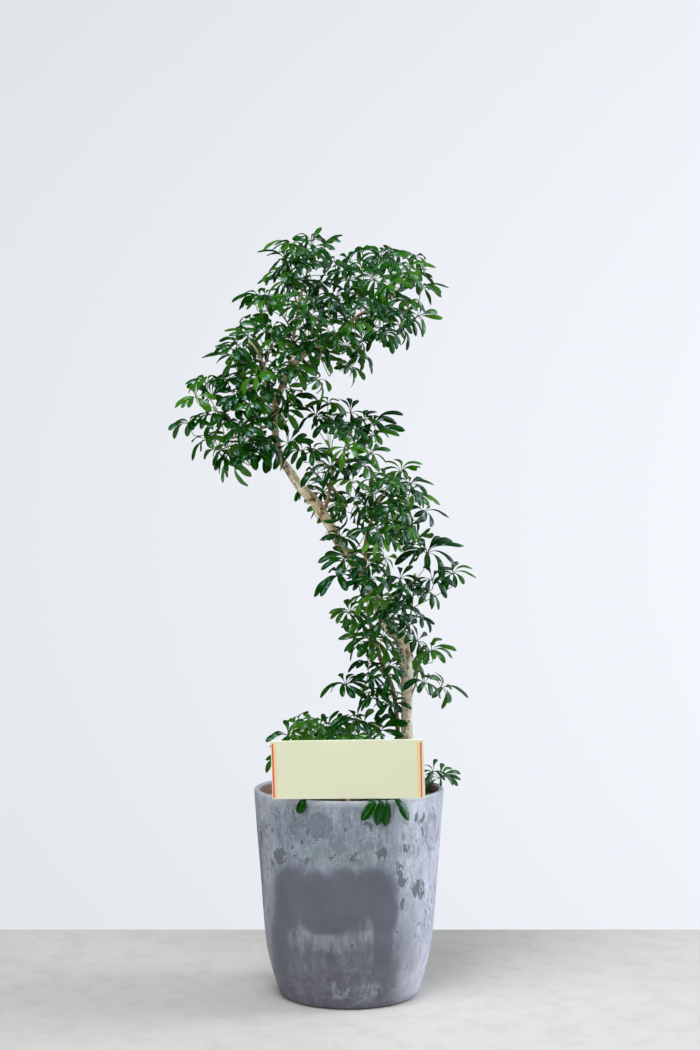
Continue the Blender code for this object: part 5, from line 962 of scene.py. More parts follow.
def nugget_finish():
    f = Finish("bark_nuggets", Specular_IOR_Level=0.3, Roughness=0.85)
    layer = f.noise(130.0, 5.0, 0.65, f.here((0.35, 1.0, 1.6)), 0.8)
    patch = f.noise(45.0, 2.0, 0.5)
    tone = f.ramp(layer, [(0.30, (0.120, 0.052, 0.022)), (0.50, (0.330, 0.165, 0.075)),
                          (0.70, (0.540, 0.330, 0.180))])
    tone = f.mix(f.maths("MULTIPLY", f.step(patch, 0.52, 0.66), 0.6), tone, (0.135, 0.070, 0.040))
    f.colour(tone)
    f.normal(f.bump(layer, 0.7, 0.0012))
    return f.m


def pebble_finish():
    f = Finish("drainage_stones", Specular_IOR_Level=0.35, Roughness=0.8)
    patch = f.noise(30.0, 2.0, 0.5)
    speck = f.noise(500.0, 4.0, 0.6)
    tone = f.ramp(patch, [(0.32, (0.150, 0.100, 0.066)), (0.50, (0.330, 0.245, 0.175)),
                          (0.66, (0.420, 0.390, 0.350))])
    tone = f.mix(f.maths("MULTIPLY", f.step(speck, 0.56, 0.66), 0.4), tone, (0.10, 0.08, 0.07))
    f.colour(tone)
    f.normal(f.bump(speck, 0.4, 0.0006))
    return f.m


def bark_finish(name, young):
    """Pale bark with fibres, rings, corky specks and rusty places. The attribute
    bark_at holds what the shape knows: x scars, y rings, z sawn ends. bark_way is
    a place told by the wood itself: two steps off its heart and one along it.
    bark_warm is how far the bark is still the orange brown of young wood."""
    f = Finish(name, Specular_IOR_Level=0.24)
    split = f.node("SeparateXYZ", [(0, f.node("Attribute", attribute_name="bark_at").outputs["Vector"])])
    scar, ring, cut = split.outputs
    way = f.node("Attribute", attribute_name="bark_way").outputs["Vector"]
    warm = f.node("Attribute", attribute_name="bark_warm").outputs["Fac"]
    z = f.node("SeparateXYZ", [(0, f.here())]).outputs[2]

    def stretched(*scale):
        return f.node("VectorMath", [(0, way), (1, scale)], operation="MULTIPLY").outputs[0]

    run = f.noise(60.0, 6.0, 0.68, stretched(1.0, 1.0, 0.30), 0.5)
    fibre = f.noise(340.0, 4.0, 0.62, stretched(1.0, 1.0, 0.07), 0.3)
    crack = f.noise(300.0, 4.0, 0.62, stretched(0.16, 0.16, 1.0), 0.5)
    patch = f.noise(26.0, 4.0, 0.6, stretched(1.0, 1.0, 0.6), 0.4)
    wart = f.noise(150.0, 3.0, 0.6, stretched(1.0, 1.0, 0.8), 0.5)
    grain = f.maths("MULTIPLY_ADD", f.maths("SUBTRACT", fibre, 0.5), 0.55, run)
    pale = f.ramp(grain, [(0.34, (0.280, 0.215, 0.115)), (0.44, (0.520, 0.440, 0.270)),
                          (0.54, (0.780, 0.695, 0.500)), (0.68, (0.920, 0.855, 0.700))])
    if not young:
        # painted light: the lower trunk, below the crown, is made paler, standing in for the light that falls on it
        # there
        foot = f.ramp(grain, [(0.36, (0.430, 0.310, 0.170)), (0.44, (0.740, 0.635, 0.440)),
                              (0.52, (0.920, 0.850, 0.690)), (0.64, (0.980, 0.940, 0.840))])
        pale = f.mix(f.step(z, 0.86, 0.64, 0.0, 0.90), pale, foot)
    tone = f.mix(f.maths("MULTIPLY", f.step(patch, 0.52, 0.64), 0.42), pale, (0.360, 0.345, 0.215))
    rust = f.step(f.noise(17.0, 4.0, 0.62, stretched(1.0, 1.0, 0.5), 0.5), 0.575, 0.64)
    tone = f.mix(f.maths("MULTIPLY", rust, 0.55), tone, (0.430, 0.205, 0.075))
    tone = f.mix(f.maths("MULTIPLY", f.step(wart, 0.57, 0.64), 0.60), tone, (0.270, 0.160, 0.078))
    tone = f.mix(f.maths("MULTIPLY", f.step(crack, 0.58, 0.66), 0.50), tone, (0.250, 0.165, 0.090))
    if young:
        brown = f.ramp(grain, [(0.38, (0.040, 0.022, 0.010)), (0.50, (0.110, 0.060, 0.026)), (0.64, (0.200, 0.120, 0.058))])
    else:
        brown = f.ramp(grain, [(0.38, (0.110, 0.058, 0.022)), (0.50, (0.300, 0.165, 0.062)), (0.64, (0.520, 0.330, 0.150))])
    older = f.step(z, 1.06, 1.20, 0.0, 0.55) if not young else 0.86
    older = f.maths("MAXIMUM", older, f.maths("MULTIPLY", warm, 0.92))
    tone = f.mix(older, tone, brown)
    tone = f.mix(f.maths("MULTIPLY", ring, 0.55), tone, (0.210, 0.130, 0.066))
    tone = f.mix(f.maths("MULTIPLY", scar, 0.92), tone, (0.072, 0.030, 0.014))
    sawn = f.ramp(f.noise(160.0, 4.0, 0.6), [(0.3, (0.520, 0.330, 0.170)), (0.7, (0.740, 0.560, 0.360))])
    tone = f.mix(cut, tone, sawn)
    f.colour(tone)
    f.rough(f.maths("MULTIPLY_ADD", run, -0.18, 0.80))
    f.normal(f.bump(crack, 0.30, 0.0008, f.bump(wart, 0.35, 0.0009, f.bump(grain, 0.55, 0.0014))))
    return f.m


def leaf_finish(name, dark, mid, light, vein, through, share, gloss, gloss_to, shine=0.30):
    """One side of a leaflet. The attribute leaf_at holds x across it, -1 to 1,
    y along it, 0 to 1, and z its tone, 0 to 1."""
    f = Finish(name, Specular_IOR_Level=shine, Specular_Tint=(0.66, 0.86, 1.0, 1.0))
    split = f.node("SeparateXYZ", [(0, f.node("Attribute", attribute_name="leaf_at").outputs["Vector"])])
    across, along_it, tone_at = split.outputs
    off = f.maths("ABSOLUTE", across)
    mottle = f.noise(75.0, 4.0, 0.6)
    tone = f.maths("MULTIPLY_ADD", f.maths("SUBTRACT", mottle, 0.5), 0.45, tone_at)
    # side veins leave the midrib forwards, and bow
    count = f.maths("MULTIPLY_ADD", along_it, 11.0, f.maths("MULTIPLY", off, -2.3))
    wave = f.maths("SINE", f.maths("MULTIPLY", count, math.tau))
    side_vein = f.step(wave, 0.72, 1.0)
    fade = f.maths("MULTIPLY", f.step(off, 1.0, 0.55), f.step(along_it, 0.08, 0.22))
    side_vein = f.maths("MULTIPLY", side_vein, fade)
    rib = f.step(off, 0.11, 0.03)
    edge = f.step(off, 0.86, 1.0)
    base = f.ramp(tone, [(0.05, dark), (0.50, mid), (0.95, light)])
    base = f.mix(f.maths("MULTIPLY", side_vein, 0.20), base, vein)
    base = f.mix(f.maths("MULTIPLY", rib, 0.70), base, vein)
    base = f.mix(f.maths("MULTIPLY", edge, 0.25), base, vein)
    f.colour(base)
    f.rough(f.maths("MULTIPLY_ADD", mottle, gloss_to - gloss, gloss))
    raised = f.maths("MULTIPLY_ADD", rib, -0.6, f.maths("MULTIPLY", side_vein, -0.22))
    if "under" in name:
        raised = f.maths("MULTIPLY", raised, -1.0)
    fine = f.noise(650.0, 2.0, 0.5)
    f.normal(f.bump(fine, 0.05, 0.0003, f.bump(raised, 0.55, 0.0006)))
    f.glow_through(f.mix(0.5, base, through), share)
    return f.m


def stalk_finish(name, one, two, fine_scale):
    f = Finish(name, Specular_IOR_Level=0.4)
    run = f.noise(40.0, 4.0, 0.6, f.here((1.0, 1.0, 0.4)))
    fine = f.noise(fine_scale, 3.0, 0.55, f.here((1.0, 1.0, 0.5)))
    tone = f.ramp(run, [(0.34, one), (0.64, two)])
    tone = f.mix(f.maths("MULTIPLY", f.step(fine, 0.58, 0.70), 0.35), tone, (0.30, 0.22, 0.11))
    f.colour(tone)
    f.rough(f.maths("MULTIPLY_ADD", run, 0.2, 0.42))
    f.normal(f.bump(fine, 0.25, 0.0005))
    return f.m


def card_finish(name, one, two, roughness=0.48):
    f = Finish(name, Specular_IOR_Level=0.4)
    pulp = f.noise(520.0, 5.0, 0.7, f.here((1.0, 1.0, 0.7)))
    cloud = f.noise(9.0, 2.0, 0.5)
    tone = f.ramp(pulp, [(0.30, one), (0.70, two)])
    tone = f.mix(f.maths("MULTIPLY", f.step(cloud, 0.40, 0.70), 0.10), tone, tuple(min(1.0, c * 1.12) for c in two))
    f.colour(tone)
    f.rough(f.maths("MULTIPLY_ADD", pulp, 0.16, roughness - 0.08))
    f.normal(f.bump(pulp, 0.06, 0.0003))
    return f.m


def wood_finish():
    f = Finish("stake_wood", Specular_IOR_Level=0.3)
    grain = f.noise(260.0, 5.0, 0.6, f.here((1.0, 1.0, 0.035)), 0.3)
    pore = f.noise(1400.0, 2.0, 0.5, f.here((1.0, 1.0, 0.04)))
    tone = f.ramp(grain, [(0.30, (0.330, 0.175, 0.080)), (0.52, (0.560, 0.355, 0.190)),
                          (0.74, (0.720, 0.520, 0.320))])
    tone = f.mix(f.maths("MULTIPLY", f.step(pore, 0.60, 0.70), 0.4), tone, (0.24, 0.13, 0.06))
    f.colour(tone)
    f.rough(f.maths("MULTIPLY_ADD", grain, 0.2, 0.55))
    f.normal(f.bump(grain, 0.3, 0.0004))
    return f.m


def floor_finish():
    f = Finish("studio_floor", Specular_IOR_Level=0.25)
    cloud = f.noise(1.6, 5.0, 0.6)
    mottle = f.noise(14.0, 6.0, 0.65)
    grit = f.noise(160.0, 3.0, 0.6)
    tone = f.ramp(cloud, [(0.3, (0.578, 0.556, 0.527)), (0.7, (0.634, 0.613, 0.588))])
    tone = f.mix(f.maths("MULTIPLY", f.step(mottle, 0.46, 0.62), 0.42), tone, (0.510, 0.490, 0.465))
    tone = f.mix(f.maths("MULTIPLY", f.step(grit, 0.60, 0.72), 0.25), tone, (0.42, 0.41, 0.40))
    f.colour(tone)
    f.rough(f.maths("MULTIPLY_ADD", mottle, 0.2, 0.55))
    f.normal(f.bump(grit, 0.12, 0.0008))
    return f.m


# ------------------------------------------------------------- shape builders
class Shape:
    """Points and faces gathered for one mesh, with a slot for each face and a
    vector for each point."""

    def __init__(self):
        self.points, self.faces, self.slots, self.notes = [], [], [], []
        self.count = 0

    def add(self, points, faces, slots, notes=None):
        points = np.asarray(points, dtype=float)
        self.points.append(points)
        self.notes.append(np.zeros((len(points), 3)) if notes is None else np.asarray(notes, dtype=float))
        base = self.count
        self.faces.extend(tuple(i + base for i in face) for face in faces)
        self.slots.extend([slots] * len(faces) if isinstance(slots, int) else slots)
        self.count += len(points)

    def build(self, name, materials, note_name=None, sharp=50.0):
        mesh = bpy.data.meshes.new(name)
        mesh.from_pydata(np.concatenate(self.points).tolist(), [], self.faces)
        for m in materials:
            mesh.materials.append(m)
        mesh.polygons.foreach_set("material_index", np.asarray(self.slots, dtype=np.int32))
        if note_name:
            a = mesh.attributes.new(note_name, "FLOAT_VECTOR", "POINT")
            a.data.foreach_set("vector", np.concatenate(self.notes).astype(np.float32).ravel())
        mesh.update()
        mesh.shade_smooth()
        mesh.set_sharp_from_angle(angle=math.radians(sharp))
        ob = bpy.data.objects.new(name, mesh)
        bpy.context.scene.collection.objects.link(ob)
        return ob


def unit(v):
    return v / max(float(np.linalg.norm(v)), 1e-9)


def rounded(points, radii, step):
    """A smooth line through points, resampled, with a radius at each place."""
    p = np.asarray([tuple(q) for q in points], dtype=float)
    r = np.asarray(radii, dtype=float)
    if len(p) == 2:
        n = max(int(np.linalg.norm(p[1] - p[0]) / step), 3)
        t = np.linspace(0, 1, n + 1)[:, None]
        return p[0] * (1 - t) + p[1] * t, (r[0] * (1 - t) + r[1] * t)[:, 0]
    ext = np.vstack([2 * p[0] - p[1], p, 2 * p[-1] - p[-2]])
    out, rad = [], []
    for i in range(len(p) - 1):
        a, b, c, d = ext[i], ext[i + 1], ext[i + 2], ext[i + 3]
        n = max(int(np.linalg.norm(c - b) / step), 2)
        for t in np.arange(n) / n:
            out.append(0.5 * ((2 * b) + (c - a) * t + (2 * a - 5 * b + 4 * c - d) * t ** 2
                              + (3 * b - a - 3 * c + d) * t ** 3))
            rad.append(r[i] + (r[i + 1] - r[i]) * t)
    out.append(p[-1])
    rad.append(r[-1])
    return np.asarray(out), np.asarray(rad)


def bar(shape, line, radii, sides, slot, tone=0.5, blunt=True):
    """A round bar along a line, closed with slightly domed ends."""
    line, radii = np.asarray(line), np.asarray(radii)
    if blunt:
        first = line[0] + unit(line[0] - line[1]) * radii[0] * 0.35
        last = line[-1] + unit(line[-1] - line[-2]) * radii[-1] * 0.35
        line = np.vstack([first, line, last])
        radii = np.concatenate([[radii[0] * 0.62], radii, [radii[-1] * 0.62]])
    n = len(line)
    ahead = np.gradient(line, axis=0)
    points = []
    a = None
    for k in range(n):
        t = unit(ahead[k])
        if a is None:
            a = np.cross(t, (0.0, 0.0, 1.0) if abs(t[2]) < 0.9 else (1.0, 0.0, 0.0))
        a = unit(a - t * float(a @ t))
        b = np.cross(t, a)
        for s in range(sides):
            w = math.tau * s / sides
            points.append(line[k] + (a * math.cos(w) + b * math.sin(w)) * radii[k])
    faces = [tuple(reversed(range(sides)))]
    for k in range(n - 1):
        for s in range(sides):
            i, j = k * sides + s, k * sides + (s + 1) % sides
            faces.append((i, j, j + sides, i + sides))
    faces.append(tuple(range((n - 1) * sides, n * sides)))
    notes = np.zeros((len(points), 3))
    notes[:, 2] = tone
    shape.add(points, faces, slot, notes)


def ball_template(level):
    bm = bmesh.new()
    bmesh.ops.create_icosphere(bm, subdivisions=level, radius=1.0)
    points = np.array([v.co[:] for v in bm.verts])
    faces = [tuple(v.index for v in f.verts) for f in bm.faces]
    bm.free()
    return points, faces


BALLS = {level: ball_template(level) for level in (1, 2, 3)}


def lump(shape, at, size, turn, rough, seed, slot, level=1, tone=0.5):
    """An irregular small solid, such as a crumb, a pebble or a chip of bark."""
    points, faces = BALLS[level]
    out = []
    for p in points:
        v = Vector(p)
        grow = 1.0 + rough * noise.noise(v * 1.4 + Vector((seed * 3.1, seed * 1.7, seed * 0.9)))
        grow += rough * 0.5 * noise.noise(v * 3.3 + Vector((seed, -seed * 2.3, seed * 0.4)))
        out.append(tuple(v * grow))
    out = np.asarray(out) * np.asarray(size)
    c, s = math.cos(turn[0]), math.sin(turn[0])
    spin = np.array([[c, -s, 0], [s, c, 0], [0, 0, 1]])
    c, s = math.cos(turn[1]), math.sin(turn[1])
    tilt = np.array([[1, 0, 0], [0, c, -s], [0, s, c]])
    notes = np.zeros((len(out), 3))
    notes[:, 2] = tone
    shape.add(out @ tilt.T @ spin.T + np.asarray(at), faces, slot, notes)


# ------------------------------------------------------------------- leaflets
STATIONS = np.array([0.0, 0.05, 0.105, 0.165, 0.24, 0.33, 0.43, 0.53, 0.63, 0.73, 0.82, 0.90, 0.96, 1.0])
ACROSS = np.array([-1.0, -0.52, 0.0, 0.52, 1.0])


def leaflet_faces():
    rows = len(STATIONS)
    faces, top = [], []
    for r in range(rows - 1):
        a, b = r * 8, (r + 1) * 8
        for c in range(4):
            faces.append((a + c, a + c + 1, b + c + 1, b + c))
            top.append(True)
        low = (0, 5, 6, 7, 4)
        for c in range(4):
            faces.append((a + low[c + 1], a + low[c], b + low[c], b + low[c + 1]))
            top.append(False)
    e = (rows - 1) * 8
    faces.append((0, 5, 6, 7, 4, 3, 2, 1))
    top.append(False)
    faces.append((e, e + 1, e + 2, e + 3, e + 4, e + 7, e + 6, e + 5))
    top.append(False)
    return faces, np.array(top)


LEAFLET_FACES, LEAFLET_TOP = leaflet_faces()


def leaflet(shape, path, up, width, tone, dice, slots, stalked=True, late=None, point=0.58):
    """A thin closed leaflet along a path of as many points as STATIONS."""
    s = STATIONS
    ahead = np.gradient(path, s, axis=0)
    ahead /= np.linalg.norm(ahead, axis=1)[:, None]
    if up.ndim == 1:
        up = np.repeat(up[None, :], len(s), axis=0)
    u = up - ahead * np.sum(up * ahead, axis=1)[:, None]
    u /= np.linalg.norm(u, axis=1)[:, None]
    v = np.cross(ahead, u)
    twist = (dice.uniform(-0.30, 0.30) * s ** 1.3)[:, None]
    u, v = u * np.cos(twist) + v * np.sin(twist), v * np.cos(twist) - u * np.sin(twist)
    if stalked:
        w = np.clip((s - 0.095) / 0.905, 0.0, 1.0)
    else:
        w = np.clip(s * 0.97 + 0.03, 0.0, 1.0)
    power = dice.uniform(0.88, 1.12)
    power = late or power
    full = (w ** power) * (1.0 - w ** 2.7) ** point
    half = width * 0.5 * full / full.max()
    half = np.maximum(half, np.where(s < 0.5, 0.00062, 0.00040))
    blade = np.clip((half - 0.0008) / 0.004, 0.0, 1.0)
    thick = 0.00115 * (1.0 - blade) + 0.00042 * blade
    phase, waves = dice.uniform(0, math.tau, 2), dice.uniform(1.6, 2.8)
    ruffle = dice.uniform(0.02, 0.09)
    fold = dice.uniform(0.02, 0.42)
    points = np.zeros((len(s), 8, 3))
    notes = np.zeros((len(s), 8, 3))
    for k, c in enumerate(ACROSS):
        wave = ruffle * np.sin(math.tau * waves * s + phase[0 if c < 0 else 1]) * abs(c)
        lift = half * (-fold * c * c + wave) - (0.00022 * blade if c == 0 else 0.0)
        mid = path + v * (c * half)[:, None] + u * lift[:, None]
        part = thick * 0.5 * (1.0 - c * c)
        points[:, k] = mid + u * part[:, None]
        notes[:, k, 0] = c
        if abs(c) < 1.0:
            below = part + (0.00050 * blade if c == 0 else 0.0)
            low = {-0.52: 5, 0.0: 6, 0.52: 7}[float(c)]
            points[:, low] = mid - u * below[:, None]
            notes[:, low, 0] = c
    notes[:, :, 1] = s[:, None]
    notes[:, :, 2] = tone
    shape.add(points.reshape(-1, 3), LEAFLET_FACES, np.where(LEAFLET_TOP, slots[0], slots[1]).tolist(),
              notes.reshape(-1, 3))


EYE = np.array((0.0, -EYE_DISTANCE, EYE_HEIGHT))


def opened(path, up, least):
    """The upper side, turned about the leaflet's length until the eye sees at least so much of it."""
    t = unit(path[-1] - path[0])
    up = unit(up - t * float(up @ t))
    view = unit(EYE - path[len(path) // 2])
    view = view - t * float(view @ t)
    if np.linalg.norm(view) < 0.2:
        return up
    view = unit(view)
    seen = float(up @ view)
    if abs(seen) >= least:
        return up
    rest = unit(up - view * seen)
    return unit(rest * math.sqrt(1.0 - least * least) + view * (least if seen > -0.15 else -least))


def arched(base, tip, n, arch, bend, out=None):
    """A path from base to tip that rises towards n and bends a little aside, and
    the way that its upper side faces, rolled a little towards out."""
    d = tip - base
    length = float(np.linalg.norm(d))
    t = d / max(length, 1e-9)
    up = n - t * float(n @ t)
    if np.linalg.norm(up) < 0.30:
        up = up + np.array((0.0, 0.0, 0.6)) - t * t[2] * 0.6
    up = unit(up)
    side = np.cross(t, up)
    s = STATIONS[:, None]
    hump = 4.0 * s * (1.0 - s) * (1.0 + 0.9 * (0.5 - s) * (1.0 - s))
    path = base + d * s + up * (arch * length) * hump + side * (bend * length) * 4.0 * s * (1.0 - s)
    if out is not None:
        up = up + out - t * float(out @ t)
    return path, unit(up)


def full_fan(leaf):
    """The leaf's leaflets as (turn, vector), with one more in every wide gap."""
    tips = [(turn, np.array(t)) for turn, t in leaf.tips]
    n = np.array(leaf.n)
    out = []
    for i, (turn, t) in enumerate(tips):
        out.append((turn, t))
        after, u = tips[(i + 1) % len(tips)]
        gap = (after - turn) % math.tau if len(tips) > 1 else math.tau
        if 0.94 < gap < 2.4:
            long, short = max(np.linalg.norm(t), np.linalg.norm(u)), min(np.linalg.norm(t), np.linalg.norm(u))
            way = unit(t) + unit(u)
            if np.linalg.norm(way) > 0.5:
                out.append((turn + gap * 0.5, unit(way) * (0.45 * long + 0.45 * short)))
    return out


def grow_leaf(shape, leaf, dice, tone, slots, stalk_slot, wide=0.258):
    """The leaf's stalk, its hub and its leaflets."""
    hub, n = np.array(leaf.hub), np.array(leaf.n)
    line = [np.array(p) for p in leaf.line]
    line[-1] = hub - n * 0.0006
    if len(line) == 2:
        span = line[1] - line[0]
        sag = np.cross(span, (0.3, 0.9, 0.1))
        middle = (line[0] + line[1]) * 0.5 + unit(sag) * np.linalg.norm(span) * dice.uniform(-0.035, 0.035)
        line = [line[0], middle, line[1]]
    path, radii = rounded(line, [1.0] * len(line), 0.008)
    share = np.linspace(0, 1, len(path))
    radii = 0.00088 + 0.00075 * np.exp(-share / 0.05) + 0.00032 * np.exp(-(1 - share) / 0.04)
    bar(shape, path, radii, 6, stalk_slot, tone)
    lump(shape, hub, (0.0017, 0.0017, 0.0012), (0.0, 0.0), 0.12, dice.uniform(0, 9), stalk_slot, 1, tone)
    lit = unit(np.array((hub[0] * 0.5, hub[1] - 0.06, 0.0))) * dice.uniform(0.10, 0.50)
    droop = dice.uniform(0.18, 0.28)
    for turn, t in full_fan(leaf):
        length = float(np.linalg.norm(t))
        out = unit(t - n * float(t @ n))
        base = hub + out * 0.0011
        tip = hub + t
        path, up = arched(base, tip, n, droop + dice.uniform(-0.04, 0.05), dice.uniform(-0.07, 0.07), lit)
        up = opened(path, up, dice.uniform(0.34, 0.50))
        width = min(length * dice.uniform(wide - 0.03, wide + 0.035), 0.0172 - 0.10 * max(0.0, length - 0.062))
        own = float(np.clip(tone + dice.uniform(-0.13, 0.13), 0.0, 1.0))
        leaflet(shape, path, up, width, own, dice, slots)


# ----------------------------------------------------------------- the planter
def side_radius(z):
    for (z0, r0), (z1, r1) in zip(POT_SIDE, POT_SIDE[1:]):
        if z <= z1:
            return r0 + (r1 - r0) * (z - z0) / (z1 - z0)
    return POT_SIDE[-1][1]


def inner_radius(z):
    return side_radius(z) - POT_WALL * (1.0 if z > 0.1 else 1.0 + (0.1 - z) * 2.0)


def on_pot(px, py):
    """Where a point of the sheet lies on the planter's front, and metres for each of its units there."""
    x, z, k = 0.0, 0.2, UNIT
    for _ in range(6):
        r = side_radius(max(min(z, POT_HEIGHT), 0.0))
        depth = -math.sqrt(max(r * r - x * x, 0.0))
        k = UNIT * (1.0 + depth / EYE_DISTANCE)
        x = (px - SHEET_AXIS_X) * k
        z = EYE_HEIGHT + (SHEET_EYE_Y - py) * k
    return (x, z), k


def lathe(profile, turns):
    """Points and faces of a profile, from the axis round to the axis, turned about Z."""
    points, faces = [], []
    rings = []
    for r, z in profile:
        if r < 1e-6:
            rings.append([len(points)])
            points.append((0.0, 0.0, z))
        else:
            rings.append(list(range(len(points), len(points) + turns)))
            for k in range(turns):
                a = math.tau * k / turns
                points.append((r * math.cos(a), r * math.sin(a), z))
    for low, high in zip(rings, rings[1:]):
        for k in range(turns):
            j = (k + 1) % turns
            if len(low) == 1:
                faces.append((low[0], high[k], high[j]))
            elif len(high) == 1:
                faces.append((low[k], high[0], low[j]))
            else:
                faces.append((low[k], high[k], high[j], low[j]))
    return points, faces


def outward(ob):
    bm = bmesh.new()
    bm.from_mesh(ob.data)
    bmesh.ops.recalc_face_normals(bm, faces=bm.faces)
    bm.to_mesh(ob.data)
    bm.free()


def settled(ob):
    """The object's mesh with its modifiers worked in."""
    bpy.context.view_layer.update()
    mesh = bpy.data.meshes.new_from_object(ob.evaluated_get(bpy.context.evaluated_depsgraph_get()))
    ob.modifiers.clear()
    ob.data = mesh


def cut_by(ob, cutter):
    mod = ob.modifiers.new("cut", "BOOLEAN")
    mod.operation = "DIFFERENCE"
    mod.solver = "EXACT"
    mod.object = cutter
    settled(ob)
    bpy.data.objects.remove(cutter, do_unlink=True)


def finish_off(ob, node, sharp=None):
    if sharp:
        ob.data.shade_smooth()
        ob.data.set_sharp_from_angle(angle=math.radians(sharp))
    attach(ob, "root")
    if node:
        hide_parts(node)
    return ob


def smooth_profile(points, n):
    """Points along a smooth curve through a profile's points."""
    p = np.asarray(points, dtype=float)
    ext = np.vstack([2 * p[0] - p[1], p, 2 * p[-1] - p[-2]])
    out = []
    for i in range(len(p) - 1):
        a, b, c, d = ext[i], ext[i + 1], ext[i + 2], ext[i + 3]
        ta, tb = 0.5 * (c - a), 0.5 * (d - b)
        ta *= min(1.0, 1.0 * np.linalg.norm(c - b) / max(np.linalg.norm(ta), 1e-9))
        tb *= min(1.0, 1.0 * np.linalg.norm(c - b) / max(np.linalg.norm(tb), 1e-9))
        m = max(int(n * np.linalg.norm(c - b) / 0.4), 2)
        for t in np.arange(m) / m:
            h = (2 * t ** 3 - 3 * t ** 2 + 1, t ** 3 - 2 * t ** 2 + t, -2 * t ** 3 + 3 * t ** 2, t ** 3 - t ** 2)
            out.append(tuple(h[0] * b + h[1] * ta + h[2] * c + h[3] * tb))
    out.append(tuple(p[-1]))
    return out


def make_planter():
    side = [(r, z) for z, r in POT_SIDE]
    outer = smooth_profile(side, 46)
    top = POT_HEIGHT
    lip = []
    for k in range(1, 7):                       # the outer edge of the rim, well rounded
        a = math.pi / 2 * k / 6
        lip.append((POT_RIM_RADIUS - 0.0031 + 0.0030 * math.cos(a), top - 0.0032 + 0.0032 * math.sin(a)))
    inner_top = inner_radius(top - 0.0045)
    for k in range(0, 6):
        a = math.pi / 2 * k / 5
        lip.append((inner_top + 0.0024 - 0.0024 * math.sin(a), top - 0.0024 + 0.0024 * math.cos(a)))
    inner = [(inner_radius(z), z) for z in np.linspace(0.395, 0.030, 26)]
    foot = [(inner_radius(0.03) - 0.0010, 0.0235), (inner_radius(0.03) - 0.0035, 0.0196),
            (inner_radius(0.03) - 0.0075, POT_FLOOR), (inner_radius(0.03) * 0.6, POT_FLOOR),
            (inner_radius(0.03) * 0.25, POT_FLOOR), (0.0, POT_FLOOR)]
    below = [(0.0, 0.0), (0.045, 0.0), (0.090, 0.0), (0.1300, 0.0), (0.1318, 0.0004)]
    profile = below + [p for p in outer if p[1] > 0.0010 and p[1] < top - 0.0040] + lip + inner + foot
    shape = Shape()
    points, faces = lathe(profile, 224)
    shape.add(points, faces, 0)
    ob = shape.build("planter_shell", [stone_finish()])
    outward(ob)
    cutter = Shape()
    for i in range(DRAIN_COUNT):
        a = math.tau * (i + 0.25) / DRAIN_COUNT
        at = (DRAIN_CIRCLE * math.cos(a), DRAIN_CIRCLE * math.sin(a))
        ring = [(at[0] + DRAIN_RADIUS * math.cos(math.tau * k / 32), at[1] + DRAIN_RADIUS * math.sin(math.tau * k / 32))
                for k in range(32)]
        low = [(x, y, -0.01) for x, y in ring]
        high = [(x, y, 0.03) for x, y in ring]
        faces = [tuple(reversed(range(32))), tuple(range(32, 64))]
        faces += [(k, (k + 1) % 32, 32 + (k + 1) % 32, 32 + k) for k in range(32)]
        cutter.add(low + high, faces, 0)
    cut_by(ob, cutter.build("drill", []))
    # hand-cast: the wall is a hair uneven
    for v in ob.data.vertices:
        r = math.hypot(v.co.x, v.co.y)
        if r > 0.10 and 0.012 < v.co.z < 0.398:
            g = noise.noise(Vector((v.co.x * 9, v.co.y * 9, v.co.z * 7))) * 0.0005
            v.co.x += v.co.x / r * (g - 0.0002)
            v.co.y += v.co.y / r * (g - 0.0002)
    return finish_off(ob, "planter", 34)


# ---------------------------------------------------------- stones and compost
def soil_height(x, y):
    r = math.hypot(x, y)
    edge = inner_radius(SOIL_TOP)
    share = min(r / edge, 1.0)
    z = SOIL_TOP + SOIL_CROWN * (1.0 - share ** 2)
    fade = min(1.0, (1.0 - share) * 9.0)
    z += fade * (0.0024 * noise.noise(Vector((x * 38, y * 38, 1.3))) + 0.0013 * noise.noise(Vector((x * 105, y * 105, 4.1)))
                 + 0.0007 * noise.noise(Vector((x * 260, y * 260, 7.7))))
    return z


def plant_sockets():
    """The lines and radii of everything that stands in the compost."""
    found = [wood_line(points) for points in WOOD.values()]
    for name, (carrier, _, _) in SPRAYS.items():
        if carrier == "soil":
            found.append(stem_line(name))
    for name, (foot, hub, _, _) in RIM_LEAVES.items():
        line, radii = rim_stem(foot, hub)
        found.append(([Vector(p) for p in line], radii))
    return found


def rim_stem(foot, hub):
    f = 1.0 + hub[1] * 0.01 / EYE_DISTANCE
    hub_at = np.array(((hub[0] - SHEET_AXIS_X) * UNIT * f, hub[1] * 0.01, RIM_HUB_Z))
    foot_at = np.array(((foot[0] - SHEET_AXIS_X) * UNIT * f, foot[1] * 0.01, 0.340))
    knee = foot_at + (hub_at - foot_at) * 0.75 + np.array((0, 0.004, 0))
    return [foot_at, knee, hub_at - np.array((0, 0, 0.0002))], [0.0017, 0.0015, 0.0013]


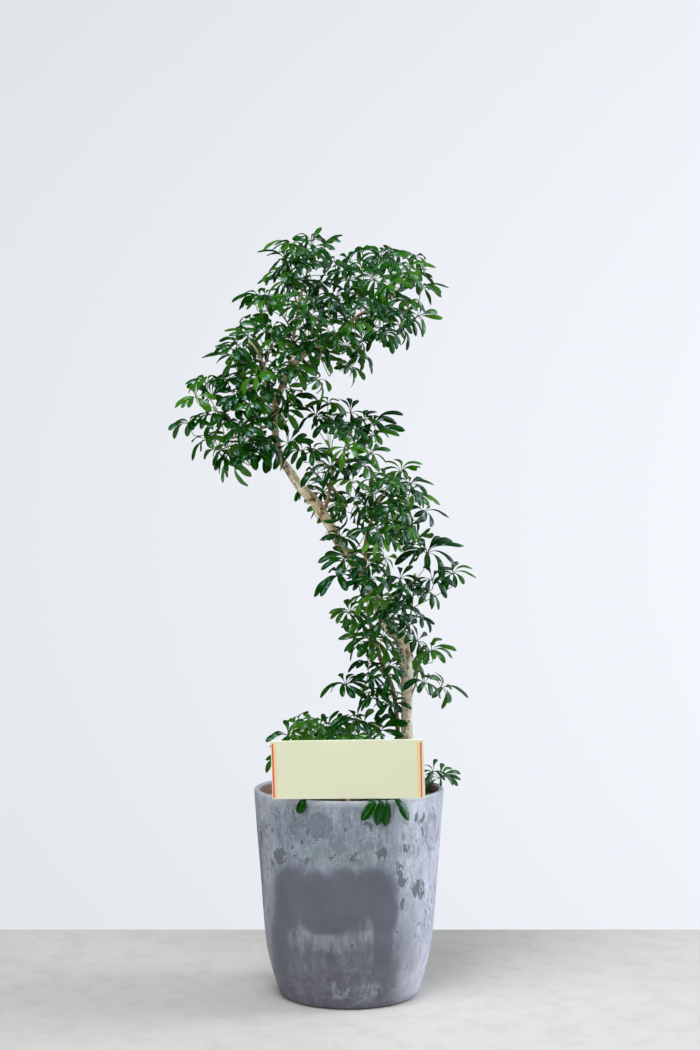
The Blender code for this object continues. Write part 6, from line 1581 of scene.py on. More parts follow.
def make_soil():
    edge = inner_radius(SOIL_TOP) - GAP * 1.5
    turns, rings = 168, 58
    shape = Shape()
    points = [(0.0, 0.0, soil_height(0.0, 0.0))]
    for i in range(1, rings + 1):
        r = edge * i / rings
        for k in range(turns):
            a = math.tau * (k + 0.5 * (i % 2)) / turns if i < rings else math.tau * k / turns
            x, y = r * math.cos(a), r * math.sin(a)
            points.append((x, y, soil_height(x, y)))
    wall = [(inner_radius(z) - GAP * 1.5, z) for z in (0.360, 0.340, 0.30, 0.26, 0.212, 0.17, 0.1265, 0.083)]
    foot = STONES_TOP + GAP
    wall += [(inner_radius(foot) - GAP * 2, foot)]
    for r, z in wall:
        for k in range(turns):
            a = math.tau * k / turns
            points.append((r * math.cos(a), r * math.sin(a), z))
    points.append((0.0, 0.0, foot))
    faces = [(0, 1 + k, 1 + (k + 1) % turns) for k in range(turns)]
    for i in range(rings - 1 + len(wall)):
        a, b = 1 + i * turns, 1 + (i + 1) * turns
        for k in range(turns):
            j = (k + 1) % turns
            faces.append((a + k, b + k, b + j, a + j))
    last = 1 + (rings - 1 + len(wall)) * turns
    faces += [(len(points) - 1, last + (k + 1) % turns, last + k) for k in range(turns)]
    shape.add(points, faces, 0)
    ob = shape.build("soil_bed", [soil_finish()])
    outward(ob)
    cutter = Shape()
    for line, radii in plant_sockets():
        cutter_line, cutter_radii = rounded(line, [r + GAP * 1.5 for r in radii], 0.02)
        bar(cutter, cutter_line, cutter_radii, 20, 0)
    cut_by(ob, cutter.build("sockets", []))
    x0, x1, low, high, y_at = stake_place()
    slot = Shape()
    board_shape(slot, [((x, z), y_at(z)) for z in (low - 0.002, high) for x in (x0 - GAP, x1 + GAP)], STAKE_THICK * 0.5 + GAP, 0)
    cut_by(ob, slot.build("slot", []))
    finish_off(ob, "potting_soil", 60)

    # loose crumbs and fibres on the top
    dice = np.random.default_rng(41)
    crumbs = Shape()
    taken = [(line, radii) for line, radii in plant_sockets()]

    def clear(x, y, r):
        for line, radii in taken:
            for p, q in zip(line, radii):
                if p[2] < 0.43 and math.hypot(p[0] - x, p[1] - y) < q + r + 0.0010:
                    return False
        return not (x0 - r - 0.001 < x < x1 + r + 0.001 and abs(y - y_at(SOIL_TOP)) < r + 0.0035)

    made = 0
    while made < 620:
        a, share = dice.uniform(0, math.tau), math.sqrt(dice.uniform(0, 1))
        size = float(np.clip(dice.lognormal(-6.55, 0.42), 0.0008, 0.0034))
        r = share * (edge - size - 0.001)
        x, y = r * math.cos(a), r * math.sin(a)
        if not clear(x, y, size):
            continue
        grow = np.array((1.0, dice.uniform(0.6, 1.0), dice.uniform(0.5, 0.85))) * size
        lump(crumbs, (x, y, soil_height(x, y) + grow[2] * 0.45), grow, (dice.uniform(0, 6.3), dice.uniform(-0.5, 0.5)),
             0.5, dice.uniform(0, 50), 0, 1)
        made += 1
    made = 0
    while made < 90:
        a, share = dice.uniform(0, math.tau), math.sqrt(dice.uniform(0, 1))
        length = dice.uniform(0.006, 0.024)
        r = share * (edge - length)
        x, y = r * math.cos(a), r * math.sin(a)
        w = dice.uniform(0, math.tau)
        ends = [(x + length * 0.5 * k * math.cos(w), y + length * 0.5 * k * math.sin(w)) for k in (-1, 0, 1)]
        if not all(clear(px, py, 0.0015) for px, py in ends):
            continue
        pts = [np.array((px, py, soil_height(px, py) + 0.0007 + (0.0012 if k == 1 else 0.0)))
               for k, (px, py) in enumerate(ends)]
        line, radii = rounded(pts, [0.00035, 0.00045, 0.0003], 0.004)
        bar(crumbs, line, radii, 5, 0)
        made += 1
    crumbs = finish_off(crumbs.build("soil_crumbs", [ob.data.materials[0]], None, 40), None)

    # nuggets of bark mulch, heaped at the wall on the right and scattered elsewhere
    chips = Shape()
    heap = [(0.1560, 0.052, 0.012), (0.1490, 0.070, 0.011), (0.1620, 0.030, 0.010), (0.1420, 0.050, 0.0095),
            (0.1640, 0.008, 0.0085), (0.1540, 0.030, 0.009), (0.1370, 0.086, 0.010), (-0.1560, 0.040, 0.009),
            (-0.1630, 0.018, 0.0075), (-0.1480, 0.062, 0.0085), (-0.1560, -0.010, 0.007)]
    placed = []
    for x, y, size in heap:
        placed.append((x, y, size))
    while len(placed) < 44:
        a, share = dice.uniform(0, math.tau), math.sqrt(dice.uniform(0.05, 1))
        size = dice.uniform(0.0045, 0.0095)
        r = share * (edge - size * 1.3)
        x, y = r * math.cos(a), r * math.sin(a)
        if clear(x, y, size * 1.2) and all(math.hypot(x - p, y - q) > (size + s) * 1.05 for p, q, s in placed):
            placed.append((x, y, size))
    for k, (x, y, size) in enumerate(placed):
        r = math.hypot(x, y)
        most = edge - size * 1.25
        if r > most:
            x, y = x * most / r, y * most / r
        flat = dice.uniform(0.42, 0.62)
        rise = 0.0085 if k in (0, 1) else 0.0
        grow = (size, size * dice.uniform(0.55, 0.85), size * flat)
        lump(chips, (x, y, soil_height(x, y) + size * flat * 0.7 + rise), grow,
             (dice.uniform(0, 6.3), dice.uniform(-0.45, 0.45)), 0.42, dice.uniform(0, 60), 0, 2)
    for x, y, size in ((0.1515, 0.056, 0.0105), (0.1575, 0.046, 0.009)):
        lump(chips, (x, y, soil_height(x, y) + 0.0045), (size, size * 0.8, size * 0.5), (0.4, 0.1), 0.4,
             size * 900, 0, 2)
    finish_off(chips.build("bark_nuggets", [nugget_finish()], None, 38), None)


def make_stones():
    dice = np.random.default_rng(17)
    shape = Shape()
    pitch = 0.0145
    for level, z in enumerate((POT_FLOOR + 0.0066, POT_FLOOR + 0.0186, POT_FLOOR + 0.0305)):
        span = int(0.16 / pitch) + 1
        for i in range(-span, span + 1):
            for j in range(-span, span + 1):
                x = (i + 0.5 * (j % 2) + 0.33 * level) * pitch + dice.uniform(-0.001, 0.001)
                y = (j * 0.866 + 0.4 * level) * pitch + dice.uniform(-0.001, 0.001)
                size = dice.uniform(0.0058, 0.0070)
                if math.hypot(x, y) + size > inner_radius(z - size * 0.8) - 0.0012:
                    continue
                lump(shape, (x, y, z), (size, size * dice.uniform(0.86, 1.0), size * dice.uniform(0.80, 0.92)),
                     (dice.uniform(0, 6.3), dice.uniform(-0.3, 0.3)), 0.10, dice.uniform(0, 90), 0, 1)
    ob = shape.build("pebble_bed", [pebble_finish()], None, 60)
    finish_off(ob, "drainage_stones")


# ------------------------------------------------------------- card and stake
CARD_CORNERS = [(270.5, 741.0), (423.6, 739.2), (425.4, 798.2), (272.7, 799.0)]
card_low = place(349, 798.6, CARD_FOOT * 100).z
card_high = place(349, 740.1, CARD_HEAD * 100).z


def card_point(u, v):
    """Where the card's middle plane is, u from left to right and v from foot to head."""
    lt, rt, rb, lb = [np.array(place(x, y, (CARD_HEAD if k < 2 else CARD_FOOT) * 100))[[0, 2]]
                      for k, (x, y) in enumerate(CARD_CORNERS)]
    low, high = lb + (rb - lb) * u, lt + (rt - lt) * u
    x, z = low + (high - low) * v
    y = CARD_FOOT + (CARD_HEAD - CARD_FOOT) * (z - card_low) / (card_high - card_low)
    return np.array((x, y, z))


def card_face():
    up = unit(np.array((0.0, CARD_HEAD - CARD_FOOT, card_high - card_low)))
    return np.array((0.0, up[2], -up[1]))       # out of the back of the card


def board_shape(shape, corners, half, slot):
    """A board from its four middle-plane corners, given as ((x, z), y): low left, low right, high left, high right."""
    back = card_face()
    points = []
    for (x, z), y in corners:
        points.append(np.array((x, y, z)) - back * half)
    for (x, z), y in corners:
        points.append(np.array((x, y, z)) + back * half)
    faces = [(0, 1, 3, 2), (5, 4, 6, 7), (4, 0, 2, 6), (1, 5, 7, 3), (4, 5, 1, 0), (2, 3, 7, 6)]
    shape.add(points, faces, slot)


def stake_place():
    lean = (CARD_HEAD - CARD_FOOT) / (card_high - card_low)
    back = (CARD_THICK + STAKE_THICK) * 0.5 + GAP * 1.4
    low, high = card_low - STAKE_BURIED, card_low + 0.085
    x = place(348, 790, CARD_FOOT * 100).x
    return x - STAKE_WIDTH * 0.5, x + STAKE_WIDTH * 0.5, low, high, lambda z: CARD_FOOT + back + lean * (z - card_low)


def make_card():
    cream = card_finish("card_cream", (0.712, 0.730, 0.500), (0.790, 0.808, 0.588))
    red = card_finish("card_red", (0.720, 0.085, 0.060), (0.820, 0.120, 0.090))
    gold = card_finish("card_gold", (0.800, 0.600, 0.240), (0.880, 0.700, 0.330))
    rim = card_finish("card_edge", (0.860, 0.860, 0.660), (0.900, 0.900, 0.730), 0.6)
    # columns across the front, in order, as (at the foot, at the head, what is to the right)
    columns = [(0.0, 0.0, 0), (0.0042, 0.0062, 1), (0.0162, 0.0182, 0), (0.0185, 0.0205, 2), (0.0310, 0.0330, 0),
               (0.26, 0.26, 0), (0.5, 0.5, 0), (0.74, 0.74, 0), (0.9520, 0.9545, 2), (0.9670, 0.9700, 0),
               (0.9710, 0.9745, 1), (0.9812, 0.9870, 0), (1.0, 1.0, 0)]
    rows = [0.0, 0.022, 0.25, 0.5, 0.75, 0.958, 1.0]
    back = card_face()
    half = CARD_THICK * 0.5
    ease = 0.00035
    shape = Shape()
    points, faces, slots = [], [], []

    def layer(offset, inset):
        start = len(points)
        for v in rows:
            for low, high, _ in columns:
                u = low + (high - low) * v
                uu = min(max(u, inset / 0.303), 1 - inset / 0.303)
                vv = min(max(v, inset / 0.118), 1 - inset / 0.118)
                p = card_point(uu, vv) + back * offset
                bow = 0.0011 * (1.0 - (2 * u - 1) ** 2) - 0.0005      # a board this long is never quite flat
                points.append(p + back * bow * (0.25 + 0.75 * v))
        return start

    w = len(columns)
    front = layer(-half, ease)
    rear = layer(half, ease)
    for r in range(len(rows) - 1):
        for c in range(w - 1):
            a = front + r * w + c
            faces.append((a, a + 1, a + w + 1, a + w))
            slots.append(columns[c][2] if 0 < r < len(rows) - 2 else 0)
            b = rear + r * w + c
            faces.append((b + 1, b, b + w, b + w + 1))
            slots.append(0)
    # the edge: two more rings between the faces
    loop = [(0, c) for c in range(w)] + [(r, w - 1) for r in range(1, len(rows))]
    loop += [(len(rows) - 1, c) for c in range(w - 2, -1, -1)] + [(r, 0) for r in range(len(rows) - 2, 0, -1)]
    rings = [[front + r * w + c for r, c in loop]]
    for offset in (-half + ease, half - ease):
        ring = []
        for r, c in loop:
            low, high, _ = columns[c]
            v = rows[r]
            u = low + (high - low) * v
            ring.append(len(points))
            bow = 0.0011 * (1.0 - (2 * u - 1) ** 2) - 0.0005
            points.append(card_point(u, v) + back * offset + back * bow * (0.25 + 0.75 * v))
        rings.append(ring)
    rings.append([rear + r * w + c for r, c in loop])
    m = len(loop)
    for one, two in zip(rings, rings[1:]):
        for k in range(m):
            faces.append((one[k], two[k], two[(k + 1) % m], one[(k + 1) % m]))
            slots.append(3)
    shape.add(points, faces, slots)
    ob = shape.build("card_board", [cream, red, gold, rim], None, 25)
    outward(ob)
    finish_off(ob, "message_card", 25)


def make_stake():
    x0, x1, low, high, y_at = stake_place()
    shape = Shape()
    rows = 26
    section = []
    half_x, half_y, ease = (x1 - x0) * 0.5, STAKE_THICK * 0.5, 0.0007
    for sx, sy in ((1, 1), (-1, 1), (-1, -1), (1, -1)):
        corner = [(ease * math.cos(a), ease * math.sin(a)) for a in (0.0, math.pi / 4, math.pi / 2)]
        turn = {(1, 1): 0, (-1, 1): 1, (-1, -1): 2, (1, -1): 3}[(sx, sy)]
        for cx, cy in corner:
            for _ in range(turn):
                cx, cy = -cy, cx
            section.append((sx * (half_x - ease) + cx, sy * (half_y - ease) + cy))
    back = card_face()
    centre = (x0 + x1) * 0.5
    points, faces = [], []
    n = len(section)
    for r in range(rows + 1):
        share = r / rows
        z = low + (high - low) * share
        taper = min(1.0, 0.30 + share * 9.0)
        shrink = 0.93 if r == rows else 1.0
        for x, y in section:
            wob = 1.0 + 0.02 * noise.noise(Vector((x * 300, z * 60, 2.0)))
            points.append(np.array((centre + x * taper * shrink * wob, y_at(z), z)) + back * y * shrink * wob)
    for r in range(rows):
        for k in range(n):
            j = (k + 1) % n
            faces.append((r * n + k, r * n + j, (r + 1) * n + j, (r + 1) * n + k))
    faces.append(tuple(reversed(range(n))))
    faces.append(tuple(range(rows * n, (rows + 1) * n)))
    shape.add(points, faces, 0)
    ob = shape.build("stake_lath", [wood_finish()])
    outward(ob)
    finish_off(ob, "card_stake", 35)


# ------------------------------------------------------------------- the wood
SCARS = [(313.8, 499.6, 3.2), (311.0, 501.5, 2.0), (286.8, 465.5, 1.7), (284.4, 470.5, 1.7), (287.2, 476.7, 1.7),
         (294.8, 487.2, 1.5), (321.8, 507.0, 1.8), (319.8, 517.4, 2.0), (335.6, 530.0, 2.0), (281.0, 452.0, 1.6),
         (277.0, 440.0, 1.4), (401.6, 649.3, 1.9), (402.6, 656.7, 1.9), (407.5, 668.0, 1.5), (405.5, 700.0, 1.4),
         (409.0, 720.0, 1.6), (404.5, 731.0, 1.4), (276.0, 408.0, 1.8), (279.0, 394.0, 1.7), (352.0, 556.0, 2.0)]
RUSTY = [(406.5, 640.0, 2.8, 7.5), (407.5, 653.0, 2.4, 6.5), (404.5, 630.0, 2.4, 5.0), (311.5, 497.0, 4.5, 4.5),
         (321.0, 515.0, 3.5, 6.0), (288.0, 474.0, 2.0, 7.0), (279.0, 446.0, 2.0, 8.0)]
WARM = {"branch_middle": 1.0, "branch_right": 0.8}


def wood_piece(name, node, lines, finish, voxel, seed, scars, step=0.003):
    """Grown wood: bars along lines, melted into one skin, with rings, scars and sawn ends."""
    shape = Shape()
    samples, reach, places, firsts, frames = [], [], [], [], []
    along_all = []
    for line, radii, warmth in lines:
        path, rad = rounded(line, radii, step)
        dice = np.random.default_rng(seed + len(samples))
        run = np.concatenate([[0], np.cumsum(np.linalg.norm(np.diff(path, axis=0), axis=1))])
        swell = np.ones(len(path))
        at = 0.012
        rings = []
        while at < run[-1]:
            rings.append(at)
            swell += 0.035 * np.exp(-((run - at) / 0.0042) ** 2)
            at += dice.uniform(0.013, 0.030)
        bar(shape, path, rad * swell, 28, 0, blunt=False)
        firsts.append(len(samples))
        side = None
        for k in range(len(path)):
            t = unit(path[min(k + 1, len(path) - 1)] - path[max(k - 1, 0)])
            if side is None:
                side = np.cross(t, (1.0, 0.0, 0.0))
            side = unit(side - t * float(side @ t))
            frames.append((side, np.cross(t, side)))
            samples.append(path[k])
            reach.append(rad[k])
            places.append((len(along_all), run[k]))
        along_all.append((path, rad, run, rings, warmth))
    ob = shape.build(name, [finish])
    outward(ob)
    melt = ob.modifiers.new("melt", "REMESH")
    melt.mode = "VOXEL"
    melt.voxel_size = voxel
    melt.adaptivity = 0.0
    soft = ob.modifiers.new("soft", "SMOOTH")
    soft.factor = 0.5
    soft.iterations = 5
    settled(ob)
    mesh = ob.data
    co = np.empty(len(mesh.vertices) * 3)
    mesh.vertices.foreach_get("co", co)
    co = co.reshape(-1, 3)
    nrm = np.empty(len(mesh.vertices) * 3)
    mesh.vertices.foreach_get("normal", nrm)
    nrm = nrm.reshape(-1, 3)
    samples, reach = np.asarray(samples), np.asarray(reach)
    from mathutils.kdtree import KDTree
    tree = KDTree(len(samples))
    for k, p in enumerate(samples):
        tree.insert(p, k)
    tree.balance()
    notes = np.zeros((len(co), 3))
    ways = np.zeros((len(co), 3))
    warm = np.zeros(len(co))
    move = np.zeros(len(co))
    for k, p in enumerate(co):
        _, near, _ = tree.find(p)
        which, run_at = places[near]
        path, rad, run, rings, warmth = along_all[which]
        # how far along, between the samples
        own = near - firsts[which]
        t = unit(path[min(own + 1, len(path) - 1)] - path[max(own - 1, 0)])
        s = run_at + float((p - samples[near]) @ t)
        off = p - samples[near]
        ways[k] = (float(off @ frames[near][0]) + which * 0.19, float(off @ frames[near][1]), s)
        warm[k] = warmth * min(1.0, s / 0.02)
        v = Vector(p)
        move[k] = 0.00042 * noise.noise(v * 70) + 0.00020 * noise.noise(v * 210) + 0.00010 * noise.noise(v * 480)
        for ring in rings:
            away = s - ring - 0.0012 * noise.noise(v * 90 + Vector((3, 1, 7)))
            if abs(away) < 0.004:
                strong = 0.55 + 0.9 * noise.noise(v * 55 + Vector((9, 2, 4)))
                line_here = max(0.0, strong) * math.exp(-(away / 0.00075) ** 2)
                move[k] -= 0.00022 * line_here
                notes[k, 1] = max(notes[k, 1], min(line_here, 1.0))
        end = path[-1]
        if (p - end) @ t > -0.0009 and np.linalg.norm(p - end) < rad[-1] * 1.02:
            notes[k, 2] = 1.0
    dice = np.random.default_rng(seed + 5)
    spots = []
    for px, py, size in scars:
        # the nearest wood on the sheet, on its side towards the viewer
        flat = np.array([((q[0] / (UNIT * (1 + q[1] / EYE_DISTANCE))) + SHEET_AXIS_X,
                          SHEET_EYE_Y - (q[2] - EYE_HEIGHT) / (UNIT * (1 + q[1] / EYE_DISTANCE))) for q in samples])
        k = int(np.argmin(np.hypot(flat[:, 0] - px, flat[:, 1] - py)))
        spots.append((samples[k] + np.array(((px - flat[k, 0]) * UNIT, -reach[k] * 0.9, 0.0)), size * 0.0011))
    for _ in range(int(len(samples) * 0.085)):
        k = int(dice.integers(0, len(samples)))
        a = dice.uniform(0, math.tau)
        spots.append((samples[k] + reach[k] * np.array((math.cos(a), math.sin(a), 0.0)), dice.uniform(0.0008, 0.0019)))
    for spot, size in spots:
        away = np.linalg.norm(co - spot, axis=1)
        for k in np.nonzero(away < size * 4.0 + 0.001)[0]:
            d = away[k] / size
            move[k] += size * 0.22 * math.exp(-(d - 1.5) ** 2 * 1.6) - size * 0.20 * math.exp(-d * d * 1.2)
            notes[k, 0] = max(notes[k, 0], min(1.0, 1.7 * math.exp(-d * d * 0.75)))
    k = UNIT * (1 + co[:, 1] / EYE_DISTANCE)
    sheet_x, sheet_y = co[:, 0] / k + SHEET_AXIS_X, SHEET_EYE_Y - (co[:, 2] - EYE_HEIGHT) / k
    for px, py, half_x, half_y in RUSTY if scars else []:
        away = ((sheet_x - px) / half_x) ** 2 + ((sheet_y - py) / half_y) ** 2
        near = away < 6.0
        rag = np.array([noise.noise(Vector(p) * 160) for p in co[near]]) if near.any() else 0.0
        warm[near] = np.maximum(warm[near], 1.0 * np.exp(-np.maximum(away[near] + rag * 1.4, 0.0) ** 2))
    move[notes[:, 2] > 0.5] *= 0.4
    co = co + nrm * move[:, None]
    mesh.vertices.foreach_set("co", co.ravel())
    a = mesh.attributes.new("bark_at", "FLOAT_VECTOR", "POINT")
    a.data.foreach_set("vector", notes.astype(np.float32).ravel())
    a = mesh.attributes.new("bark_way", "FLOAT_VECTOR", "POINT")
    a.data.foreach_set("vector", ways.astype(np.float32).ravel())
    a = mesh.attributes.new("bark_warm", "FLOAT", "POINT")
    a.data.foreach_set("value", warm.astype(np.float32))
    mesh.update()
    return finish_off(ob, node, 75)


def make_wood():
    trunk_lines = [(*wood_line(WOOD["trunk_and_branches"]), 0.0)]
    for name, (carrier, points) in BRANCHES.items():
        points = list(points)
        points[0] = (*on_path(carrier_points(carrier), *points[0][:2]), points[0][3])
        trunk_lines.append((*wood_line(points), WARM.get(name, 0.7)))
    wood_piece("trunk_bark", "trunk_and_branches", trunk_lines, bark_finish("bark_old", False), 0.00115, 3, SCARS)
    wood_piece("rear_stem_bark", "rear_stem", [(*wood_line(WOOD["rear_stem"]), 0.6)], bark_finish("bark_young", True),
               0.0009, 11, [])


# ---------------------------------------------------------------- the foliage
def leaf_slots():
    top = leaf_finish("leaf_top", (0.0002, 0.016, 0.0003), (0.0040, 0.050, 0.0008), (0.0620, 0.190, 0.0070),
                      (0.026, 0.150, 0.008), (0.060, 0.400, 0.006), 0.09, 0.10, 0.18, 0.34)
    under = leaf_finish("leaf_under", (0.020, 0.100, 0.014), (0.048, 0.180, 0.026), (0.110, 0.300, 0.050),
                        (0.170, 0.340, 0.090), (0.200, 0.600, 0.040), 0.30, 0.42, 0.56, 0.25)
    stalk = stalk_finish("leaf_stalk", (0.105, 0.220, 0.050), (0.220, 0.340, 0.095), 700.0)
    twig = stalk_finish("green_twig", (0.120, 0.130, 0.050), (0.290, 0.250, 0.120), 320.0)
    fresh_top = leaf_finish("young_leaf_top", (0.045, 0.190, 0.012), (0.100, 0.330, 0.020), (0.220, 0.490, 0.045),
                            (0.320, 0.560, 0.100), (0.330, 0.740, 0.040), 0.26, 0.28, 0.42, 0.35)
    fresh_under = leaf_finish("young_leaf_under", (0.110, 0.300, 0.040), (0.190, 0.440, 0.060), (0.310, 0.580, 0.100),
                              (0.390, 0.620, 0.180), (0.380, 0.760, 0.080), 0.34, 0.40, 0.55, 0.25)
    return [top, under, stalk, twig, fresh_top, fresh_under]


YOUNG = {"spray_young": 1.0}

# places on the sheet where the leaves are lighter (or, below 0, darker): x, y, reach, how much. The lighter places are
# partly paler leaves and partly painted light; the darker ones are painted shade.
LEAF_TONE_AND_PAINTED_LIGHT = [(320, 233, 12, 0.15), (268, 279, 14, 0.10), (412, 308, 15, 0.30), (438, 313, 11, 0.30), (343, 328, 18, 0.25),
           (320, 360, 13, 0.32), (356, 364, 15, 0.25), (291, 416, 11, 0.35), (191, 397, 11, 0.42), (190, 421, 9, 0.22), (232, 466, 17, 0.42),
           (210, 452, 12, 0.34), (219, 402, 10, 0.20), (350, 302, 25, -0.16), (238, 432, 25, -0.16), (343, 458, 20, -0.15),
           (394, 481, 16, 0.25), (337, 488, 8, 0.30), (342, 615, 15, 0.32), (355, 641, 12, 0.38), (375, 538, 11, 0.30),
           (396, 545, 9, 0.28), (370, 571, 14, -0.22), (396, 597, 16, -0.25), (394, 622, 16, -0.28), (380, 685, 16, -0.20),
           (318, 741, 16, 0.12), (296, 737, 14, 0.15), (360, 736, 14, 0.05)]
WIDER = {"spray_left": 0.315, "spray_crown_left": 0.298, "spray_base_right": 0.215, "spray_base": 0.290}


def leaf_tone_and_painted_light_at(hub):
    k = UNIT * (1 + hub[1] / EYE_DISTANCE)
    px, py = hub[0] / k + SHEET_AXIS_X, SHEET_EYE_Y - (hub[2] - EYE_HEIGHT) / k
    return sum(much * math.exp(-((px - x) ** 2 + (py - y) ** 2) / reach ** 2) for x, y, reach, much in LEAF_TONE_AND_PAINTED_LIGHT)


def bud(shape, at, ahead, dice, slot, size=1.0):
    """The growing point: a few narrow scales closed round each other."""
    ahead = unit(ahead)
    a = unit(np.cross(ahead, (0.2, 1.0, 0.1)))
    b = np.cross(ahead, a)
    for k in range(4):
        w = math.tau * k / 4 + dice.uniform(0, 1)
        out = a * math.cos(w) + b * math.sin(w)
        tip = at + ahead * dice.uniform(0.008, 0.015) * size + out * dice.uniform(0.0010, 0.0035) * size
        path, up = arched(at - ahead * 0.001 + out * 0.0004, tip, out, 0.10, 0.0)
        leaflet(shape, path, up, 0.0034 * size, 0.75, dice, slot, stalked=False)


def make_foliage():
    leaves, stems = settle()
    materials = leaf_slots()
    by_spray = {}
    for leaf in leaves:
        by_spray.setdefault(leaf.spray, []).append(leaf)
    for index, (name, (carrier, _, _)) in enumerate(SPRAYS.items()):
        dice = np.random.default_rng(1000 + index)
        shape = Shape()
        line, radii = stem_line(name)
        path, rad = rounded([np.array(p) for p in line], radii, 0.004)
        run = np.concatenate([[0], np.cumsum(np.linalg.norm(np.diff(path, axis=0), axis=1))])
        joint = 0.006
        while joint < run[-1]:
            rad = rad * (1.0 + 0.20 * np.exp(-((run - joint) / 0.0016) ** 2))
            joint += dice.uniform(0.006, 0.012)
        bar(shape, path, rad, 10, 3, 0.5)
        bud(shape, path[-1], path[-1] - path[-3], dice, (4, 5))
        for leaf in by_spray.get(name, []):
            young = YOUNG.get(name, 0.0)
            # the leaf's own tone, plus the painted light and shade of the places on the sheet
            tone = dice.normal(0.58 if "_base_" in name else 0.42, 0.20) + leaf_tone_and_painted_light_at(np.array(leaf.hub))
            tone = float(np.clip(tone, 0.02, 0.98))
            slots = (4, 5) if dice.uniform() < young else (0, 1)
            wide = next((w for start, w in WIDER.items() if name.startswith(start)), 0.258)
            grow_leaf(shape, leaf, dice, tone, slots, 2, wide)
        ob = shape.build("foliage_" + name.replace("spray_", ""), materials, "leaf_at")
        finish_off(ob, name)
    for index, (name, (foot, hub, over, inner)) in enumerate(RIM_LEAVES.items()):
        dice = np.random.default_rng(2000 + index)
        shape = Shape()
        line, radii = rim_stem(foot, hub)
        path, rad = rounded(line, radii, 0.006)
        bar(shape, path, rad, 8, 2, 0.5)
        f = 1.0 + hub[1] * 0.01 / EYE_DISTANCE
        hub_at = np.array(line[-1])
        lump(shape, hub_at, (0.0019, 0.0019, 0.0014), (0, 0), 0.1, 3.0, 2, 1)
        for rim_x, tip_x, tip_y in over:
            tip = np.array(place(tip_x, tip_y + 2.2, -20.0))
            edge_x = (rim_x - SHEET_AXIS_X) * UNIT * f
            edge = np.array((edge_x, -math.sqrt(POT_RIM_RADIUS ** 2 - edge_x ** 2), 0.0))
            out_way = unit(edge)
            knots = [hub_at, edge - out_way * 0.0045 + (0, 0, RIM_TOP_Z + 0.0004),
                     edge + out_way * 0.0060 + (0, 0, RIM_TOP_Z - 0.0030),
                     edge + (np.array((tip[0], tip[1], 0)) - edge) * 0.4 * np.array((1, 0, 1)) + out_way * 0.0088
                     + (0, 0, RIM_TOP_Z - 0.018),
                     np.array((tip[0], edge[1] - 0.0100, tip[2]))]
            path, _ = rounded(knots, [1.0] * len(knots), 0.002)
            path = even(path, STATIONS)
            ahead = np.gradient(path, STATIONS, axis=0)
            ahead /= np.linalg.norm(ahead, axis=1)[:, None]
            up = np.repeat((out_way * 0.8 + (0.0, 0.0, 0.6))[None, :], len(path), axis=0)
            up -= ahead * np.sum(up * ahead, axis=1)[:, None]
            leaflet(shape, path, up, 0.0200, 0.34 + dice.uniform(-0.06, 0.12), dice, (0, 1), True, 1.20, 0.78)
        for k, (tip_x, tip_depth) in enumerate(inner):
            tip = np.array(((tip_x - SHEET_AXIS_X) * UNIT * f, tip_depth * 0.01, 0.3985 if k % 2 else 0.4015))
            path, up = arched(hub_at, tip, np.array((0.0, 0.0, 1.0)), 0.07, dice.uniform(-0.04, 0.04))
            leaflet(shape, path, up, 0.0150, 0.45 + dice.uniform(-0.1, 0.1), dice, (0, 1))
        ob = shape.build("foliage_" + name.replace("spray_", ""), materials, "leaf_at")
        finish_off(ob, name)


def even(path, stations):
    run = np.concatenate([[0], np.cumsum(np.linalg.norm(np.diff(path, axis=0), axis=1))])
    run /= run[-1]
    return np.stack([np.interp(stations, run, path[:, k]) for k in range(3)], axis=1)


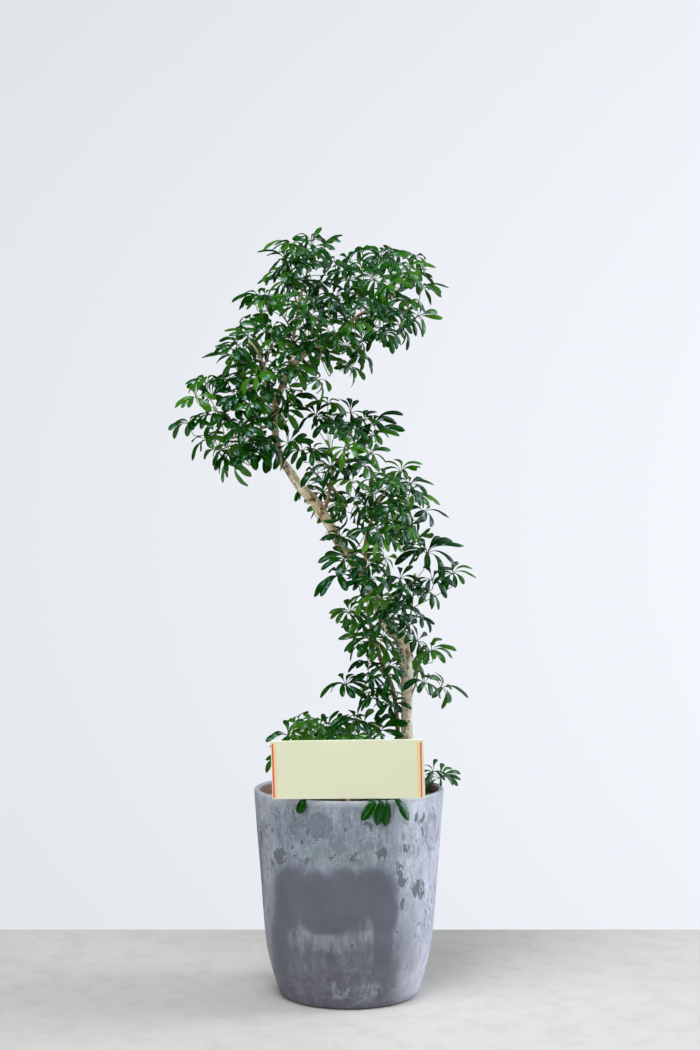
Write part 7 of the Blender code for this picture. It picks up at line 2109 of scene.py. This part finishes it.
# ------------------------------------------------------------ stage and lights
def make_stage():
    shape = Shape()
    xs, ys = np.linspace(-7.0, 7.0, 29), np.linspace(-7.0, 0.555, 17)
    points = [(x, y, 0.0) for y in ys for x in xs] + [(x, y, -0.02) for y in ys for x in xs]
    w, h = len(xs), len(ys)
    m = w * h
    faces = []
    for j in range(h - 1):
        for i in range(w - 1):
            a = j * w + i
            faces.append((a, a + 1, a + w + 1, a + w))
            faces.append((m + a + 1, m + a, m + a + w, m + a + w + 1))
    rim = [i for i in range(w)] + [j * w + w - 1 for j in range(1, h)] + [(h - 1) * w + i for i in range(w - 2, -1, -1)]
    rim += [j * w for j in range(h - 2, 0, -1)]
    for a, b in zip(rim, rim[1:] + rim[:1]):
        faces.append((a, m + a, m + b, b))
    shape.add(points, faces, 0)
    floor = shape.build("studio_floor", [floor_finish()], None, 30)
    outward(floor)
    for v in floor.data.vertices:
        v.co.z -= 0.0002

    world = bpy.data.worlds.new("studio")
    bpy.context.scene.world = world
    world.use_nodes = True
    tree = world.node_tree
    tree.nodes.clear()

    def node(kind, *inputs, **settings):
        n = tree.nodes.new("ShaderNode" + kind)
        for key, value in settings.items():
            setattr(n, key, value)
        for k, value in enumerate(inputs):
            if isinstance(value, bpy.types.NodeSocket):
                tree.links.new(value, n.inputs[k])
            elif value is not None:
                n.inputs[k].default_value = value
        return n

    way = node("TexCoord").outputs["Generated"]
    x, y, z = node("SeparateXYZ", way).outputs
    # what the eye sees: a white wall, lighter to the right
    seen = node("Math", x, 0.30, 0.885, operation="MULTIPLY_ADD").outputs[0]
    seen = node("Math", node("Math", z, z, operation="MULTIPLY").outputs[0], -0.70, seen, operation="MULTIPLY_ADD").outputs[0]
    seen = node("Math", seen, 0.965, operation="MINIMUM").outputs[0]
    wall = node("Background", (0.955, 0.990, 1.045, 1.0), seen)
    # what lights the plant: a bright window side, right and a little behind, in a dim room
    window = node("VectorMath", way, (0.80, 0.33, 0.50), operation="DOT_PRODUCT").outputs["Value"]
    window = node("Math", node("Math", window, 0.0, operation="MAXIMUM").outputs[0], 2.2, operation="POWER").outputs[0]
    lit = node("Math", window, 1.05, 0.07, operation="MULTIPLY_ADD").outputs[0]
    rear = node("Math", y, 0.0, operation="MAXIMUM").outputs[0]
    lit = node("Math", rear, 0.22, lit, operation="MULTIPLY_ADD").outputs[0]
    room = node("Background", (0.90, 0.95, 1.0, 1.0), lit)
    shine = node("Math", node("Math", window, 2.6, operation="POWER").outputs[0], 1.60, 0.012, operation="MULTIPLY_ADD").outputs[0]
    shine = node("Background", (0.80, 0.92, 1.0, 1.0), shine)
    ray = node("LightPath").outputs
    both = node("MixShader", ray["Is Glossy Ray"], room.outputs[0], shine.outputs[0])
    both = node("MixShader", ray["Is Camera Ray"], both.outputs[0], wall.outputs[0])
    tree.links.new(both.outputs[0], node("OutputWorld").inputs[0])

    def area(name, at, aim, size, power, colour, shiny=True, lights=True):
        data = bpy.data.lights.new(name, "AREA")
        data.shape = "RECTANGLE"
        data.size, data.size_y = size
        data.energy = power
        data.color = colour
        ob = bpy.data.objects.new(name, data)
        ob.location = at
        ob.rotation_euler = (Vector(aim) - Vector(at)).to_track_quat("-Z", "Y").to_euler()
        ob.visible_camera = False
        ob.visible_glossy = shiny
        ob.visible_diffuse = lights
        ob.visible_transmission = lights
        bpy.context.scene.collection.objects.link(ob)

    area("window", (2.6, 0.1, 1.7), (0.0, 0.0, 0.8), (1.2, 1.6), 50.0, (0.93, 0.97, 1.0))
    area("overhead", (-0.5, -1.2, 3.3), (0.0, 0.0, 0.9), (1.3, 1.3), 72.0, (0.93, 0.98, 1.0))
    area("sheen", (-2.1, -1.9, 2.6), (0.0, 0.0, 1.0), (1.1, 1.1), 50.0, (0.78, 0.91, 1.0), True, False)
    area("fill", (-1.5, -4.0, 1.7), (0.0, 0.0, 0.6), (2.4, 1.8), 94.0, (1.0, 1.0, 1.0), False)

    camera = bpy.data.cameras.new("camera")
    camera.sensor_fit = "AUTO"
    camera.sensor_width = 36.0
    camera.lens = 62.33
    camera.clip_start = 0.05
    camera.clip_end = 60.0
    eye = bpy.data.objects.new("camera", camera)
    eye.location = ((350.0 - SHEET_AXIS_X) * UNIT, -EYE_DISTANCE, EYE_HEIGHT)
    eye.rotation_euler = (math.pi / 2, 0.0, 0.0)
    bpy.context.scene.collection.objects.link(eye)
    bpy.context.scene.camera = eye
    view = bpy.context.scene.view_settings
    view.view_transform = "Standard"
    view.look = "None"
    view.exposure = 0.0
    view.gamma = 1.0


make_stage()
make_planter()
make_stones()
make_soil()
make_card()
make_stake()
make_wood()
make_foliage()
